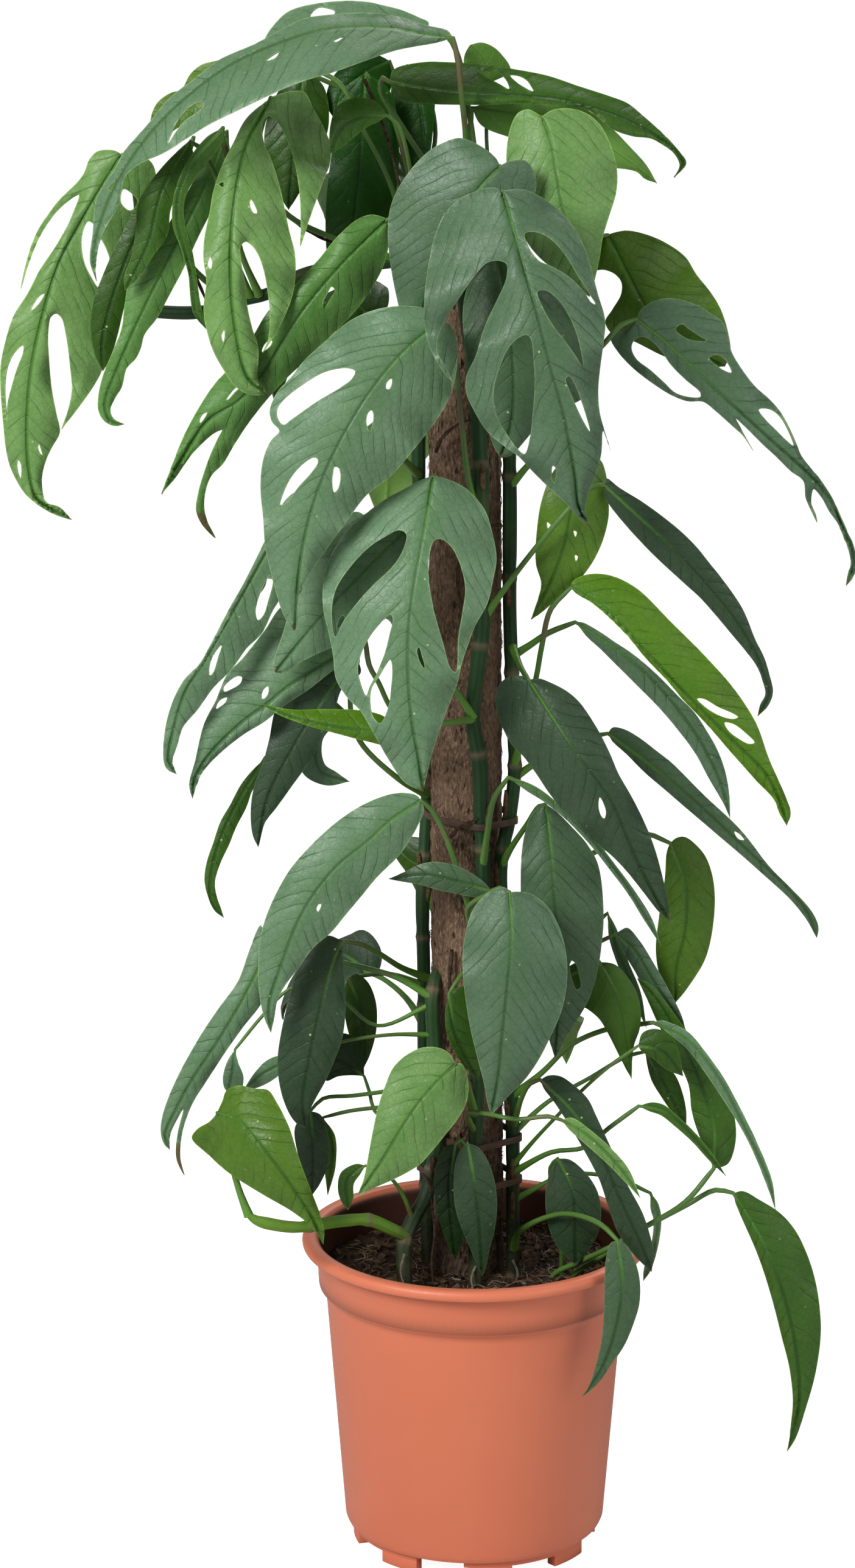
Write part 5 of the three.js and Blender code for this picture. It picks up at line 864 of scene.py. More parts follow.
       634,1093], [688,1063, 692,1075, 697,1093, 697,1098, 690,1088, 685,1068],
       [713,888, 725,886, 742,900, 757,932, 764,968, 760,1002, 753,1045, 748,1104, 740,1098, 727,1055,
       712,1000, 704,950, 705,915]]},
    {"name": "left_bright_folded", "tilt": [40, 35],
     "stalk": [776,1182,-30, 720,1190,-60, 652,1206,-90],
     "rib": [652,1206,-90, 600,1200,-92, 540,1192,-92, 480,1178,-90, 428,1156,-86],
     "left": [632,1178, 590,1167, 540,1165, 480,1166],
     "right": [645,1224, 600,1217, 550,1204, 500,1190, 460,1175]},
    {"name": "left_dark", "tilt": [15, 15],
     "stalk": [700,1305,22, 655,1280,0, 590,1216,-14, 575,1150,-26, 588,1085,-40],
     "rib": [588,1085,-40, 530,1150,-44, 480,1230,-46, 440,1310,-44, 424,1392,-40],
     "left": [540,1095, 490,1120, 455,1160, 442,1215, 432,1252, 418,1290, 412,1330, 415,1370],
     "right": [592,1105, 562,1130, 547,1175, 530,1210, 512,1245, 478,1293, 455,1325, 435,1352]},
    {"name": "left_curled_tip", "on": "left", "tilt": [10, 10],
     "stalk": [700,1290,24, 650,1235,4, 600,1200,-6, 560,1165,-14, 545,1150,-18],
     "rib": [545,1150,-18, 518,1215,-22, 524,1265,-22, 574,1284,-20],
     "left": [515,1165, 492,1230, 498,1271, 535,1290],
     "right": [560,1175, 530,1215, 533,1255, 552,1268]},
    {"name": "left_hanging_narrow", "tilt": [20, 20],
     "stalk": [702,1262,24, 660,1225,14, 610,1195,8, 540,1180,4, 480,1212,-4, 436,1245,-14],
     "rib": [436,1245,-14, 395,1310,-18, 363,1375,-20, 346,1440,-20, 347,1482,-18, 368,1508,-16],
     "left": [415,1265, 395,1290, 378,1322, 362,1350, 350,1385, 340,1415, 336,1445, 342,1475, 353,1497],
     "right": [430,1272, 413,1302, 405,1325, 388,1358, 376,1388, 361,1420, 353,1450, 356,1473, 362,1490]},
    {"name": "lower_left_long", "tilt": [18, 20],
     "stalk": [782,1520,-30, 765,1475,-40, 745,1410,-46, 722,1352,-52, 706,1328,-58, 691,1315,-62],
     "rib": [691,1315,-62, 645,1345,-70, 600,1385,-76, 558,1418,-80, 520,1462,-82, 490,1512,-84,
       462,1585,-82, 442,1650,-80, 445,1697,-78],
     "left": [684,1307, 668,1303, 640,1305, 600,1320, 560,1345, 530,1370, 500,1400, 475,1430, 455,1465,
       440,1498, 430,1530, 425,1570, 425,1620, 430,1655, 438,1682],
     "right": [696,1330, 688,1352, 675,1376, 655,1405, 620,1440, 595,1470, 570,1500, 545,1530, 515,1556,
       490,1590, 470,1616, 455,1645, 450,1672],
     "slots": [[527,1485, 526,1492, 522,1498, 520,1494, 523,1486]]},
    {"name": "lower_left_blue", "tilt": [15, 15],
     "stalk": [700,1606,16, 660,1590,0, 620,1565,-20, 590,1550,-34, 562,1546,-44],
     "rib": [562,1546,-44, 545,1590,-50, 525,1660,-56, 508,1740,-58, 497,1805,-56, 502,1853,-54],
     "left": [540,1537, 515,1545, 497,1570, 485,1605, 472,1650, 461,1700, 456,1740, 458,1775, 466,1808,
       480,1837, 492,1849],
     "right": [563,1575, 566,1620, 567,1665, 562,1705, 549,1742, 533,1778, 519,1803, 507,1828]},
    {"name": "far_left_long", "tilt": [20, 20],
     "stalk": [712,1640,-18, 650,1605,-16, 600,1590,-14, 560,1580,-16, 500,1560,-22, 440,1560,-28],
     "rib": [440,1560,-28, 400,1640,-34, 355,1715,-36, 315,1775,-34, 288,1825,-32, 271,1865,-30,
       279,1889,-28],
     "left": [428,1520, 410,1560, 392,1610, 360,1655, 330,1700, 308,1738, 292,1768, 277,1802, 267,1834,
       264,1858, 269,1879],
     "right": [440,1620, 428,1650, 400,1686, 365,1736, 335,1782, 315,1815, 300,1858, 296,1900, 303,1931,
       290,1905, 291,1865, 301,1822, 290,1840, 279,1866]},
    {"name": "lower_shaded", "on": "left", "tilt": [15, 15],
     "stalk": [702,1620,18, 640,1600,10, 572,1606,-6],
     "rib": [572,1606,-6, 592,1660,-10, 598,1710,-10, 597,1756,-8],
     "left": [566,1625, 566,1665, 575,1705, 589,1738],
     "right": [585,1600, 603,1612, 617,1645, 618,1690, 609,1728]},
    {"name": "lower_dark", "on": "low", "tilt": [10, 10],
     "stalk": [713,1882,-20, 650,1850,-24, 615,1825,-24, 607,1795,-22, 598,1768,-20],
     "rib": [598,1768,-20, 565,1745,-24, 530,1730,-24],
     "left": [596,1745, 588,1715, 572,1699, 550,1700],
     "right": [580,1766, 555,1768, 535,1775]},
    {"name": "pot_bright_left", "tilt": [20, 25],
     "stalk": [409,1998,-95, 396,1965,-93, 385,1930,-90, 372,1880,-84, 357,1828,-78],
     "rib": [357,1828,-78, 385,1836,-96, 420,1872,-112, 455,1915,-118, 490,1965,-116, 515,2005,-110,
       531,2044,-104],
     "left": [366,1808, 372,1792, 392,1783, 415,1788, 440,1791, 455,1812, 474,1850, 490,1900, 512,1960,
       524,1992, 532,2022],
     "right": [345,1842, 325,1854, 315,1869, 340,1895, 375,1926, 430,1961, 480,1990, 510,2014, 525,2033]},
    {"name": "left_small_folded", "on": "low", "tilt": [10, 10],
     "stalk": [708,1650,-18, 620,1685,-24, 565,1645,-30, 520,1615,-34, 475,1625,-36, 430,1670,-38,
       386,1724,-42],
     "rib": [386,1724,-42, 382,1760,-46, 374,1796,-46],
     "left": [374,1742, 366,1770, 368,1786],
     "right": [391,1745, 400,1770, 395,1790]},
    {"name": "center_bright", "tilt": [20, 18],
     "stalk": [780,1830,-30, 770,1790,-50, 758,1762,-68, 748,1749,-78],
     "rib": [748,1749,-78, 715,1780,-86, 685,1815,-92, 655,1860,-96, 625,1910,-94, 587,1964,-90],
     "left": [742,1738, 733,1727, 712,1720, 690,1722, 665,1735, 645,1755, 632,1785, 622,1815, 612,1860,
       605,1900, 598,1935],
     "right": [757,1747, 766,1765, 769,1790, 764,1815, 750,1840, 730,1865, 710,1890, 690,1912, 670,1925,
       640,1940, 610,1953]},
    {"name": "front_low", "tilt": [18, 18],
     "stalk": [782,1545,-30, 768,1498,-52, 778,1482,-70, 800,1470,-84, 820,1459,-92, 837,1466,-96],
     "rib": [837,1466,-96, 840,1540,-106, 833,1620,-110, 825,1700,-108, 818,1770,-102, 806,1832,-96],
     "left": [828,1458, 815,1460, 795,1472, 778,1492, 765,1530, 760,1570, 761,1610, 766,1650, 775,1700,
       785,1740, 795,1780, 801,1812],
     "right": [850,1465, 870,1468, 895,1485, 912,1510, 925,1545, 931,1580, 930,1620, 922,1660, 905,1700,
       885,1740, 860,1775, 835,1800, 815,1823]},
    {"name": "right_of_front", "tilt": [15, 20],
     "stalk": [822,1425,-16, 838,1395,-24, 865,1355,-36, 885,1325,-48, 896,1321,-52],
     "rib": [896,1321,-52, 905,1400,-60, 910,1480,-66, 915,1560,-66, 915,1650,-60, 911,1738,-54],
     "left": [885,1326, 872,1341, 862,1370, 857,1400, 855,1440, 857,1490, 868,1560, 885,1640, 900,1700],
     "right": [915,1335, 940,1360, 965,1388, 982,1420, 991,1500, 988,1550, 980,1600, 965,1645, 945,1680,
       928,1708, 917,1730],
     "slots": [[937,1578, 945,1583, 951,1603, 953,1622, 947,1626, 940,1610, 936,1592]]},
    {"name": "right_dark_large", "tilt": [18, 20],
     "stalk": [841,1062,-10, 850,1085,-26, 860,1105,-50, 868,1117,-72],
     "rib": [868,1117,-72, 902,1170,-82, 940,1228,-90, 975,1275,-94, 1008,1325,-94, 1040,1400,-88,
       1072,1465,-82, 1101,1515,-78],
     "left": [862,1112, 850,1110, 835,1112, 820,1125, 813,1150, 820,1180, 838,1220, 860,1243, 880,1270,
       900,1300, 925,1332, 945,1350, 975,1381, 1005,1406, 1030,1432, 1055,1463, 1080,1495],
     "right": [885,1115, 900,1120, 930,1135, 950,1152, 970,1180, 985,1205, 1000,1235, 1015,1270,
       1035,1305, 1055,1345, 1072,1385, 1085,1430, 1095,1475],
     "slots": [[985,1310, 990,1318, 995,1335, 992,1345, 987,1340, 983,1324]]},
    {"name": "right_narrow_dark", "tilt": [15, 15],
     "stalk": [798,1010,-27, 860,925,-50, 930,840,-62, 970,800,-54, 992,797,-46],
     "rib": [992,797,-46, 1050,850,-52, 1110,905,-56, 1160,960,-56, 1205,1015,-54, 1238,1068,-50,
       1256,1112,-48, 1263,1140,-46, 1244,1177,-44],
     "left": [996,786, 1015,800, 1060,828, 1090,850, 1120,875, 1145,900, 1165,925, 1185,950, 1218,998,
       1240,1050, 1254,1078, 1263,1108, 1269,1138, 1261,1160],
     "right": [993,815, 1005,835, 1060,898, 1120,955, 1150,982, 1175,1010, 1200,1040, 1225,1070,
       1243,1095, 1253,1120, 1257,1140, 1248,1158]},
    {"name": "right_bright", "tilt": [20, 20],
     "stalk": [844,1262,-8, 862,1180,-26, 880,1115,-34, 890,1060,-38, 905,1000,-46, 938,965,-47],
     "rib": [938,965,-47, 1000,1005,-53, 1060,1068,-58, 1130,1143,-60, 1200,1213,-58, 1258,1272,-54,
       1284,1325,-52, 1292,1357,-50],
     "left": [940,956, 952,948, 970,943, 995,944, 1020,952, 1050,970, 1100,1020, 1155,1075, 1200,1125,
       1240,1185, 1262,1245, 1275,1275, 1290,1310, 1298,1335],
     "right": [945,974, 970,989, 1000,1014, 1030,1044, 1060,1080, 1090,1112, 1120,1147, 1150,1178,
       1177,1208, 1200,1235, 1240,1280, 1270,1312, 1281,1338],
     "slots": [[1145,1148, 1155,1148, 1180,1162, 1205,1173, 1212,1178, 1205,1181, 1185,1177, 1160,1163],
       [1190,1187, 1205,1190, 1225,1205, 1239,1220, 1230,1222, 1212,1213, 1196,1200]]},
    {"name": "right_narrow_folded", "tilt": [20, 15],
     "stalk": [838,1080,-8, 870,1060,-16, 900,1040,-22, 945,1022,-28],
     "rib": [945,1022,-28, 1010,1065,-34, 1060,1105,-37, 1110,1160,-40, 1155,1225,-40, 1185,1290,-38,
       1199,1345,-36],
     "left": [955,1022, 980,1035, 1010,1055, 1040,1075, 1070,1100, 1110,1140, 1140,1170, 1160,1200,
       1177,1230, 1190,1265, 1198,1310],
     "right": [965,1047, 985,1065, 1010,1090, 1045,1125, 1080,1160, 1110,1195, 1140,1235, 1165,1280,
       1187,1318]},
    {"name": "right_narrow_low", "tilt": [15, 15],
     "stalk": [841,1280,-8, 900,1240,-4, 950,1215,-10, 998,1205,-18],
     "rib": [998,1205,-18, 1060,1250,-22, 1140,1315,-24, 1220,1390,-24, 1302,1468,-22, 1328,1503,-20,
       1341,1541,-18],
     "left": [1006,1195, 1025,1198, 1050,1212, 1080,1235, 1105,1255, 1160,1310, 1215,1362, 1265,1425,
       1317,1478, 1336,1502, 1344,1525],
     "right": [1006,1218, 1028,1238, 1060,1270, 1095,1300, 1165,1360, 1235,1420, 1298,1478, 1322,1507],
     "slots": [[1206,1366, 1216,1372, 1222,1380, 1212,1378]]},
    {"name": "behind_crown_yellow", "tilt": [15, 15],
     "stalk": [837,800,-8, 880,752,-20, 925,724,-34, 950,740,-40],
     "rib": [950,740,-40, 938,840,-46, 915,930,-44, 872,1018,-38],
     "left": [912,770, 890,820, 882,870, 880,925, 889,960, 878,1000],
     "right": [985,755, 995,780, 999,820, 999,850, 985,900, 960,942, 930,970, 890,1005],
     "slots": [[898,858, 904,862, 901,872], [942,872, 947,874, 945,882], [944,912, 949,914, 946,922]]},
    {"name": "right_edge_narrow", "on": "front", "tilt": [10, 10],
     "stalk": [793,1425,-28, 800,1370,-44, 812,1310,-62, 835,1277,-72],
     "rib": [835,1277,-72, 900,1310,-74, 960,1365,-76, 1020,1440,-74, 1060,1505,-72, 1086,1555,-70],
     "left": [865,1285, 895,1302, 945,1348, 985,1388, 1010,1420, 1040,1460, 1070,1508],
     "right": [863,1298, 893,1317, 930,1347, 970,1389, 1000,1427, 1030,1467, 1058,1512]},
    {"name": "right_yellow_low", "tilt": [15, 15],
     "stalk": [832,1490,-14, 900,1440,-6, 1000,1390,0, 1060,1370,0, 1100,1385,0],
     "rib": [1100,1385,0, 1125,1450,-2, 1125,1530,-2, 1110,1590,0, 1108,1648,4],
     "left": [1095,1400, 1092,1440, 1083,1500, 1077,1560, 1084,1605, 1098,1635],
     "right": [1112,1376, 1125,1375, 1145,1390, 1160,1410, 1172,1450, 1172,1510, 1158,1575, 1125,1628]},
    {"name": "right_long_narrow", "on": "right", "tilt": [15, 15],
     "stalk": [834,1660,-11, 900,1600,-10, 960,1560,-13, 1010,1535,-16],
     "rib": [1010,1535,-16, 1040,1560,-17, 1075,1615,-17, 1105,1660,-16, 1126,1692,-14],
     "left": [1018,1529, 1030,1524, 1050,1545, 1075,1585, 1100,1630, 1118,1665],
     "right": [1020,1558, 1045,1600, 1065,1640, 1090,1670, 1110,1688]},
    {"name": "right_grey_strip", "on": "right", "tilt": [10, 10],
     "stalk": [837,1715,-10, 900,1640,2, 960,1535,2, 998,1500,-4],
     "rib": [998,1500,-4, 1012,1560,-6, 1035,1610,-6, 1062,1690,-4],
     "left": [1010,1520, 1030,1575, 1052,1630],
     "right": [1000,1540, 1018,1595, 1045,1655]},
    {"name": "right_under", "tilt": [15, 15],
     "stalk": [835,1690,-10, 890,1640,-26, 940,1600,-38, 985,1580,-42],
     "rib": [985,1580,-42, 1015,1640,-46, 1028,1710,-46, 1037,1772,-42],
     "left": [1010,1585, 1030,1605, 1045,1630, 1052,1660, 1050,1690, 1040,1720],
     "right": [962,1577, 932,1590, 925,1618, 940,1645, 965,1658, 985,1675, 1000,1700, 1020,1740]},
    {"name": "right_low_long", "tilt": [15, 15],
     "stalk": [842,1800,-9, 890,1762,-16, 940,1715,-22, 1000,1690,-26, 1048,1683,-31, 1073,1680,-36],
     "rib": [1073,1680,-36, 1130,1710,-40, 1180,1770,-42, 1222,1850,-42, 1262,1938,-40, 1274,1990,-38],
     "left": [1085,1676, 1100,1680, 1130,1695, 1160,1730, 1185,1765, 1205,1800, 1240,1870, 1268,1940],
     "right": [1085,1688, 1105,1703, 1130,1725, 1160,1765, 1190,1810, 1215,1850, 1240,1900, 1260,1950]},
    {"name": "right_low_yellow", "soil": 1, "tilt": [15, 15],
     "stalk": [905,2100,-18, 950,2074,-30, 1000,2050,-50, 1060,2015,-52, 1125,1975,-42, 1172,1920,-34],
     "rib": [1172,1920,-34, 1172,1850,-30, 1150,1780,-28, 1115,1705,-28, 1080,1645,-28, 1046,1607,-26],
     "left": [1163,1900, 1148,1865, 1136,1825, 1130,1780, 1105,1728, 1080,1680, 1062,1640],
     "right": [1195,1912, 1207,1880, 1207,1840, 1195,1800, 1165,1752, 1135,1705, 1100,1655, 1068,1617]},
    {"name": "right_low_dark", "on": "right", "tilt": [15, 15],
     "stalk": [844,1912,-12, 880,1870,-20, 918,1830,-34, 955,1792,-46, 1000,1752,-54, 1048,1718,-56],
     "rib": [1048,1718,-56, 1085,1725,-58, 1122,1768,-56],
     "left": [1055,1697, 1075,1690, 1100,1700, 1115,1730],
     "right": [1055,1728, 1070,1737, 1095,1757]},
    {"name": "right_low_shaded", "on": "right", "tilt": [15, 15],
     "stalk": [842,1862,-8, 900,1810,0, 970,1770,-2, 1030,1735,-8, 1060,1728,-14],
     "rib": [1060,1728,-14, 1095,1790,-16, 1127,1848,-14],
     "left": [1085,1745, 1108,1765, 1122,1800, 1127,1830],
     "right": [1062,1745, 1070,1775, 1085,1800, 1105,1828]},
    {"name": "right_low_bright", "tilt": [15, 15],
     "stalk": [842,1848,-8, 848,1832,-26, 856,1805,-44, 870,1780,-56, 887,1774,-62],
     "rib": [887,1774,-62, 940,1825,-66, 985,1895,-68, 1020,1975,-68, 1052,2045,-68, 1070,2090,-66],
     "left": [900,1767, 920,1768, 945,1785, 965,1805, 980,1835, 1005,1890, 1030,1945, 1058,2000,
       1073,2060],
     "right": [893,1788, 910,1810, 945,1865, 965,1900, 985,1940, 1000,1985, 1015,2025, 1040,2060]},
    {"name": "right_rolled", "tilt": [30, 30],
     "stalk": [781,1862,-28, 768,1830,-44, 800,1830,-66, 850,1839,-80, 900,1834,-84, 922,1840,-86],
     "rib": [922,1840,-86, 960,1861,-88, 1000,1898,-88, 1030,1934,-87, 1052,1969,-86],
     "left": [938,1836, 965,1853, 1003,1886, 1032,1920],
     "right": [935,1856, 960,1878, 1000,1914, 1028,1943]},
    {"name": "pot_small_dark", "soil": 1, "tilt": [15, 15],
     "stalk": [922,2108,-8, 921,2040,-14, 908,1960,-20, 904,1918,-30, 916,1903,-40],
     "rib": [916,1903,-40, 940,1955,-44, 944,2020,-42, 946,2078,-36],
     "left": [903,1925, 896,1960, 898,2000, 908,2035, 925,2060],
     "right": [935,1905, 960,1925, 980,1955, 987,1990, 982,2025, 965,2055]},
    {"name": "rim_front", "tilt": [15, 15],
     "stalk": [844,2050,-14, 853,2023,-28, 924,1994,-54, 987,2012,-82, 1014,2038,-94],
     "rib": [1014,2038,-94, 1022,2110,-98, 1012,2180,-98, 990,2245,-96, 957,2294,-92],
     "left": [1003,2042, 995,2070, 993,2100, 992,2150, 988,2200, 978,2245, 968,2275],
     "right": [1028,2045, 1042,2070, 1050,2100, 1050,2140, 1040,2175, 1025,2210, 1005,2240, 982,2272]},
    {"name": "right_drooping", "soil": 1, "tilt": [20, 20],
     "stalk": [935,2105,-14, 990,2063,-30, 1035,2030,-36, 1127,1980,-32, 1175,1955,-30, 1204,1960,-30],
     "rib": [1204,1960,-30, 1250,2035,-34, 1285,2120,-36, 1308,2220,-36, 1312,2310,-34, 1293,2384,-30],
     "left": [1220,1957, 1245,1970, 1280,1992, 1305,2020, 1325,2060, 1340,2110, 1347,2160, 1347,2200,
       1340,2250, 1330,2290, 1305,2365],
     "right": [1208,1976, 1220,2005, 1240,2050, 1258,2100, 1272,2150, 1285,2200, 1297,2250, 1302,2300,
       1298,2350]},
    {"name": "pot_front", "tilt": [15, 15],
     "stalk": [781,1940,-28, 772,1915,-48, 763,1888,-62, 768,1878,-64],
     "rib": [768,1878,-64, 780,1950,-68, 788,2030,-64, 792,2097,-58],
     "left": [757,1888, 748,1910, 745,1945, 748,1985, 757,2015, 770,2045, 782,2075],
     "right": [785,1885, 800,1905, 812,1940, 816,1980, 812,2020, 803,2055, 797,2085]},
    {"name": "pot_front_behind", "on": "front", "tilt": [10, 10],
     "stalk": [781,1925,-28, 768,1900,-40, 756,1873,-46, 748,1878,-48],
     "rib": [748,1878,-48, 738,1950,-50, 742,2020,-48, 748,2072,-44],
     "left": [730,1885, 718,1910, 713,1950, 718,1990, 730,2030],
     "right": [757,1890, 765,1930, 765,1980, 760,2030]},
    {"name": "left_pointing", "tilt": [20, 15],
     "stalk": [794,1480,-28, 806,1484,-42, 814,1474,-50, 808,1464,-54],
     "rib": [808,1464,-54, 760,1450,-58, 700,1437,-58, 638,1444,-52],
     "left": [795,1450, 775,1435, 750,1422, 715,1416, 690,1420, 665,1432],
     "right": [795,1472, 775,1473, 750,1468, 720,1462, 690,1453, 660,1448]},
    {"name": "behind_front_low", "on": "front", "tilt": [10, 10],
     "stalk": [787,1600,-28, 775,1590,-44, 755,1605,-56, 737,1633,-62],
     "rib": [737,1633,-62, 745,1690,-64, 762,1735,-62, 785,1775,-58],
     "left": [731,1670, 735,1700, 747,1728, 765,1755],
     "right": [760,1620, 775,1640, 785,1700, 790,1740]},
    {"name": "left_low_shaded", "on": "low", "tilt": [10, 10],
     "stalk": [714,1775,-20, 650,1790,-24, 580,1800,-30, 530,1805,-34, 510,1825,-36],
     "rib": [510,1825,-36, 515,1900,-38, 513,1963,-36],
     "left": [485,1850, 490,1900, 500,1940],
     "right": [527,1832, 540,1880, 538,1915, 525,1945]},
    {"name": "left_low_yellow", "on": "low", "tilt": [10, 10],
     "stalk": [714,1815,-20, 640,1818,-22, 575,1825,-26, 530,1836,-26],
     "rib": [530,1836,-26, 545,1880,-28, 542,1930,-28, 538,1965,-26],
     "left": [527,1865, 532,1915],
     "right": [550,1865, 551,1915]},
    {"name": "pot_small_left", "on": "low", "tilt": [10, 10],
     "stalk": [679,2005,-35, 660,1960,-44, 630,1925,-58, 600,1915,-66],
     "rib": [600,1915,-66, 570,1938,-68, 572,1988,-66],
     "left": [585,1912, 560,1926, 555,1955, 563,1978],
     "right": [592,1928, 581,1945, 580,1968]},
    {"name": "left_low_grey", "on": "low", "tilt": [10, 10],
     "stalk": [712,1700,-18, 640,1700,-32, 560,1712,-38, 510,1730,-32, 470,1745,-26],
     "rib": [470,1745,-26, 430,1765,-26, 400,1792,-24],
     "left": [458,1735, 438,1742, 420,1760, 406,1780],
     "right": [462,1762, 445,1776, 422,1787]},
    {"name": "right_small", "on": "right", "tilt": [10, 10],
     "stalk": [843,1926,-11, 905,1893,-24, 960,1885,-36, 1000,1853,-44, 1049,1817,-48],
     "rib": [1049,1817,-48, 1085,1823,-50, 1115,1843,-51, 1145,1875,-51, 1168,1903,-50, 1192,1932,-48],
     "left": [1070,1811, 1090,1815, 1112,1833, 1132,1851, 1153,1874, 1173,1900],
     "right": [1065,1825, 1085,1832, 1108,1850, 1138,1877, 1163,1905]},
    {"name": "rim_right_curled", "on": "right", "tilt": [10, 10],
     "stalk": [843,1972,-10, 930,1930,2, 1010,1935,6, 1068,1960,6],
     "rib": [1068,1960,6, 1080,1995,6, 1074,2050,6, 1056,2105,6],
     "left": [1080,1975, 1086,2000, 1080,2050, 1068,2088],
     "right": [1068,1985, 1073,2005, 1068,2050, 1057,2085]},
    {"name": "crown_back_dark", "on": "left", "tilt": [15, 15],
     "stalk": [681,425,3, 672,300,26, 640,180,36, 600,120,34],
     "rib": [600,120,34, 592,250,30, 578,380,28, 560,470,28],
     "left": [562,150, 545,250, 535,350, 540,430],
     "right": [640,150, 655,260, 640,360, 600,440]},
    {"name": "crown_back_gap", "on": "left", "tilt": [15, 15],
     "stalk": [681,425,3, 684,340,34, 640,230,56, 565,150,60, 500,118,52],
     "rib": [500,118,52, 488,190,44, 480,270,40, 474,345,38],
     "left": [465,140, 440,190, 434,240, 446,290, 462,325],
     "right": [530,140, 540,200, 522,260, 495,310]},
    {"name": "crown_back_upper", "on": "left", "tilt": [15, 15],
     "stalk": [681,425,3, 685,340,36, 670,230,60, 655,150,68, 640,100,66],
     "rib": [640,100,66, 600,118,62, 565,150,58, 552,200,54],
     "left": [610,88, 575,100, 545,130, 536,170],
     "right": [645,125, 635,160, 600,190, 570,205]},
    {"name": "crown_back_shade", "on": "left", "tilt": [15, 15],
     "stalk": [681,425,3, 690,330,40, 715,220,62, 700,150,66, 668,108,60],
     "rib": [668,108,60, 686,160,56, 695,220,52, 695,285,48],
     "left": [648,125, 642,180, 655,240, 675,268],
     "right": [690,108, 712,150, 712,200, 705,255]}
]

# What each leaf's colour is like, from silvery to fresh green, set to how dark each leaf looks, so the darker
# steps are partly painted shade for leaves that lie in shadow among the others. A leaf with no group here is
# green.
tints = {
    "silver": (0.116, 0.214, 0.108),
    "blue": (0.080, 0.150, 0.078),
    # painted shade, in part: the next five tints are darker steps of the hues above, for leaves that lie in
    # shadow
    "slate": (0.056, 0.110, 0.050),
    "deep": (0.030, 0.063, 0.028),
    "dark": (0.010, 0.072, 0.001),
    "deepShade": (0.010, 0.034, 0.006),
    "shade": (0.025, 0.075, 0.003),
    "green": (0.040, 0.112, 0.010),
    "mid": (0.090, 0.215, 0.046),
    "fresh": (0.135, 0.270, 0.072),
    "lime": (0.074, 0.178, 0.006),
    "yellow": (0.073, 0.163, 0.011),
}
tintOf = {
    "silver": ["middle_left_large", "middle_grey", "left_low_split", "left_long", "far_left_long",
               "lower_left_long", "front_middle_split", "left_low_grey", "right_grey_strip", "right_low_long",
               "crown_back_top", "crown_arching", "rim_right_curled"],
    "blue": ["front_crown_split", "front_low", "right_split", "right_long_narrow", "right_edge_narrow",
             "left_small_folded", "left_curled_tip", "crown_round", "right_narrow_folded"],
    "slate": ["right_of_front", "left_pointing", "rim_front", "right_narrow_low", "behind_front"],
    "deep": ["right_dark_large", "left_dark", "lower_left_blue", "pot_small_dark", "pot_front",
             "right_low_bright", "right_narrow_dark", "left_low_shaded"],
    "dark": ["crown_back_dark", "crown_back_upper", "crown_back_shade"],
    # painted shade: these leaves take the darkest tint because they lie deep in shadow
    "deepShade": ["lower_dark", "pot_front_behind"],
    "shade": ["crown_back_gap", "left_backlit", "right_low_dark", "right_low_shaded", "behind_front_low",
              "lower_shaded", "right_under"],
    "mid": ["crown_diagonal", "left_blue", "crown_right_under"],
    "fresh": ["crown_far_left", "crown_hanging", "center_bright", "crown_heart", "right_rolled"],
    "lime": ["right_bright", "left_bright_folded"],
    "yellow": ["right_yellow", "behind_crown_yellow", "crown_back_left", "right_yellow_low",
               "pot_bright_left", "left_low_yellow"],
}
undersideSeen = {"crown_right_under", "right_under", "crown_curled"}


def tintFor(name):
    for tint, names in tintOf.items():
        if name in names:
            return tints[tint]
    return tints["green"]


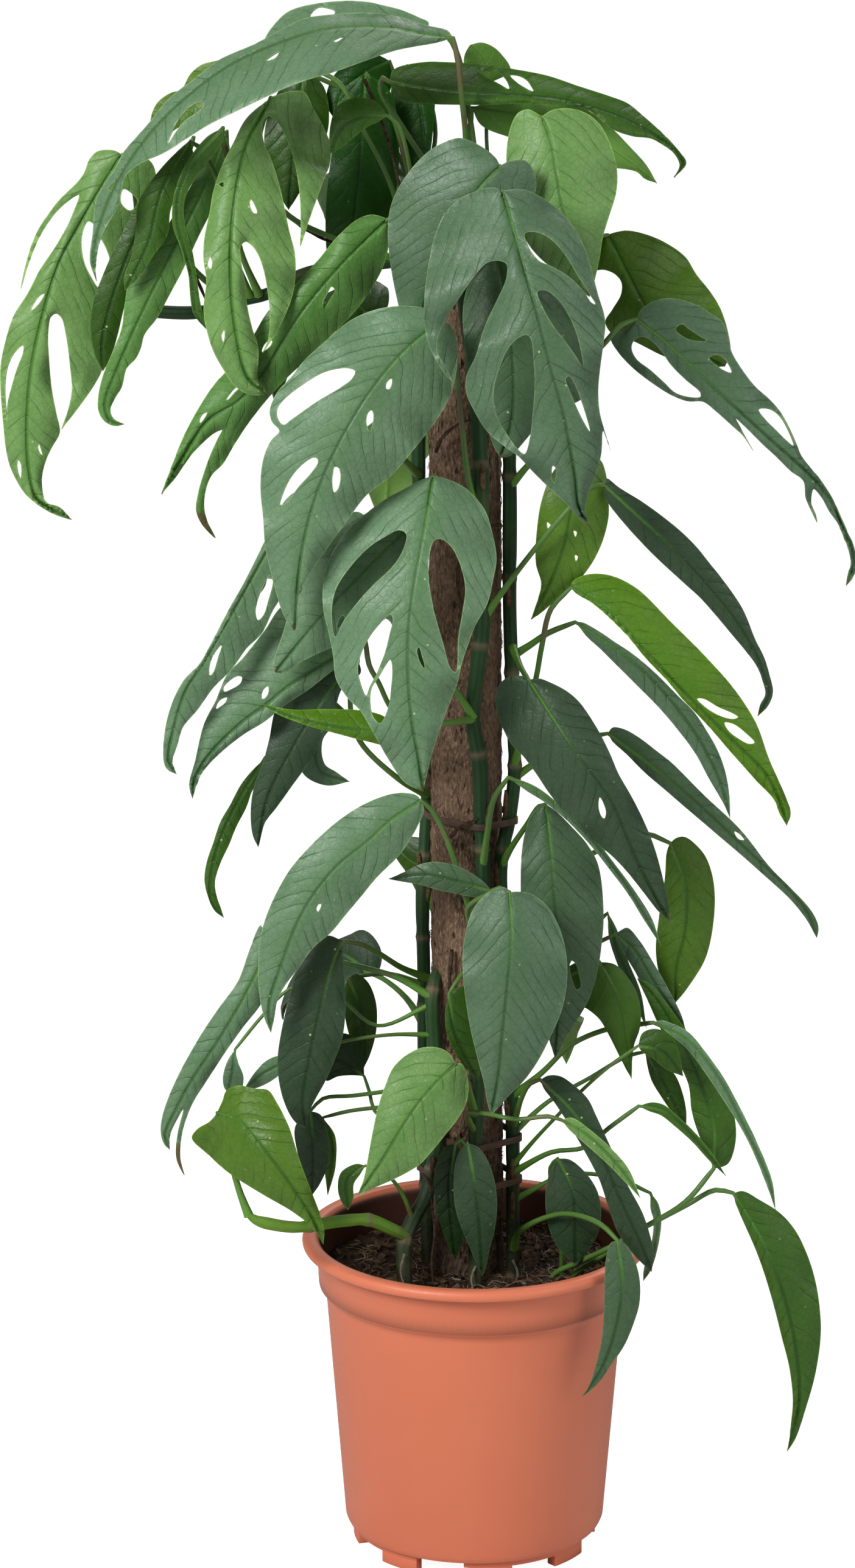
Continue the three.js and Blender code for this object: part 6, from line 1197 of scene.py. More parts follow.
# Leaf surfaces: the top with pale flecks and sunk veins, the underside paler with raised ones
def makeLeafMaterial(name, look):
    material, tree = newMaterial(name)
    place = objectPlace(tree)
    tint = attribute(tree, "leafTint").outputs[0]
    where = attribute(tree, "leafPlace")
    outward, along, _ = channels(tree, where.outputs[0])
    veins = tree.nodes.new("ShaderNodeGroup")
    veins.node_tree = veinGroup
    tree.links.new(addNode(tree, "ShaderNodeUVMap", {"uv_map": "veinMap"}).outputs[0], veins.inputs["Map"])
    tree.links.new(place, veins.inputs["Place"])
    veins.inputs["Spacing"].default_value = look["spacing"]
    veins.inputs["Slant"].default_value = look["slant"]
    midrib, side, net, quilt = veins.outputs
    broad, fine = mottle(tree, place, 28.0, 420.0)
    color = toned(tree, tint, *look["cast"])
    # painted sheen: pale noise patches stand in for the silvery shine of the leaves, partly also dust and
    # water marks
    dustAndSheenPatch = span(tree, noiseAt(tree, place, 16.0, 5.0, 0.62), 0.55, 0.75)
    inner = span(tree, outward, 0.0, 0.55, 1.0, 0.0)
    for factor, amount, multiple in (
            (broad, "mottle", "paler"), (inner, "inner", "greener"), (quilt, "quilt", "paler"),
            (side, "sideVein", "vein"), (net, "net", "vein"), (dustAndSheenPatch, "dustAndSheen", "paler")):
        color = laid(tree, color, toned(tree, tint, *look[multiple]), factor, look[amount])
    ribColor = mixed(tree, span(tree, along, 0.05, 0.4), look["ribColor"], toned(tree, tint, *look["far"]))
    color = laid(tree, color, ribColor, midrib, look["midrib"])
    flecks = addNode(tree, "ShaderNodeTexVoronoi", None, Vector=place, Scale=look["fleckScale"])
    fleck = span(tree, flecks.outputs["Distance"], 0.06, 0.12, 1.0, 0.0)
    chosen = span(tree, channels(tree, flecks.outputs["Color"])[0], 0.72, 0.75)
    nearRib = span(tree, outward, 0.25, 0.5, 1.0, 0.25)
    color = laid(tree, color, look["fleckColor"], fleck, chosen, nearRib, look["fleck"])
    edge = span(tree, where.outputs["Alpha"], 0.6, 0.9)
    color = laid(tree, color, toned(tree, tint, *look["rim"]), edge, look["edge"])
    tip = span(tree, total(tree, along, product(tree, fine, 0.012)), 0.985, 1.005)
    color = laid(tree, color, (0.12, 0.07, 0.025, 1), tip, 0.85)
    grain = product(tree, total(tree, fine, broad), 0.5)
    rough = span(tree, grain, 0.0, 1.0, look["rough"][0], look["rough"][1], False)
    height = total(tree, *(product(tree, value, rise) for value, rise in (
        (side, look["sideRise"]), (midrib, look["ribRise"]), (quilt, look["quiltRise"]),
        (net, look["netRise"]), (fine, 0.06), (broad, 0.5))))
    surface(tree, color, rough, bumped(tree, height, 0.55, 0.0011), Specular_IOR_Level=look["specular"])
    return material


topLook = {
    "cast": (1.0, 1.0, 1.0), "spacing": 0.115, "slant": 1.5,
    "mottle": 0.4, "quilt": 0.2, "paler": (1.4, 1.3, 1.45), "inner": 0.35, "greener": (0.55, 0.8, 0.4),
    "sideVein": 0.65, "net": 0.2, "vein": (0.3, 0.45, 0.28), "far": (0.42, 0.58, 0.34),
    "midrib": 0.8, "ribColor": (0.075, 0.22, 0.025, 1),
    "fleckScale": 115.0, "fleck": 0.85, "fleckColor": (0.42, 0.55, 0.26, 1),
    "edge": 0.6, "rim": (2.6, 2.1, 1.8), "dustAndSheen": 0.35,
    "rough": (0.36, 0.52), "specular": 0.32,
    "sideRise": -0.6, "ribRise": -0.7, "quiltRise": 0.4, "netRise": -0.12,
}
underLook = {
    "cast": (1.45, 1.35, 1.1), "spacing": 0.115, "slant": 1.5,
    "mottle": 0.3, "quilt": 0.1, "paler": (1.9, 1.7, 1.6), "inner": 0.15, "greener": (1.2, 1.2, 0.8),
    "sideVein": 0.4, "net": 0.2, "vein": (2.2, 2.0, 1.4), "far": (2.2, 2.0, 1.4),
    "midrib": 0.8, "ribColor": (0.20, 0.36, 0.09, 1),
    "fleckScale": 115.0, "fleck": 0.2, "fleckColor": (0.30, 0.40, 0.20, 1),
    "edge": 0.5, "rim": (2.6, 2.1, 1.8), "dustAndSheen": 0.1,
    "rough": (0.5, 0.66), "specular": 0.35,
    "sideRise": 0.4, "ribRise": 0.5, "quiltRise": -0.3, "netRise": 0.1,
}
leafTop = makeLeafMaterial("leafTop", topLook)
leafUnder = makeLeafMaterial("leafUnderside", underLook)


# stalks: fresh green where they leave the stem, brown and dry in places, and leaf green along the blade
def makeStalkMaterial():
    material, tree = newMaterial("leafStalk")
    tint = attribute(tree, "leafTint").outputs[0]
    onBlade, along, own = channels(tree, attribute(tree, "leafPlace").outputs[0])
    broad, fine = mottle(tree, objectPlace(tree), 24.0, 500.0)
    color = mixed(tree, span(tree, along, 0.1, 0.8), (0.095, 0.26, 0.020, 1), (0.070, 0.175, 0.024, 1))
    color = laid(tree, color, (0.12, 0.20, 0.05, 1), broad, 0.35)
    brown = product(tree, span(tree, broad, 0.55, 0.95), span(tree, own, 0.5, 0.8))
    color = laid(tree, color, (0.13, 0.075, 0.04, 1), brown, 0.75)
    color = laid(tree, color, toned(tree, tint, 1.25, 1.35, 0.85), span(tree, onBlade, 0.0, 0.7))
    normal = bumped(tree, total(tree, fine, product(tree, broad, 0.6)), 0.35, 0.0004)
    surface(tree, color, 0.42, normal, Specular_IOR_Level=0.5)
    return material


def makeEdgeMaterial():
    material, tree = newMaterial("leafEdge")
    broad, fine = mottle(tree, objectPlace(tree), 60.0, 400.0)
    color = mixed(tree, 0.55, attribute(tree, "leafTint").outputs[0], (0.27, 0.42, 0.16, 1))
    color = laid(tree, color, (0.20, 0.30, 0.12, 1), broad, 0.4)
    surface(tree, color, 0.5, bumped(tree, fine, 0.1, 0.0002))
    return material


leafMaterials = [leafTop, leafUnder, makeStalkMaterial(), makeEdgeMaterial()]
print("leaf materials ready")

stemOf = {"front": "vine_front", "right": "vine_right", "left": "vine_left", "low": "vine_low_left",
          "shoot": "shoot_arching"}
brightLeaves = set(tintOf["fresh"]) | set(tintOf["yellow"])
for row in leafRows:
    piece = makeSeenLeaf(row, leafMaterials, tintFor(row["name"]))
    node = stemOf[row["on"]] if "on" in row else "leaf_" + row["name"]
    settle(piece, "leaf_bright" if row["name"] in brightLeaves else "leaf_blue", node)
print("leaves ready", len(leafRows))

# Stems: round, with a ring at each joint, from the soil up
stems = {
    "vine_front": {"radius": 5, "soil": 1, "path": [781, 2125, -30, 781, 1990, -28, 781, 1856, -28,
        786, 1650, -28, 793, 1441, -28, 790, 1337, -28, 788, 1255, -28, 776, 1177, -28, 784, 1100, -28,
        792, 1026, -28, 791, 920, -28, 790, 815, -28, 785, 694, -27, 772, 560, -27, 760, 450, -29,
        760, 390, -26, 762, 340, -16]},
    "vine_right": {"radius": 4.5, "soil": 1, "path": [842, 2120, -14, 842, 2000, -10, 842, 1885, -8,
        838, 1700, -10, 830, 1550, -14, 822, 1425, -16, 838, 1333, -12, 845, 1268, -8, 841, 1130, -8,
        837, 998, -8, 837, 793, -8, 833, 650, -11, 818, 540, -19, 807, 470, -24, 798, 425, -27,
        790, 380, -18, 788, 340, -4]},
    "vine_left": {"radius": 4.5, "soil": 1, "path": [704, 2118, 18, 698, 1850, 18, 696, 1601, 18,
        694, 1467, 18, 702, 1304, 26, 698, 1200, 24, 694, 1000, 20, 687, 737, 18, 690, 600, 16,
        687, 480, 9, 680, 420, 2]},
    "vine_low_left": {"radius": 5, "soil": 1, "path": [665, 2118, -48, 664, 2041, -42, 680, 2000, -34,
        699, 1965, -26, 713, 1900, -20, 716, 1800, -20, 712, 1700, -18, 710, 1640, -17, 716, 1606, -9,
        722, 1590, 0]},
    "shoot_arching": {"radius": 4.2, "path": [672, 425, 0, 640, 430, 0, 520, 445, 2, 484, 457, 2,
        441, 482, 2, 400, 492, 2, 335, 512, 2, 260, 512, 4, 215, 505, 6]},
}
sideShoot = {"radius": 4.2, "path": [664, 2030, -42, 640, 2018, -50, 604, 2004, -58, 560, 2006, -66,
             489, 2016, -88, 450, 2012, -94, 420, 2004, -96, 408, 1996, -96]}
stemLook = {"grain": 2.6, "sides": 32, "ridges": 8, "ridge": 0.045, "ring": 0.14, "ringLength": 2.0,
            "joint": 58.0, "jointSpread": (0.7, 1.3), "firstJoint": (15, 40), "lastJoint": 8,
            "waist": 0.06, "waistAfter": 7, "waistLength": 4.0, "swell": 0.03, "swellLength": 17.0,
            "tip": 16.0}


def stemPath(stem):
    line = list(seenPath(stem["path"]))
    if stem.get("soil"):
        line.insert(0, np.array([line[0][0], line[0][1], soilTop - rootDepth]))
    return smoothLine(line, stemLook["grain"], flat=3)


def makeStemTube(stem, seed):            # its points, faces and where its joints are
    line = stemPath(stem)
    chance = random.Random(seed)
    lengths = alongLine(line)
    radii = np.full(len(line), float(stem["radius"]))
    scar = np.zeros(len(line))
    at = chance.uniform(*stemLook["firstJoint"])
    while at < lengths[-1] - stemLook["lastJoint"]:
        bell = np.exp(-((lengths - at) / stemLook["ringLength"]) ** 2)
        radii *= 1 + stemLook["ring"] * bell
        afterRing = (lengths - at - stemLook["waistAfter"]) / stemLook["waistLength"]
        radii *= 1 - stemLook["waist"] * np.exp(-afterRing ** 2)
        scar = np.maximum(scar, bell)
        at += stemLook["joint"] * chance.uniform(*stemLook["jointSpread"])
    radii *= 1 + stemLook["swell"] * np.sin(lengths / stemLook["swellLength"] + chance.uniform(0, 6))
    radii *= np.clip((lengths[-1] - lengths) / stemLook["tip"] + 0.2, 0.2, 1.0) ** 0.5
    sides = stemLook["sides"]
    points, faces = tube(line, radii, sides)
    turn = np.tile(np.arange(sides) * 2 * math.pi / sides, len(line))
    middle = np.repeat(line, sides, axis=0)
    rise = 1 + stemLook["ridge"] * np.cos(stemLook["ridges"] * turn)
    groove = 0.5 - 0.5 * np.cos(stemLook["ridges"] * turn)
    return middle + (points - middle) * rise[:, None], faces, np.repeat(scar, sides), groove


def makeStemMaterial():
    material, tree = newMaterial("stemGreen")
    place = objectPlace(tree)
    scar, groove, shoot = channels(tree, attribute(tree, "stemPlace").outputs[0])
    broad, fine = mottle(tree, place, 26.0, 420.0)
    color = mixed(tree, broad, (0.008, 0.036, 0.009, 1), (0.022, 0.070, 0.018, 1))
    color = laid(tree, color, (0.060, 0.115, 0.05, 1), groove, 0.3)
    color = laid(tree, color, mixed(tree, broad, (0.10, 0.22, 0.018, 1), (0.15, 0.29, 0.035, 1)), shoot)
    woody = mixed(tree, fine, (0.006, 0.006, 0.003, 1), (0.036, 0.030, 0.017, 1))
    old = span(tree, total(tree, heightOf(tree, place), product(tree, broad, 0.07)), 0.22, 0.36, 0.9, 0.0)
    color = laid(tree, color, woody, old, calc(tree, "SUBTRACT", 1.0, shoot))
    color = laid(tree, color, (0.10, 0.07, 0.04, 1), span(tree, broad, 0.7, 1.0), 0.35)
    color = laid(tree, color, (0.17, 0.125, 0.075, 1), scar, 0.85)
    normal = bumped(tree, total(tree, broad, product(tree, fine, 0.5)), 0.4, 0.0005)
    surface(tree, color, 0.56, normal, Specular_IOR_Level=0.25)
    return material


stemGreen = makeStemMaterial()
for name, stem in stems.items():
    parts = [makeStemTube(stem, name)]
    if name == "vine_low_left":
        parts.append(makeStemTube(sideShoot, "sideShoot"))
    piece = newPiece(name + "_stem", *together([part[:2] for part in parts]), [stemGreen], 60)
    paint(piece, "stemPlace", np.vstack([
        np.stack([scar, groove, np.full(len(scar), float(i)), np.ones(len(scar))], -1)
        for i, (_, _, scar, groove) in enumerate(parts)]))
    settle(piece, "stem", name)
print("stems ready")

# Leaves on the far side, each on a stem: the heading, where it leaves the stem, reach, rise, length, width,
# roll, droop and slot pairs
farLeaf = {
    "rows": [
        ("left", 104, 905, 66, 48, 185, 92, 10, 84, 2), ("left", 74, 868, 76, 40, 190, 98, -18, 92, 2),
        ("left", 128, 826, 62, 28, 155, 78, 25, 98, 1), ("left", 62, 792, 84, 34, 165, 84, -28, 86, 1),
        ("left", 98, 744, 66, 28, 180, 86, 16, 100, 2),
        ("left", 138, 660, 60, 30, 145, 72, 30, 84, 0), ("left", 83, 598, 66, 30, 155, 76, -12, 100, 0),
        ("left", 86, 440, 74, 24, 130, 64, -20, 104, 0),
        ("left", 134, 366, 60, 26, 120, 60, 30, 88, 0), ("right", 74, 330, 76, 28, 118, 58, -16, 98, 0),
        ("left", 92, 277, 62, 26, 105, 52, 12, 92, 0),
    ],
    "start": 24.0, "tilt": 16.0, "sway": 5.0, "grain": 2.4,
    "outline": [(-0.04, 0.25), (0.06, 0.7), (0.26, 1.0), (0.52, 0.92), (0.76, 0.55), (0.92, 0.2)],
    "tints": ["silver", "blue", "green", "deep", "fresh"],
}


def stemAt(name, height):
    line = stemPath(stems[name])
    return line[np.abs(line[:, 2] - height).argmin()]


def makeFarLeaf(index, row, materials):
    on, around, height, reach, rise, length, width, roll, droop, splits = row
    chance = random.Random(index)
    heading = math.radians(around)
    out = np.array([math.cos(heading), math.sin(heading), 0.0])
    side = np.array([out[1], -out[0], 0.0])
    up = np.array([0.0, 0.0, 1.0])
    start = stemAt(stemOf[on], height)
    base = start + reach * out + rise * up
    lean = math.radians(farLeaf["tilt"])
    rolled = math.radians(roll)

    def bend(v):
        share = np.minimum(np.asarray(v, float) / length, 1)
        return np.radians(farLeaf["start"] - (farLeaf["start"] + droop) * share)

    def sway(v):
        return math.copysign(farLeaf["sway"], roll) * np.sin(math.pi * np.maximum(v, 0) / length)

    def beside(share, t):
        return share * width / 2 + float(sway(t * length)), t * length

    table = np.linspace(-0.1 * length, length, 240)
    steps = np.stack([np.cos(bend(table)), np.sin(bend(table))], -1) * (table[1] - table[0])
    path = np.cumsum(steps, axis=0)
    zero = np.array([np.interp(0, table, path[:, k]) for k in (0, 1)])

    def place(u, v, lift):
        u, v, lift = (np.asarray(a, float) for a in (u, v, lift))
        far = np.interp(v, table, path[:, 0]) - zero[0]
        high = np.interp(v, table, path[:, 1]) - zero[1]
        raised = -np.sin(bend(v))[..., None] * out + np.cos(bend(v))[..., None] * up
        across = u * math.cos(lean)
        sideways = across * math.cos(rolled) - lift * math.sin(rolled)
        above = across * math.sin(rolled) + lift * math.cos(rolled)
        return (base + far[..., None] * out + high[..., None] * up
                + sideways[..., None] * side + above[..., None] * raised)

    def margin(sign):
        corners = [(0, 0)] + [beside(sign * w, t) for t, w in farLeaf["outline"]] + [beside(0, 1)]
        return smoothLine(corners, 2.2)[1:-1]

    def slot(sign, t):
        corners = [(0.22, t), (0.6, t - 0.01), (0.78, t + 0.07), (0.5, t + 0.07)]
        return smoothLine([beside(sign * w, v) for w, v in corners], 1.6, closed=True)

    slots = [slot(sign, (0.24 if sign < 0 else 0.3) + 0.2 * i) for i in range(splits) for sign in (-1, 1)]
    rib = np.array([(*beside(0, t), 0.0) for t in np.linspace(0, 1, 36)])
    sheet = makeSheet(rib, [margin(-1), margin(1)], slots, place, farLeaf["grain"], 1.0, chance)
    lift = shaped(sheet, [math.degrees(math.atan(math.sin(lean)))] * 2, 1.0)
    space = place(sheet["points"][:, 0], sheet["points"][:, 1], lift)
    stalk = smoothLine([start, start + 0.3 * reach * out + 0.6 * rise * up,
                        start + 0.7 * reach * out + 0.95 * rise * up, base], leaf["stalkGrain"], flat=3)
    facing = 0.5 * out + up
    tint = tints[farLeaf["tints"][index % len(farLeaf["tints"])]]
    piece = makeLeaf(f"far_{index + 1}_leaf", sheet, space, stalk, space[:len(rib)], facing, tint, materials)
    settle(piece, "leaf_blue", stemOf[on])


for index, row in enumerate(farLeaf["rows"]):
    makeFarLeaf(index, row, leafMaterials)
print("far leaves ready")

# Pot: a wall profile spun round, with double feet
pot = {
    "height": 222.0, "rim": 120.0, "lip": 7.5, "collarTop": 110.0, "collarFoot": 108.5, "collar": 28.0,
    "bodyTop": 103.6, "bodyFoot": 91.0, "wall": 2.4, "footHeight": 14.0, "footRadius": 86.0, "footWidth": 8.0,
    "footSpread": 67.0, "footNotch": 25.0, "footTurn": 5.0, "floor": 16.5, "steps": 144, "ridges": 0.22,
}


def spun(name, profile, steps, turn=360.0, start=0.0):
    # a profile of radius and height, spun round the pot's axis in edit mode
    first = math.radians(start)
    points = [(r * math.cos(first), r * math.sin(first), z) for r, z in profile]
    closed = turn < 360
    mesh = bpy.data.meshes.new(name)
    edges = [(i, i + 1) for i in range(len(profile) - 1)]
    faces = [tuple(range(len(profile)))] if closed else []
    mesh.from_pydata(inFrame(points).tolist(), [] if closed else edges, faces)
    piece = bpy.data.objects.new(name, mesh)
    bpy.context.collection.objects.link(piece)
    activate(piece)
    bpy.ops.object.mode_set(mode="EDIT")
    bpy.ops.mesh.select_all(action="SELECT")
    bpy.ops.mesh.spin(steps=steps, angle=math.radians(turn), center=tuple(potMiddle), axis=(0, 0, 1))
    bpy.ops.mesh.select_all(action="SELECT")
    bpy.ops.mesh.remove_doubles(threshold=0.00002)
    bpy.ops.mesh.normals_make_consistent(inside=False)
    bpy.ops.object.mode_set(mode="OBJECT")
    return piece


def potProfile():
    p = pot
    high, rim, top = p["height"], p["rim"], p["collarTop"]
    foot, bodyTop, bodyFoot = p["collarFoot"], p["bodyTop"], p["bodyFoot"]
    under = high - p["lip"]
    collarLow = under - p["collar"]
    outside = [
        (0, 12), (p["footRadius"], 12), (p["footRadius"] + 2.8, 13.2), (bodyFoot - 1.2, 15.2),
        (bodyFoot - 0.5, 17), (bodyTop - 0.25, collarLow - 7.5), (bodyTop + 0.3, collarLow - 5.2),
        (bodyTop + 1.6, collarLow - 2.6), (foot - 1.4, collarLow - 1.0), (foot - 0.3, collarLow + 0.2),
        (foot, collarLow + 1.4), (top, under - 1.2), (top + 0.8, under - 0.2), (rim - 2.4, under),
        (rim - 0.9, under + 0.6), (rim - 0.2, under + 1.9), (rim, high - 4), (rim - 0.4, high - 2.1),
        (rim - 1.6, high - 0.6), (rim - 3.2, high), (top + 2, high), (top + 0.2, high - 0.6),
        (top - 1.2, high - 2.4), (top - p["wall"], high - 5),
    ]
    inside = []
    for i in range(25):                  # fine rings inside the collar
        t = i / 24
        radius = top - p["wall"] + t * (foot - top)
        inside.append((radius - (p["ridges"] if i % 2 else 0), high - 6 + t * (collarLow + 5 - high)))
    floor = [(bodyTop - p["wall"], collarLow - 5.5), (bodyFoot - 2 - p["wall"], p["floor"]), (0, p["floor"])]
    return outside + inside + floor


def makePotMaterial():
    material, tree = newMaterial("potPlastic")
    place = objectPlace(tree)
    broad, fine = mottle(tree, place, 9.0, 700.0)
    color = mixed(tree, product(tree, broad, 0.5), (0.70, 0.185, 0.092, 1), (0.76, 0.215, 0.11, 1))
    east, north, height = addNode(tree, "ShaderNodeSeparateXYZ", None, i0=place).outputs
    color = laid(tree, color, (0.60, 0.15, 0.075, 1), span(tree, height, 0.0, 0.03, 0.35, 0.0))
    # painted shade: the inner wall of the collar, inside the pot and above the soil, is darkened nearly to
    # black, most deeply just below the rim
    squares = [calc(tree, "POWER", calc(tree, "SUBTRACT", axis, float(middle)), 2.0)
               for axis, middle in zip((east, north), potMiddle)]
    innerWallShade = span(tree, calc(tree, "SQRT", total(tree, *squares)), 0.1078, 0.1092, 1.0, 0.0)
    shade = span(tree, height, 0.2185, 0.2216, 0.95, 0.3)
    color = laid(tree, color, (0.040, 0.013, 0.008, 1), innerWallShade, span(tree, height, 0.186, 0.188), shade)
    scuff = span(tree, noiseAt(tree, place, 60.0, 6.0, 0.7), 0.62, 0.8)
    color = laid(tree, color, (0.72, 0.36, 0.24, 1), scuff, 0.12)
    rough = span(tree, fine, 0.0, 1.0, 0.38, 0.5, False)
    surface(tree, color, rough, bumped(tree, fine, 0.12, 0.0003), Specular_IOR_Level=0.45)
    return material


def makePot():
    body = spun("nurseryPot", potProfile(), pot["steps"])
    parts = [body]
    middle = pot["footTurn"] - 90
    half = pot["footSpread"] / 2
    outer, inner = pot["footRadius"] - 1, pot["footRadius"] - 1 - pot["footWidth"]

    def sector(low, high, start, end, spread=0.0):
        profile = [(outer + spread, low), (outer, high), (inner, high), (inner, low)]
        foot = spun("potFoot", profile, max(2, round((end - start) / 3)), end - start, start)
        parts.append(foot)

    for i in range(4):
        at = middle + 90 * i
        sector(pot["footHeight"] - 6, pot["footHeight"], at - half, at + half)
        sector(0, pot["footHeight"] - 5.5, at - half, at - pot["footNotch"] / 2)
        sector(0, pot["footHeight"] - 5.5, at + pot["footNotch"] / 2, at + half)
    for foot in parts[1:]:
        activate(foot)
        edge = foot.modifiers.new("edge", "BEVEL")
        edge.width = 0.7 * millimetre
        edge.segments = 2
        edge.limit_method = "ANGLE"
        bpy.ops.object.modifier_apply(modifier="edge")
    bpy.ops.object.select_all(action="DESELECT")
    for part in parts:
        part.select_set(True)
    bpy.context.view_layer.objects.active = body
    bpy.ops.object.join()
    body.data.materials.append(makePotMaterial())
    bpy.ops.object.shade_smooth_by_angle(angle=math.radians(38))
    settle(body, "pot_plastic", "pot")


makePot()
print("pot ready")

# Soil: an uneven peat surface with bark bits and fibres on it
soil = {
    "top": soilTop, "edge": 105.4, "rings": 46, "turns": 180,
    "bits": 700, "bitReach": 103.0, "barkShare": 0.45,
    "bark": {"size": (1.2, 3.6), "shape": [(1.1, 2.4), (0.7, 1.1), (0.25, 0.5)]},
    "crumb": {"size": (0.8, 2.4), "shape": [(0.7, 1.2)] * 3},
    "fibres": 460, "fibreReach": 100.0, "fibreLength": (6, 22), "fibreBow": 0.09, "fibrePoints": 6,
    "fibreRadius": (0.18, 0.5), "paleEvery": 5,
}


def soilHeight(x, y):
    lumps = noise.noise(Vector((x / 14.0, y / 14.0, 3.0))) * 2.6
    lumps += noise.noise(Vector((x / 5.0, y / 5.0, 8.0))) * 1.9
    return soil["top"] + lumps + noise.noise(Vector((x / 2.2, y / 2.2, 1.0))) * 0.9


def makeSoilMaterial(name, dark, light, scale):
    material, tree = newMaterial(name)
    place = objectPlace(tree)
    broad, fine = mottle(tree, place, scale, scale * 9)
    paler = (*(c * 1.7 for c in light), 1)
    color = laid(tree, mixed(tree, broad, (*dark, 1), (*light, 1)), paler, span(tree, fine, 0.6, 1.0), 0.5)
    normal = bumped(tree, total(tree, fine, broad), 0.9, 0.0012)
    surface(tree, color, 0.92, normal, Specular_IOR_Level=0.25)
    return material


def makeSoil():
    points, faces = [], []
    turns, rings = soil["turns"], soil["rings"]
    low = pot["height"] - pot["lip"] - pot["collar"] - 1.5
    for ring in range(1, rings + 1):
        radius = soil["edge"] * ring / rings
        for k in range(turns):
            a = 2 * math.pi * k / turns
            x, y = radius * math.cos(a), radius * math.sin(a)
            points.append((x, y, soilHeight(x, y)))
    wallRings = [(105.2, low), (100.8, low - 4.3), (86.2, 17.0)]
    for radius, z in wallRings:
        points += [(radius * math.cos(2 * math.pi * k / turns), radius * math.sin(2 * math.pi * k / turns), z)
                   for k in range(turns)]
    rings += len(wallRings)
    for ring in range(rings - 1):
        for k in range(turns):
            a, b = ring * turns + k, ring * turns + (k + 1) % turns
            faces.append((a, a + turns, b + turns, b))
    points += [(0, 0, soilHeight(0, 0)), (0, 0, 17.0)]
    faces += [(len(points) - 2, k, (k + 1) % turns) for k in range(turns)]
    last = (rings - 1) * turns
    faces += [(len(points) - 1, last + (k + 1) % turns, last + k) for k in range(turns)]
    peat = makeSoilMaterial("peat", (0.024, 0.012, 0.007), (0.085, 0.045, 0.024), 160.0)
    piece = newPiece("potSoil", points, faces, [peat], 60)
    settle(piece, "soil", "soil")


def makeSoilBits():
    chance = random.Random(11)
    bpy.ops.object.select_all(action="DESELECT")
    bpy.ops.mesh.primitive_ico_sphere_add(subdivisions=1, radius=1.0)
    seedObject = bpy.context.object
    ball = np.array([tuple(v.co) for v in seedObject.data.vertices])
    ballFaces = [tuple(p.vertices) for p in seedObject.data.polygons]
    bpy.data.objects.remove(seedObject)
    groups = {"bark": [], "crumb": []}
    for i in range(soil["bits"]):
        radius, a = soil["bitReach"] * math.sqrt(chance.random()), chance.uniform(0, 2 * math.pi)
        x, y = radius * math.cos(a), radius * math.sin(a)
        kind = "bark" if chance.random() < soil["barkShare"] else "crumb"
        size = chance.uniform(*soil[kind]["size"])
        stretch = np.array([chance.uniform(*limits) for limits in soil[kind]["shape"]])
        shape = ball * (1 + 0.3 * np.array([chance.uniform(-1, 1) for _ in range(len(ball))]))[:, None]
        shape = shape * stretch * size
        turn, tip = chance.uniform(0, 2 * math.pi), chance.uniform(-0.5, 0.5)
        c, s, ct, st = math.cos(turn), math.sin(turn), math.cos(tip), math.sin(tip)
        tilted = shape @ np.array([[ct, 0, -st], [0, 1, 0], [st, 0, ct]])
        turned = tilted @ np.array([[c, s, 0], [-s, c, 0], [0, 0, 1]])
        groups[kind].append(
            (turned + np.array([x, y, soilHeight(x, y) + 0.3 * size]), ballFaces))
    bark = makeSoilMaterial("barkBits", (0.07, 0.034, 0.016), (0.27, 0.155, 0.085), 220.0)
    crumb = makeSoilMaterial("peatCrumbs", (0.016, 0.009, 0.005), (0.08, 0.045, 0.025), 260.0)
    for name, material in (("bark", bark), ("crumb", crumb)):
        piece = newPiece("soil_" + name, *together(groups[name]), [material], 25)
        settle(piece, "soil")


def makeSoilFibres():
    chance = random.Random(5)
    dry, pale = [], []
    for i in range(soil["fibres"]):
        radius, a = soil["fibreReach"] * math.sqrt(chance.random()), chance.uniform(0, 2 * math.pi)
        x, y = radius * math.cos(a), radius * math.sin(a)
        turn, length = chance.uniform(0, 2 * math.pi), chance.uniform(*soil["fibreLength"])
        bow = chance.uniform(-soil["fibreBow"], soil["fibreBow"])
        line = []
        last = soil["fibrePoints"] - 1
        for k in range(soil["fibrePoints"]):
            px, py = x + length * k / last * math.cos(turn), y + length * k / last * math.sin(turn)
            turn += bow * length / last
            if math.hypot(px, py) > soil["bitReach"]:
                break
            proud = 0.5 + chance.uniform(0, 1.4) * math.sin(math.pi * k / last)
            line.append((px, py, soilHeight(px, py) + proud))
        if len(line) > 2:
            strands = dry if i % soil["paleEvery"] else pale
            strands.append(tube(line, chance.uniform(*soil["fibreRadius"]), 4))
    straw = makeSoilMaterial("dryFibre", (0.20, 0.125, 0.06), (0.42, 0.29, 0.16), 300.0)
    root = makeSoilMaterial("paleRoot", (0.42, 0.34, 0.24), (0.62, 0.54, 0.42), 200.0)
    settle(newPiece("soil_fibres", *together(dry), [straw], 60), "soil")
    settle(newPiece("soil_roots", *together(pale), [root], 60), "soil")


makeSoil()
makeSoilBits()
makeSoilFibres()
print("soil ready")

# Pole: wrapped fibre, rough and furred
pole = {"radius": 25.0, "foot": (-3.5, 5.0, 60.0), "top": (-9.0, 5.0, 897.0), "turns": 96, "rings": 520,
        "plain": 170.0, "fibres": 1500, "fibreRadius": (0.13, 0.34), "fibreFoot": 190,
        "fibreLength": (3, 11), "fibreSlope": 1.2, "fibreProud": (0.2, 1.8), "fibrePoints": 5}


def poleMiddle(z):
    t = (z - pole["foot"][2]) / (pole["top"][2] - pole["foot"][2])
    return np.array(pole["foot"]) * (1 - t) + np.array(pole["top"]) * t


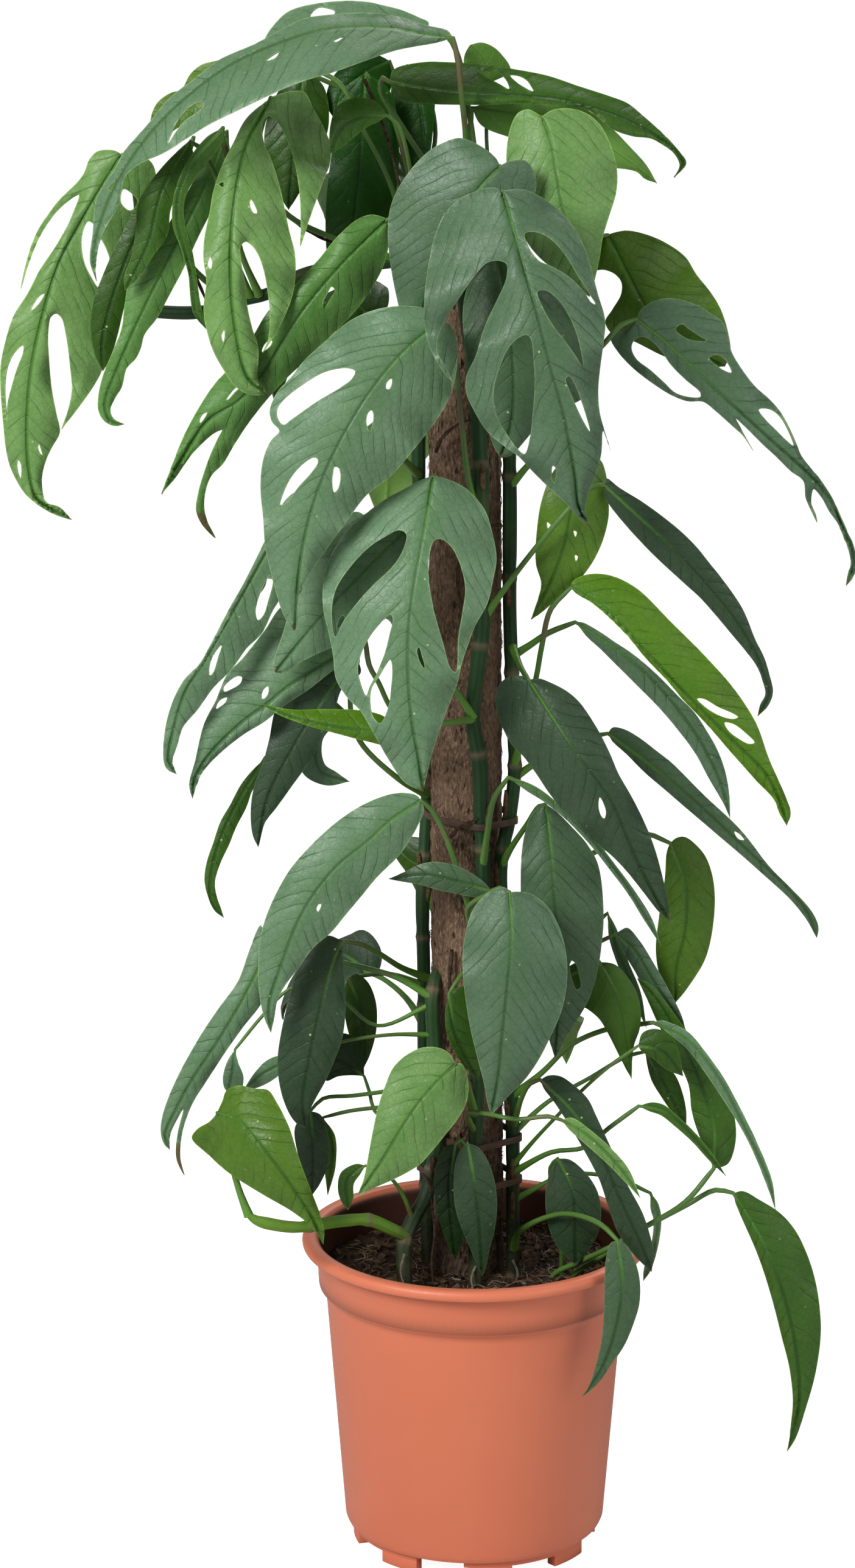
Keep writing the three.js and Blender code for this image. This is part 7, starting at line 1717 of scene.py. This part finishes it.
def poleRadius(a, z):
    rough = noise.noise(Vector((math.cos(a) * 2.2, math.sin(a) * 2.2, z / 30.0))) * 1.3
    fine = noise.noise(Vector((math.cos(a) * 8.0, math.sin(a) * 8.0, z / 6.0))) * 0.9
    pit = noise.noise(Vector((math.cos(a) * 15.0, math.sin(a) * 15.0, z / 4.5 + 40)))
    return pole["radius"] - 1.0 + rough + fine - max(0.0, pit - 0.25) * 2.6


def makePoleMaterial(name, dark, light):
    material, tree = newMaterial(name)
    place = objectPlace(tree)
    drawn = addNode(tree, "ShaderNodeMapping", None, Vector=place)
    drawn.inputs["Scale"].default_value = (1.0, 1.0, 0.38)
    broad, fine = mottle(tree, drawn.outputs[0], 55.0, 620.0)
    color = mixed(tree, fine, (*dark, 1), (*light, 1))
    color = laid(tree, color, (*(c * 1.35 for c in light), 1), broad, 0.35)
    pits = addNode(tree, "ShaderNodeTexVoronoi", None, Vector=drawn.outputs[0], Scale=210.0)
    pit = span(tree, pits.outputs["Distance"], 0.1, 0.32, 1.0, 0.0)
    chosen = channels(tree, pits.outputs["Color"])
    # painted shade: the chosen dents are darkened nearly to black, as shadow in the pits
    dented = product(tree, pit, span(tree, chosen[0], 0.45, 0.5))
    color = laid(tree, color, (0.014, 0.008, 0.006, 1), dented, 0.85)
    color = laid(tree, color, (0.36, 0.25, 0.17, 1), pit, span(tree, chosen[1], 0.8, 0.82), 0.7)
    # painted shade: the pole darkens towards its foot, where the leaves shade it
    footShade = span(tree, total(tree, heightOf(tree, place), product(tree, broad, 0.06)), 0.21, 0.4, 0.8, 0.0)
    color = laid(tree, color, mixed(tree, fine, (0.016, 0.010, 0.006, 1), (0.075, 0.048, 0.030, 1)), footShade)
    height = calc(tree, "SUBTRACT", total(tree, fine, broad), product(tree, dented, 1.6))
    surface(tree, color, 0.93, bumped(tree, height, 0.9, 0.0016), Specular_IOR_Level=0.2)
    return material


def makePole():
    low = pole["plain"]                  # the stretch in the soil stays plain
    heights = [pole["foot"][2], *np.linspace(low, pole["top"][2], pole["rings"])]
    points, faces = [], []
    for z in heights:
        middle = poleMiddle(z)
        for k in range(pole["turns"]):
            a = 2 * math.pi * k / pole["turns"]
            radius = poleRadius(a, z) if z >= low else pole["radius"] - 1
            points.append(middle + radius * np.array([math.cos(a), math.sin(a), 0]))
    turns = pole["turns"]
    for ring in range(len(heights) - 1):
        for k in range(turns):
            a, b = ring * turns + k, ring * turns + (k + 1) % turns
            faces.append((a, b, b + turns, a + turns))
    faces += [tuple(reversed(range(turns))), tuple(range((len(heights) - 1) * turns, len(heights) * turns))]
    core = makePoleMaterial("poleCoir", (0.070, 0.042, 0.027), (0.35, 0.225, 0.145))
    settle(newPiece("fibrePole", points, faces, [core], 70), "pole_fibre", "pole")
    chance = random.Random(3)
    hairs = []
    for _ in range(pole["fibres"]):
        z, a = chance.uniform(pole["fibreFoot"], pole["top"][2] - 2), chance.uniform(0, 2 * math.pi)
        length = chance.uniform(*pole["fibreLength"])
        slope = chance.uniform(-pole["fibreSlope"], pole["fibreSlope"])
        proud = chance.uniform(*pole["fibreProud"])
        line = []
        for t in np.linspace(0, 1, pole["fibrePoints"]):
            za, aa = z + length * t * math.cos(slope), a + length * t * math.sin(slope) / pole["radius"]
            if za > pole["top"][2] - 0.5:
                break
            radius = poleRadius(aa, za) + proud * math.sin(math.pi * (0.15 + 0.8 * t)) - 0.25
            line.append(poleMiddle(za) + radius * np.array([math.cos(aa), math.sin(aa), 0]))
        if len(line) > 2:
            hairs.append(tube(line, chance.uniform(*pole["fibreRadius"]), 3))
    hair = makePoleMaterial("poleHair", (0.09, 0.052, 0.036), (0.25, 0.16, 0.11))
    settle(newPiece("poleFibres", *together(hairs), [hair], 60), "pole_fibre")


makePole()
print("pole ready")

# Ties: the straps of the frame with rounded edges
def makeTies():
    material, tree = newMaterial("tieStrap")
    place = objectPlace(tree)
    broad, fine = mottle(tree, place, 90.0, 800.0)
    color = mixed(tree, broad, (0.060, 0.032, 0.018, 1), (0.115, 0.065, 0.038, 1))
    surface(tree, color, 0.6, bumped(tree, fine, 0.4, 0.0004), Specular_IOR_Level=0.4)
    for node in ("tie_upper", "tie_middle", "tie_lower"):
        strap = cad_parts[node].copy()
        strap.data = strap.data.copy()
        strap.name = node + "_strap"
        strap.data.materials.clear()
        strap.data.materials.append(material)
        for collection in list(strap.users_collection):
            collection.objects.unlink(strap)
        bpy.context.collection.objects.link(strap)
        activate(strap)
        bpy.ops.object.mode_set(mode="EDIT")
        bpy.ops.mesh.select_all(action="SELECT")
        bpy.ops.mesh.remove_doubles(threshold=0.00001)
        bpy.ops.mesh.tris_convert_to_quads()
        bpy.ops.object.mode_set(mode="OBJECT")
        edge = strap.modifiers.new("edge", "BEVEL")
        edge.width = 0.35 * millimetre
        edge.segments = 2
        edge.limit_method = "ANGLE"
        edge.angle_limit = math.radians(50)
        bpy.ops.object.modifier_apply(modifier="edge")
        bpy.ops.object.shade_smooth_by_angle(angle=math.radians(50))
        settle(strap, "tie", node)


makeTies()
print("ties ready")

# Aerial roots on the pole and dry sheaths on the stems
roots = {
    "brown": [
        [711, 1900, -26, 706, 1960, -28, 714, 2020, -30, 709, 2070, -32, 711, 2108, -34],
        [740, 1375, -24, 752, 1362, -30, 768, 1352, -34, 785, 1345, -33],
        [716, 742, -20, 724, 722, -27, 742, 704, -30, 763, 692, -28, 782, 690, -30],
        [820, 862, -14, 806, 866, -22, 796, 884, -28, 800, 900, -26],
        [756, 900, -22, 752, 960, -25, 758, 1010, -24, 754, 1060, -22],
        [742, 1560, -22, 738, 1620, -24, 744, 1680, -24, 741, 1730, -22],
        [694, 1930, -30, 702, 1940, -36, 712, 1954, -36],
        [770, 1720, -24, 776, 1800, -30, 770, 1880, -30, 774, 1960, -30],
        [598, 130, -24, 620, 180, -30, 640, 240, -34, 655, 300, -34, 664, 336, -30],
        [310, 430, -4, 324, 460, -6, 338, 492, -2, 346, 508, 0],
        [468, 350, -10, 500, 375, -12, 540, 396, -12, 570, 402, -8],
    ],
    "pale": [
        [842, 2070, -18, 850, 2092, -24, 846, 2110, -30, 854, 2130, -36],
        [781, 2080, -34, 774, 2100, -40, 778, 2122, -46],
        [664, 2060, -52, 658, 2090, -58, 664, 2112, -62],
    ],
    "radius": {"brown": 1.5, "pale": 1.0}, "sheaths": 7,
}


def makeRoots():
    chance = random.Random(21)
    brown = makeSoilMaterial("rootBrown", (0.035, 0.020, 0.012), (0.16, 0.10, 0.06), 260.0)
    pale = makeSoilMaterial("rootPale", (0.20, 0.15, 0.10), (0.50, 0.42, 0.32), 260.0)
    for name, material in (("brown", brown), ("pale", pale)):
        parts = []
        for path in roots[name]:
            line = smoothLine(seenPath(path), 2.0, flat=3)
            t = np.linspace(0, 1, len(line))
            knots = 1 + 0.12 * np.sin(23 * t + chance.uniform(0, 6))
            parts.append(tube(line, roots["radius"][name] * (1 - 0.55 * t) * knots, 8))
        settle(newPiece("roots_" + name, *together(parts), [material], 60), "stem")
    sheaths = []
    for name in ("vine_front", "vine_right", "vine_left"):
        line = stemPath(stems[name])
        for _ in range(roots["sheaths"]):
            at = chance.randrange(20, len(line) - 14)
            part = line[at:at + 9]
            turn = chance.uniform(-2.6, -0.5)
            aside = np.array([math.cos(turn), math.sin(turn), 0.0])
            t = np.linspace(0, 1, len(part))
            curl = part + aside * (stems[name]["radius"] * 0.9 + 3.0 * t ** 2)[:, None]
            sheaths.append(tube(curl, 1.9 * np.sin(math.pi * (0.12 + 0.8 * t)) + 0.2, 6))
    dry = makeSoilMaterial("drySheath", (0.10, 0.055, 0.028), (0.30, 0.19, 0.10), 180.0)
    settle(newPiece("stem_sheaths", *together(sheaths), [dry], 60), "stem")


makeRoots()
print("roots ready")

# The floor, the light and the white surroundings
light = {
    "world": 0.24, "floor": 0.6, "floorGlow": 0.92,
    "lamps": [
        ("keyLight", 100.0, 1.2, (-1.7, -2.3, 2.3)),
        ("fillLight", 20.0, 1.6, (2.4, -1.8, 1.4)),
        ("backLight", 26.0, 1.6, (0.6, 2.2, 2.4)),
    ],
}


def makeFloorMaterial():                 # white to the eye, a little darker to the plant
    material, tree = newMaterial("paleFloor")
    looking = tree.nodes.new("ShaderNodeLightPath").outputs["Is Camera Ray"]
    shader = surface(tree, (light["floor"],) * 3 + (1,), 0.9, Emission_Color=(1, 1, 1, 1))
    tree.links.new(product(tree, looking, light["floorGlow"]), shader.inputs["Emission Strength"])
    return material


def makeWorld():
    world = bpy.data.worlds.new("studio")
    bpy.context.scene.world = world
    world.use_nodes = True
    tree = world.node_tree
    looking = tree.nodes.new("ShaderNodeLightPath").outputs["Is Camera Ray"]
    background = tree.nodes["Background"]
    background.inputs[0].default_value = (1, 1, 1, 1)
    tree.links.new(span(tree, looking, 0.0, 1.0, light["world"], 1.0, False), background.inputs[1])


def makeStage():
    bpy.ops.object.select_all(action="DESELECT")
    bpy.ops.mesh.primitive_plane_add(size=60, location=(0, 0, 0))
    floor = bpy.context.object
    floor.name = "paleFloor"
    floor.data.materials.append(makeFloorMaterial())
    makeWorld()
    for name, power, size, place in light["lamps"]:
        lamp = bpy.data.lights.new(name, "AREA")
        lamp.energy = power
        lamp.size = size
        holder = bpy.data.objects.new(name, lamp)
        holder.location = place
        aim = Vector((0, 0, 0.55)) - Vector(place)
        holder.rotation_euler = aim.to_track_quat("-Z", "Y").to_euler()
        bpy.context.collection.objects.link(holder)


makeStage()
bpy.context.scene.view_settings.view_transform = "Standard"
print("stage ready")
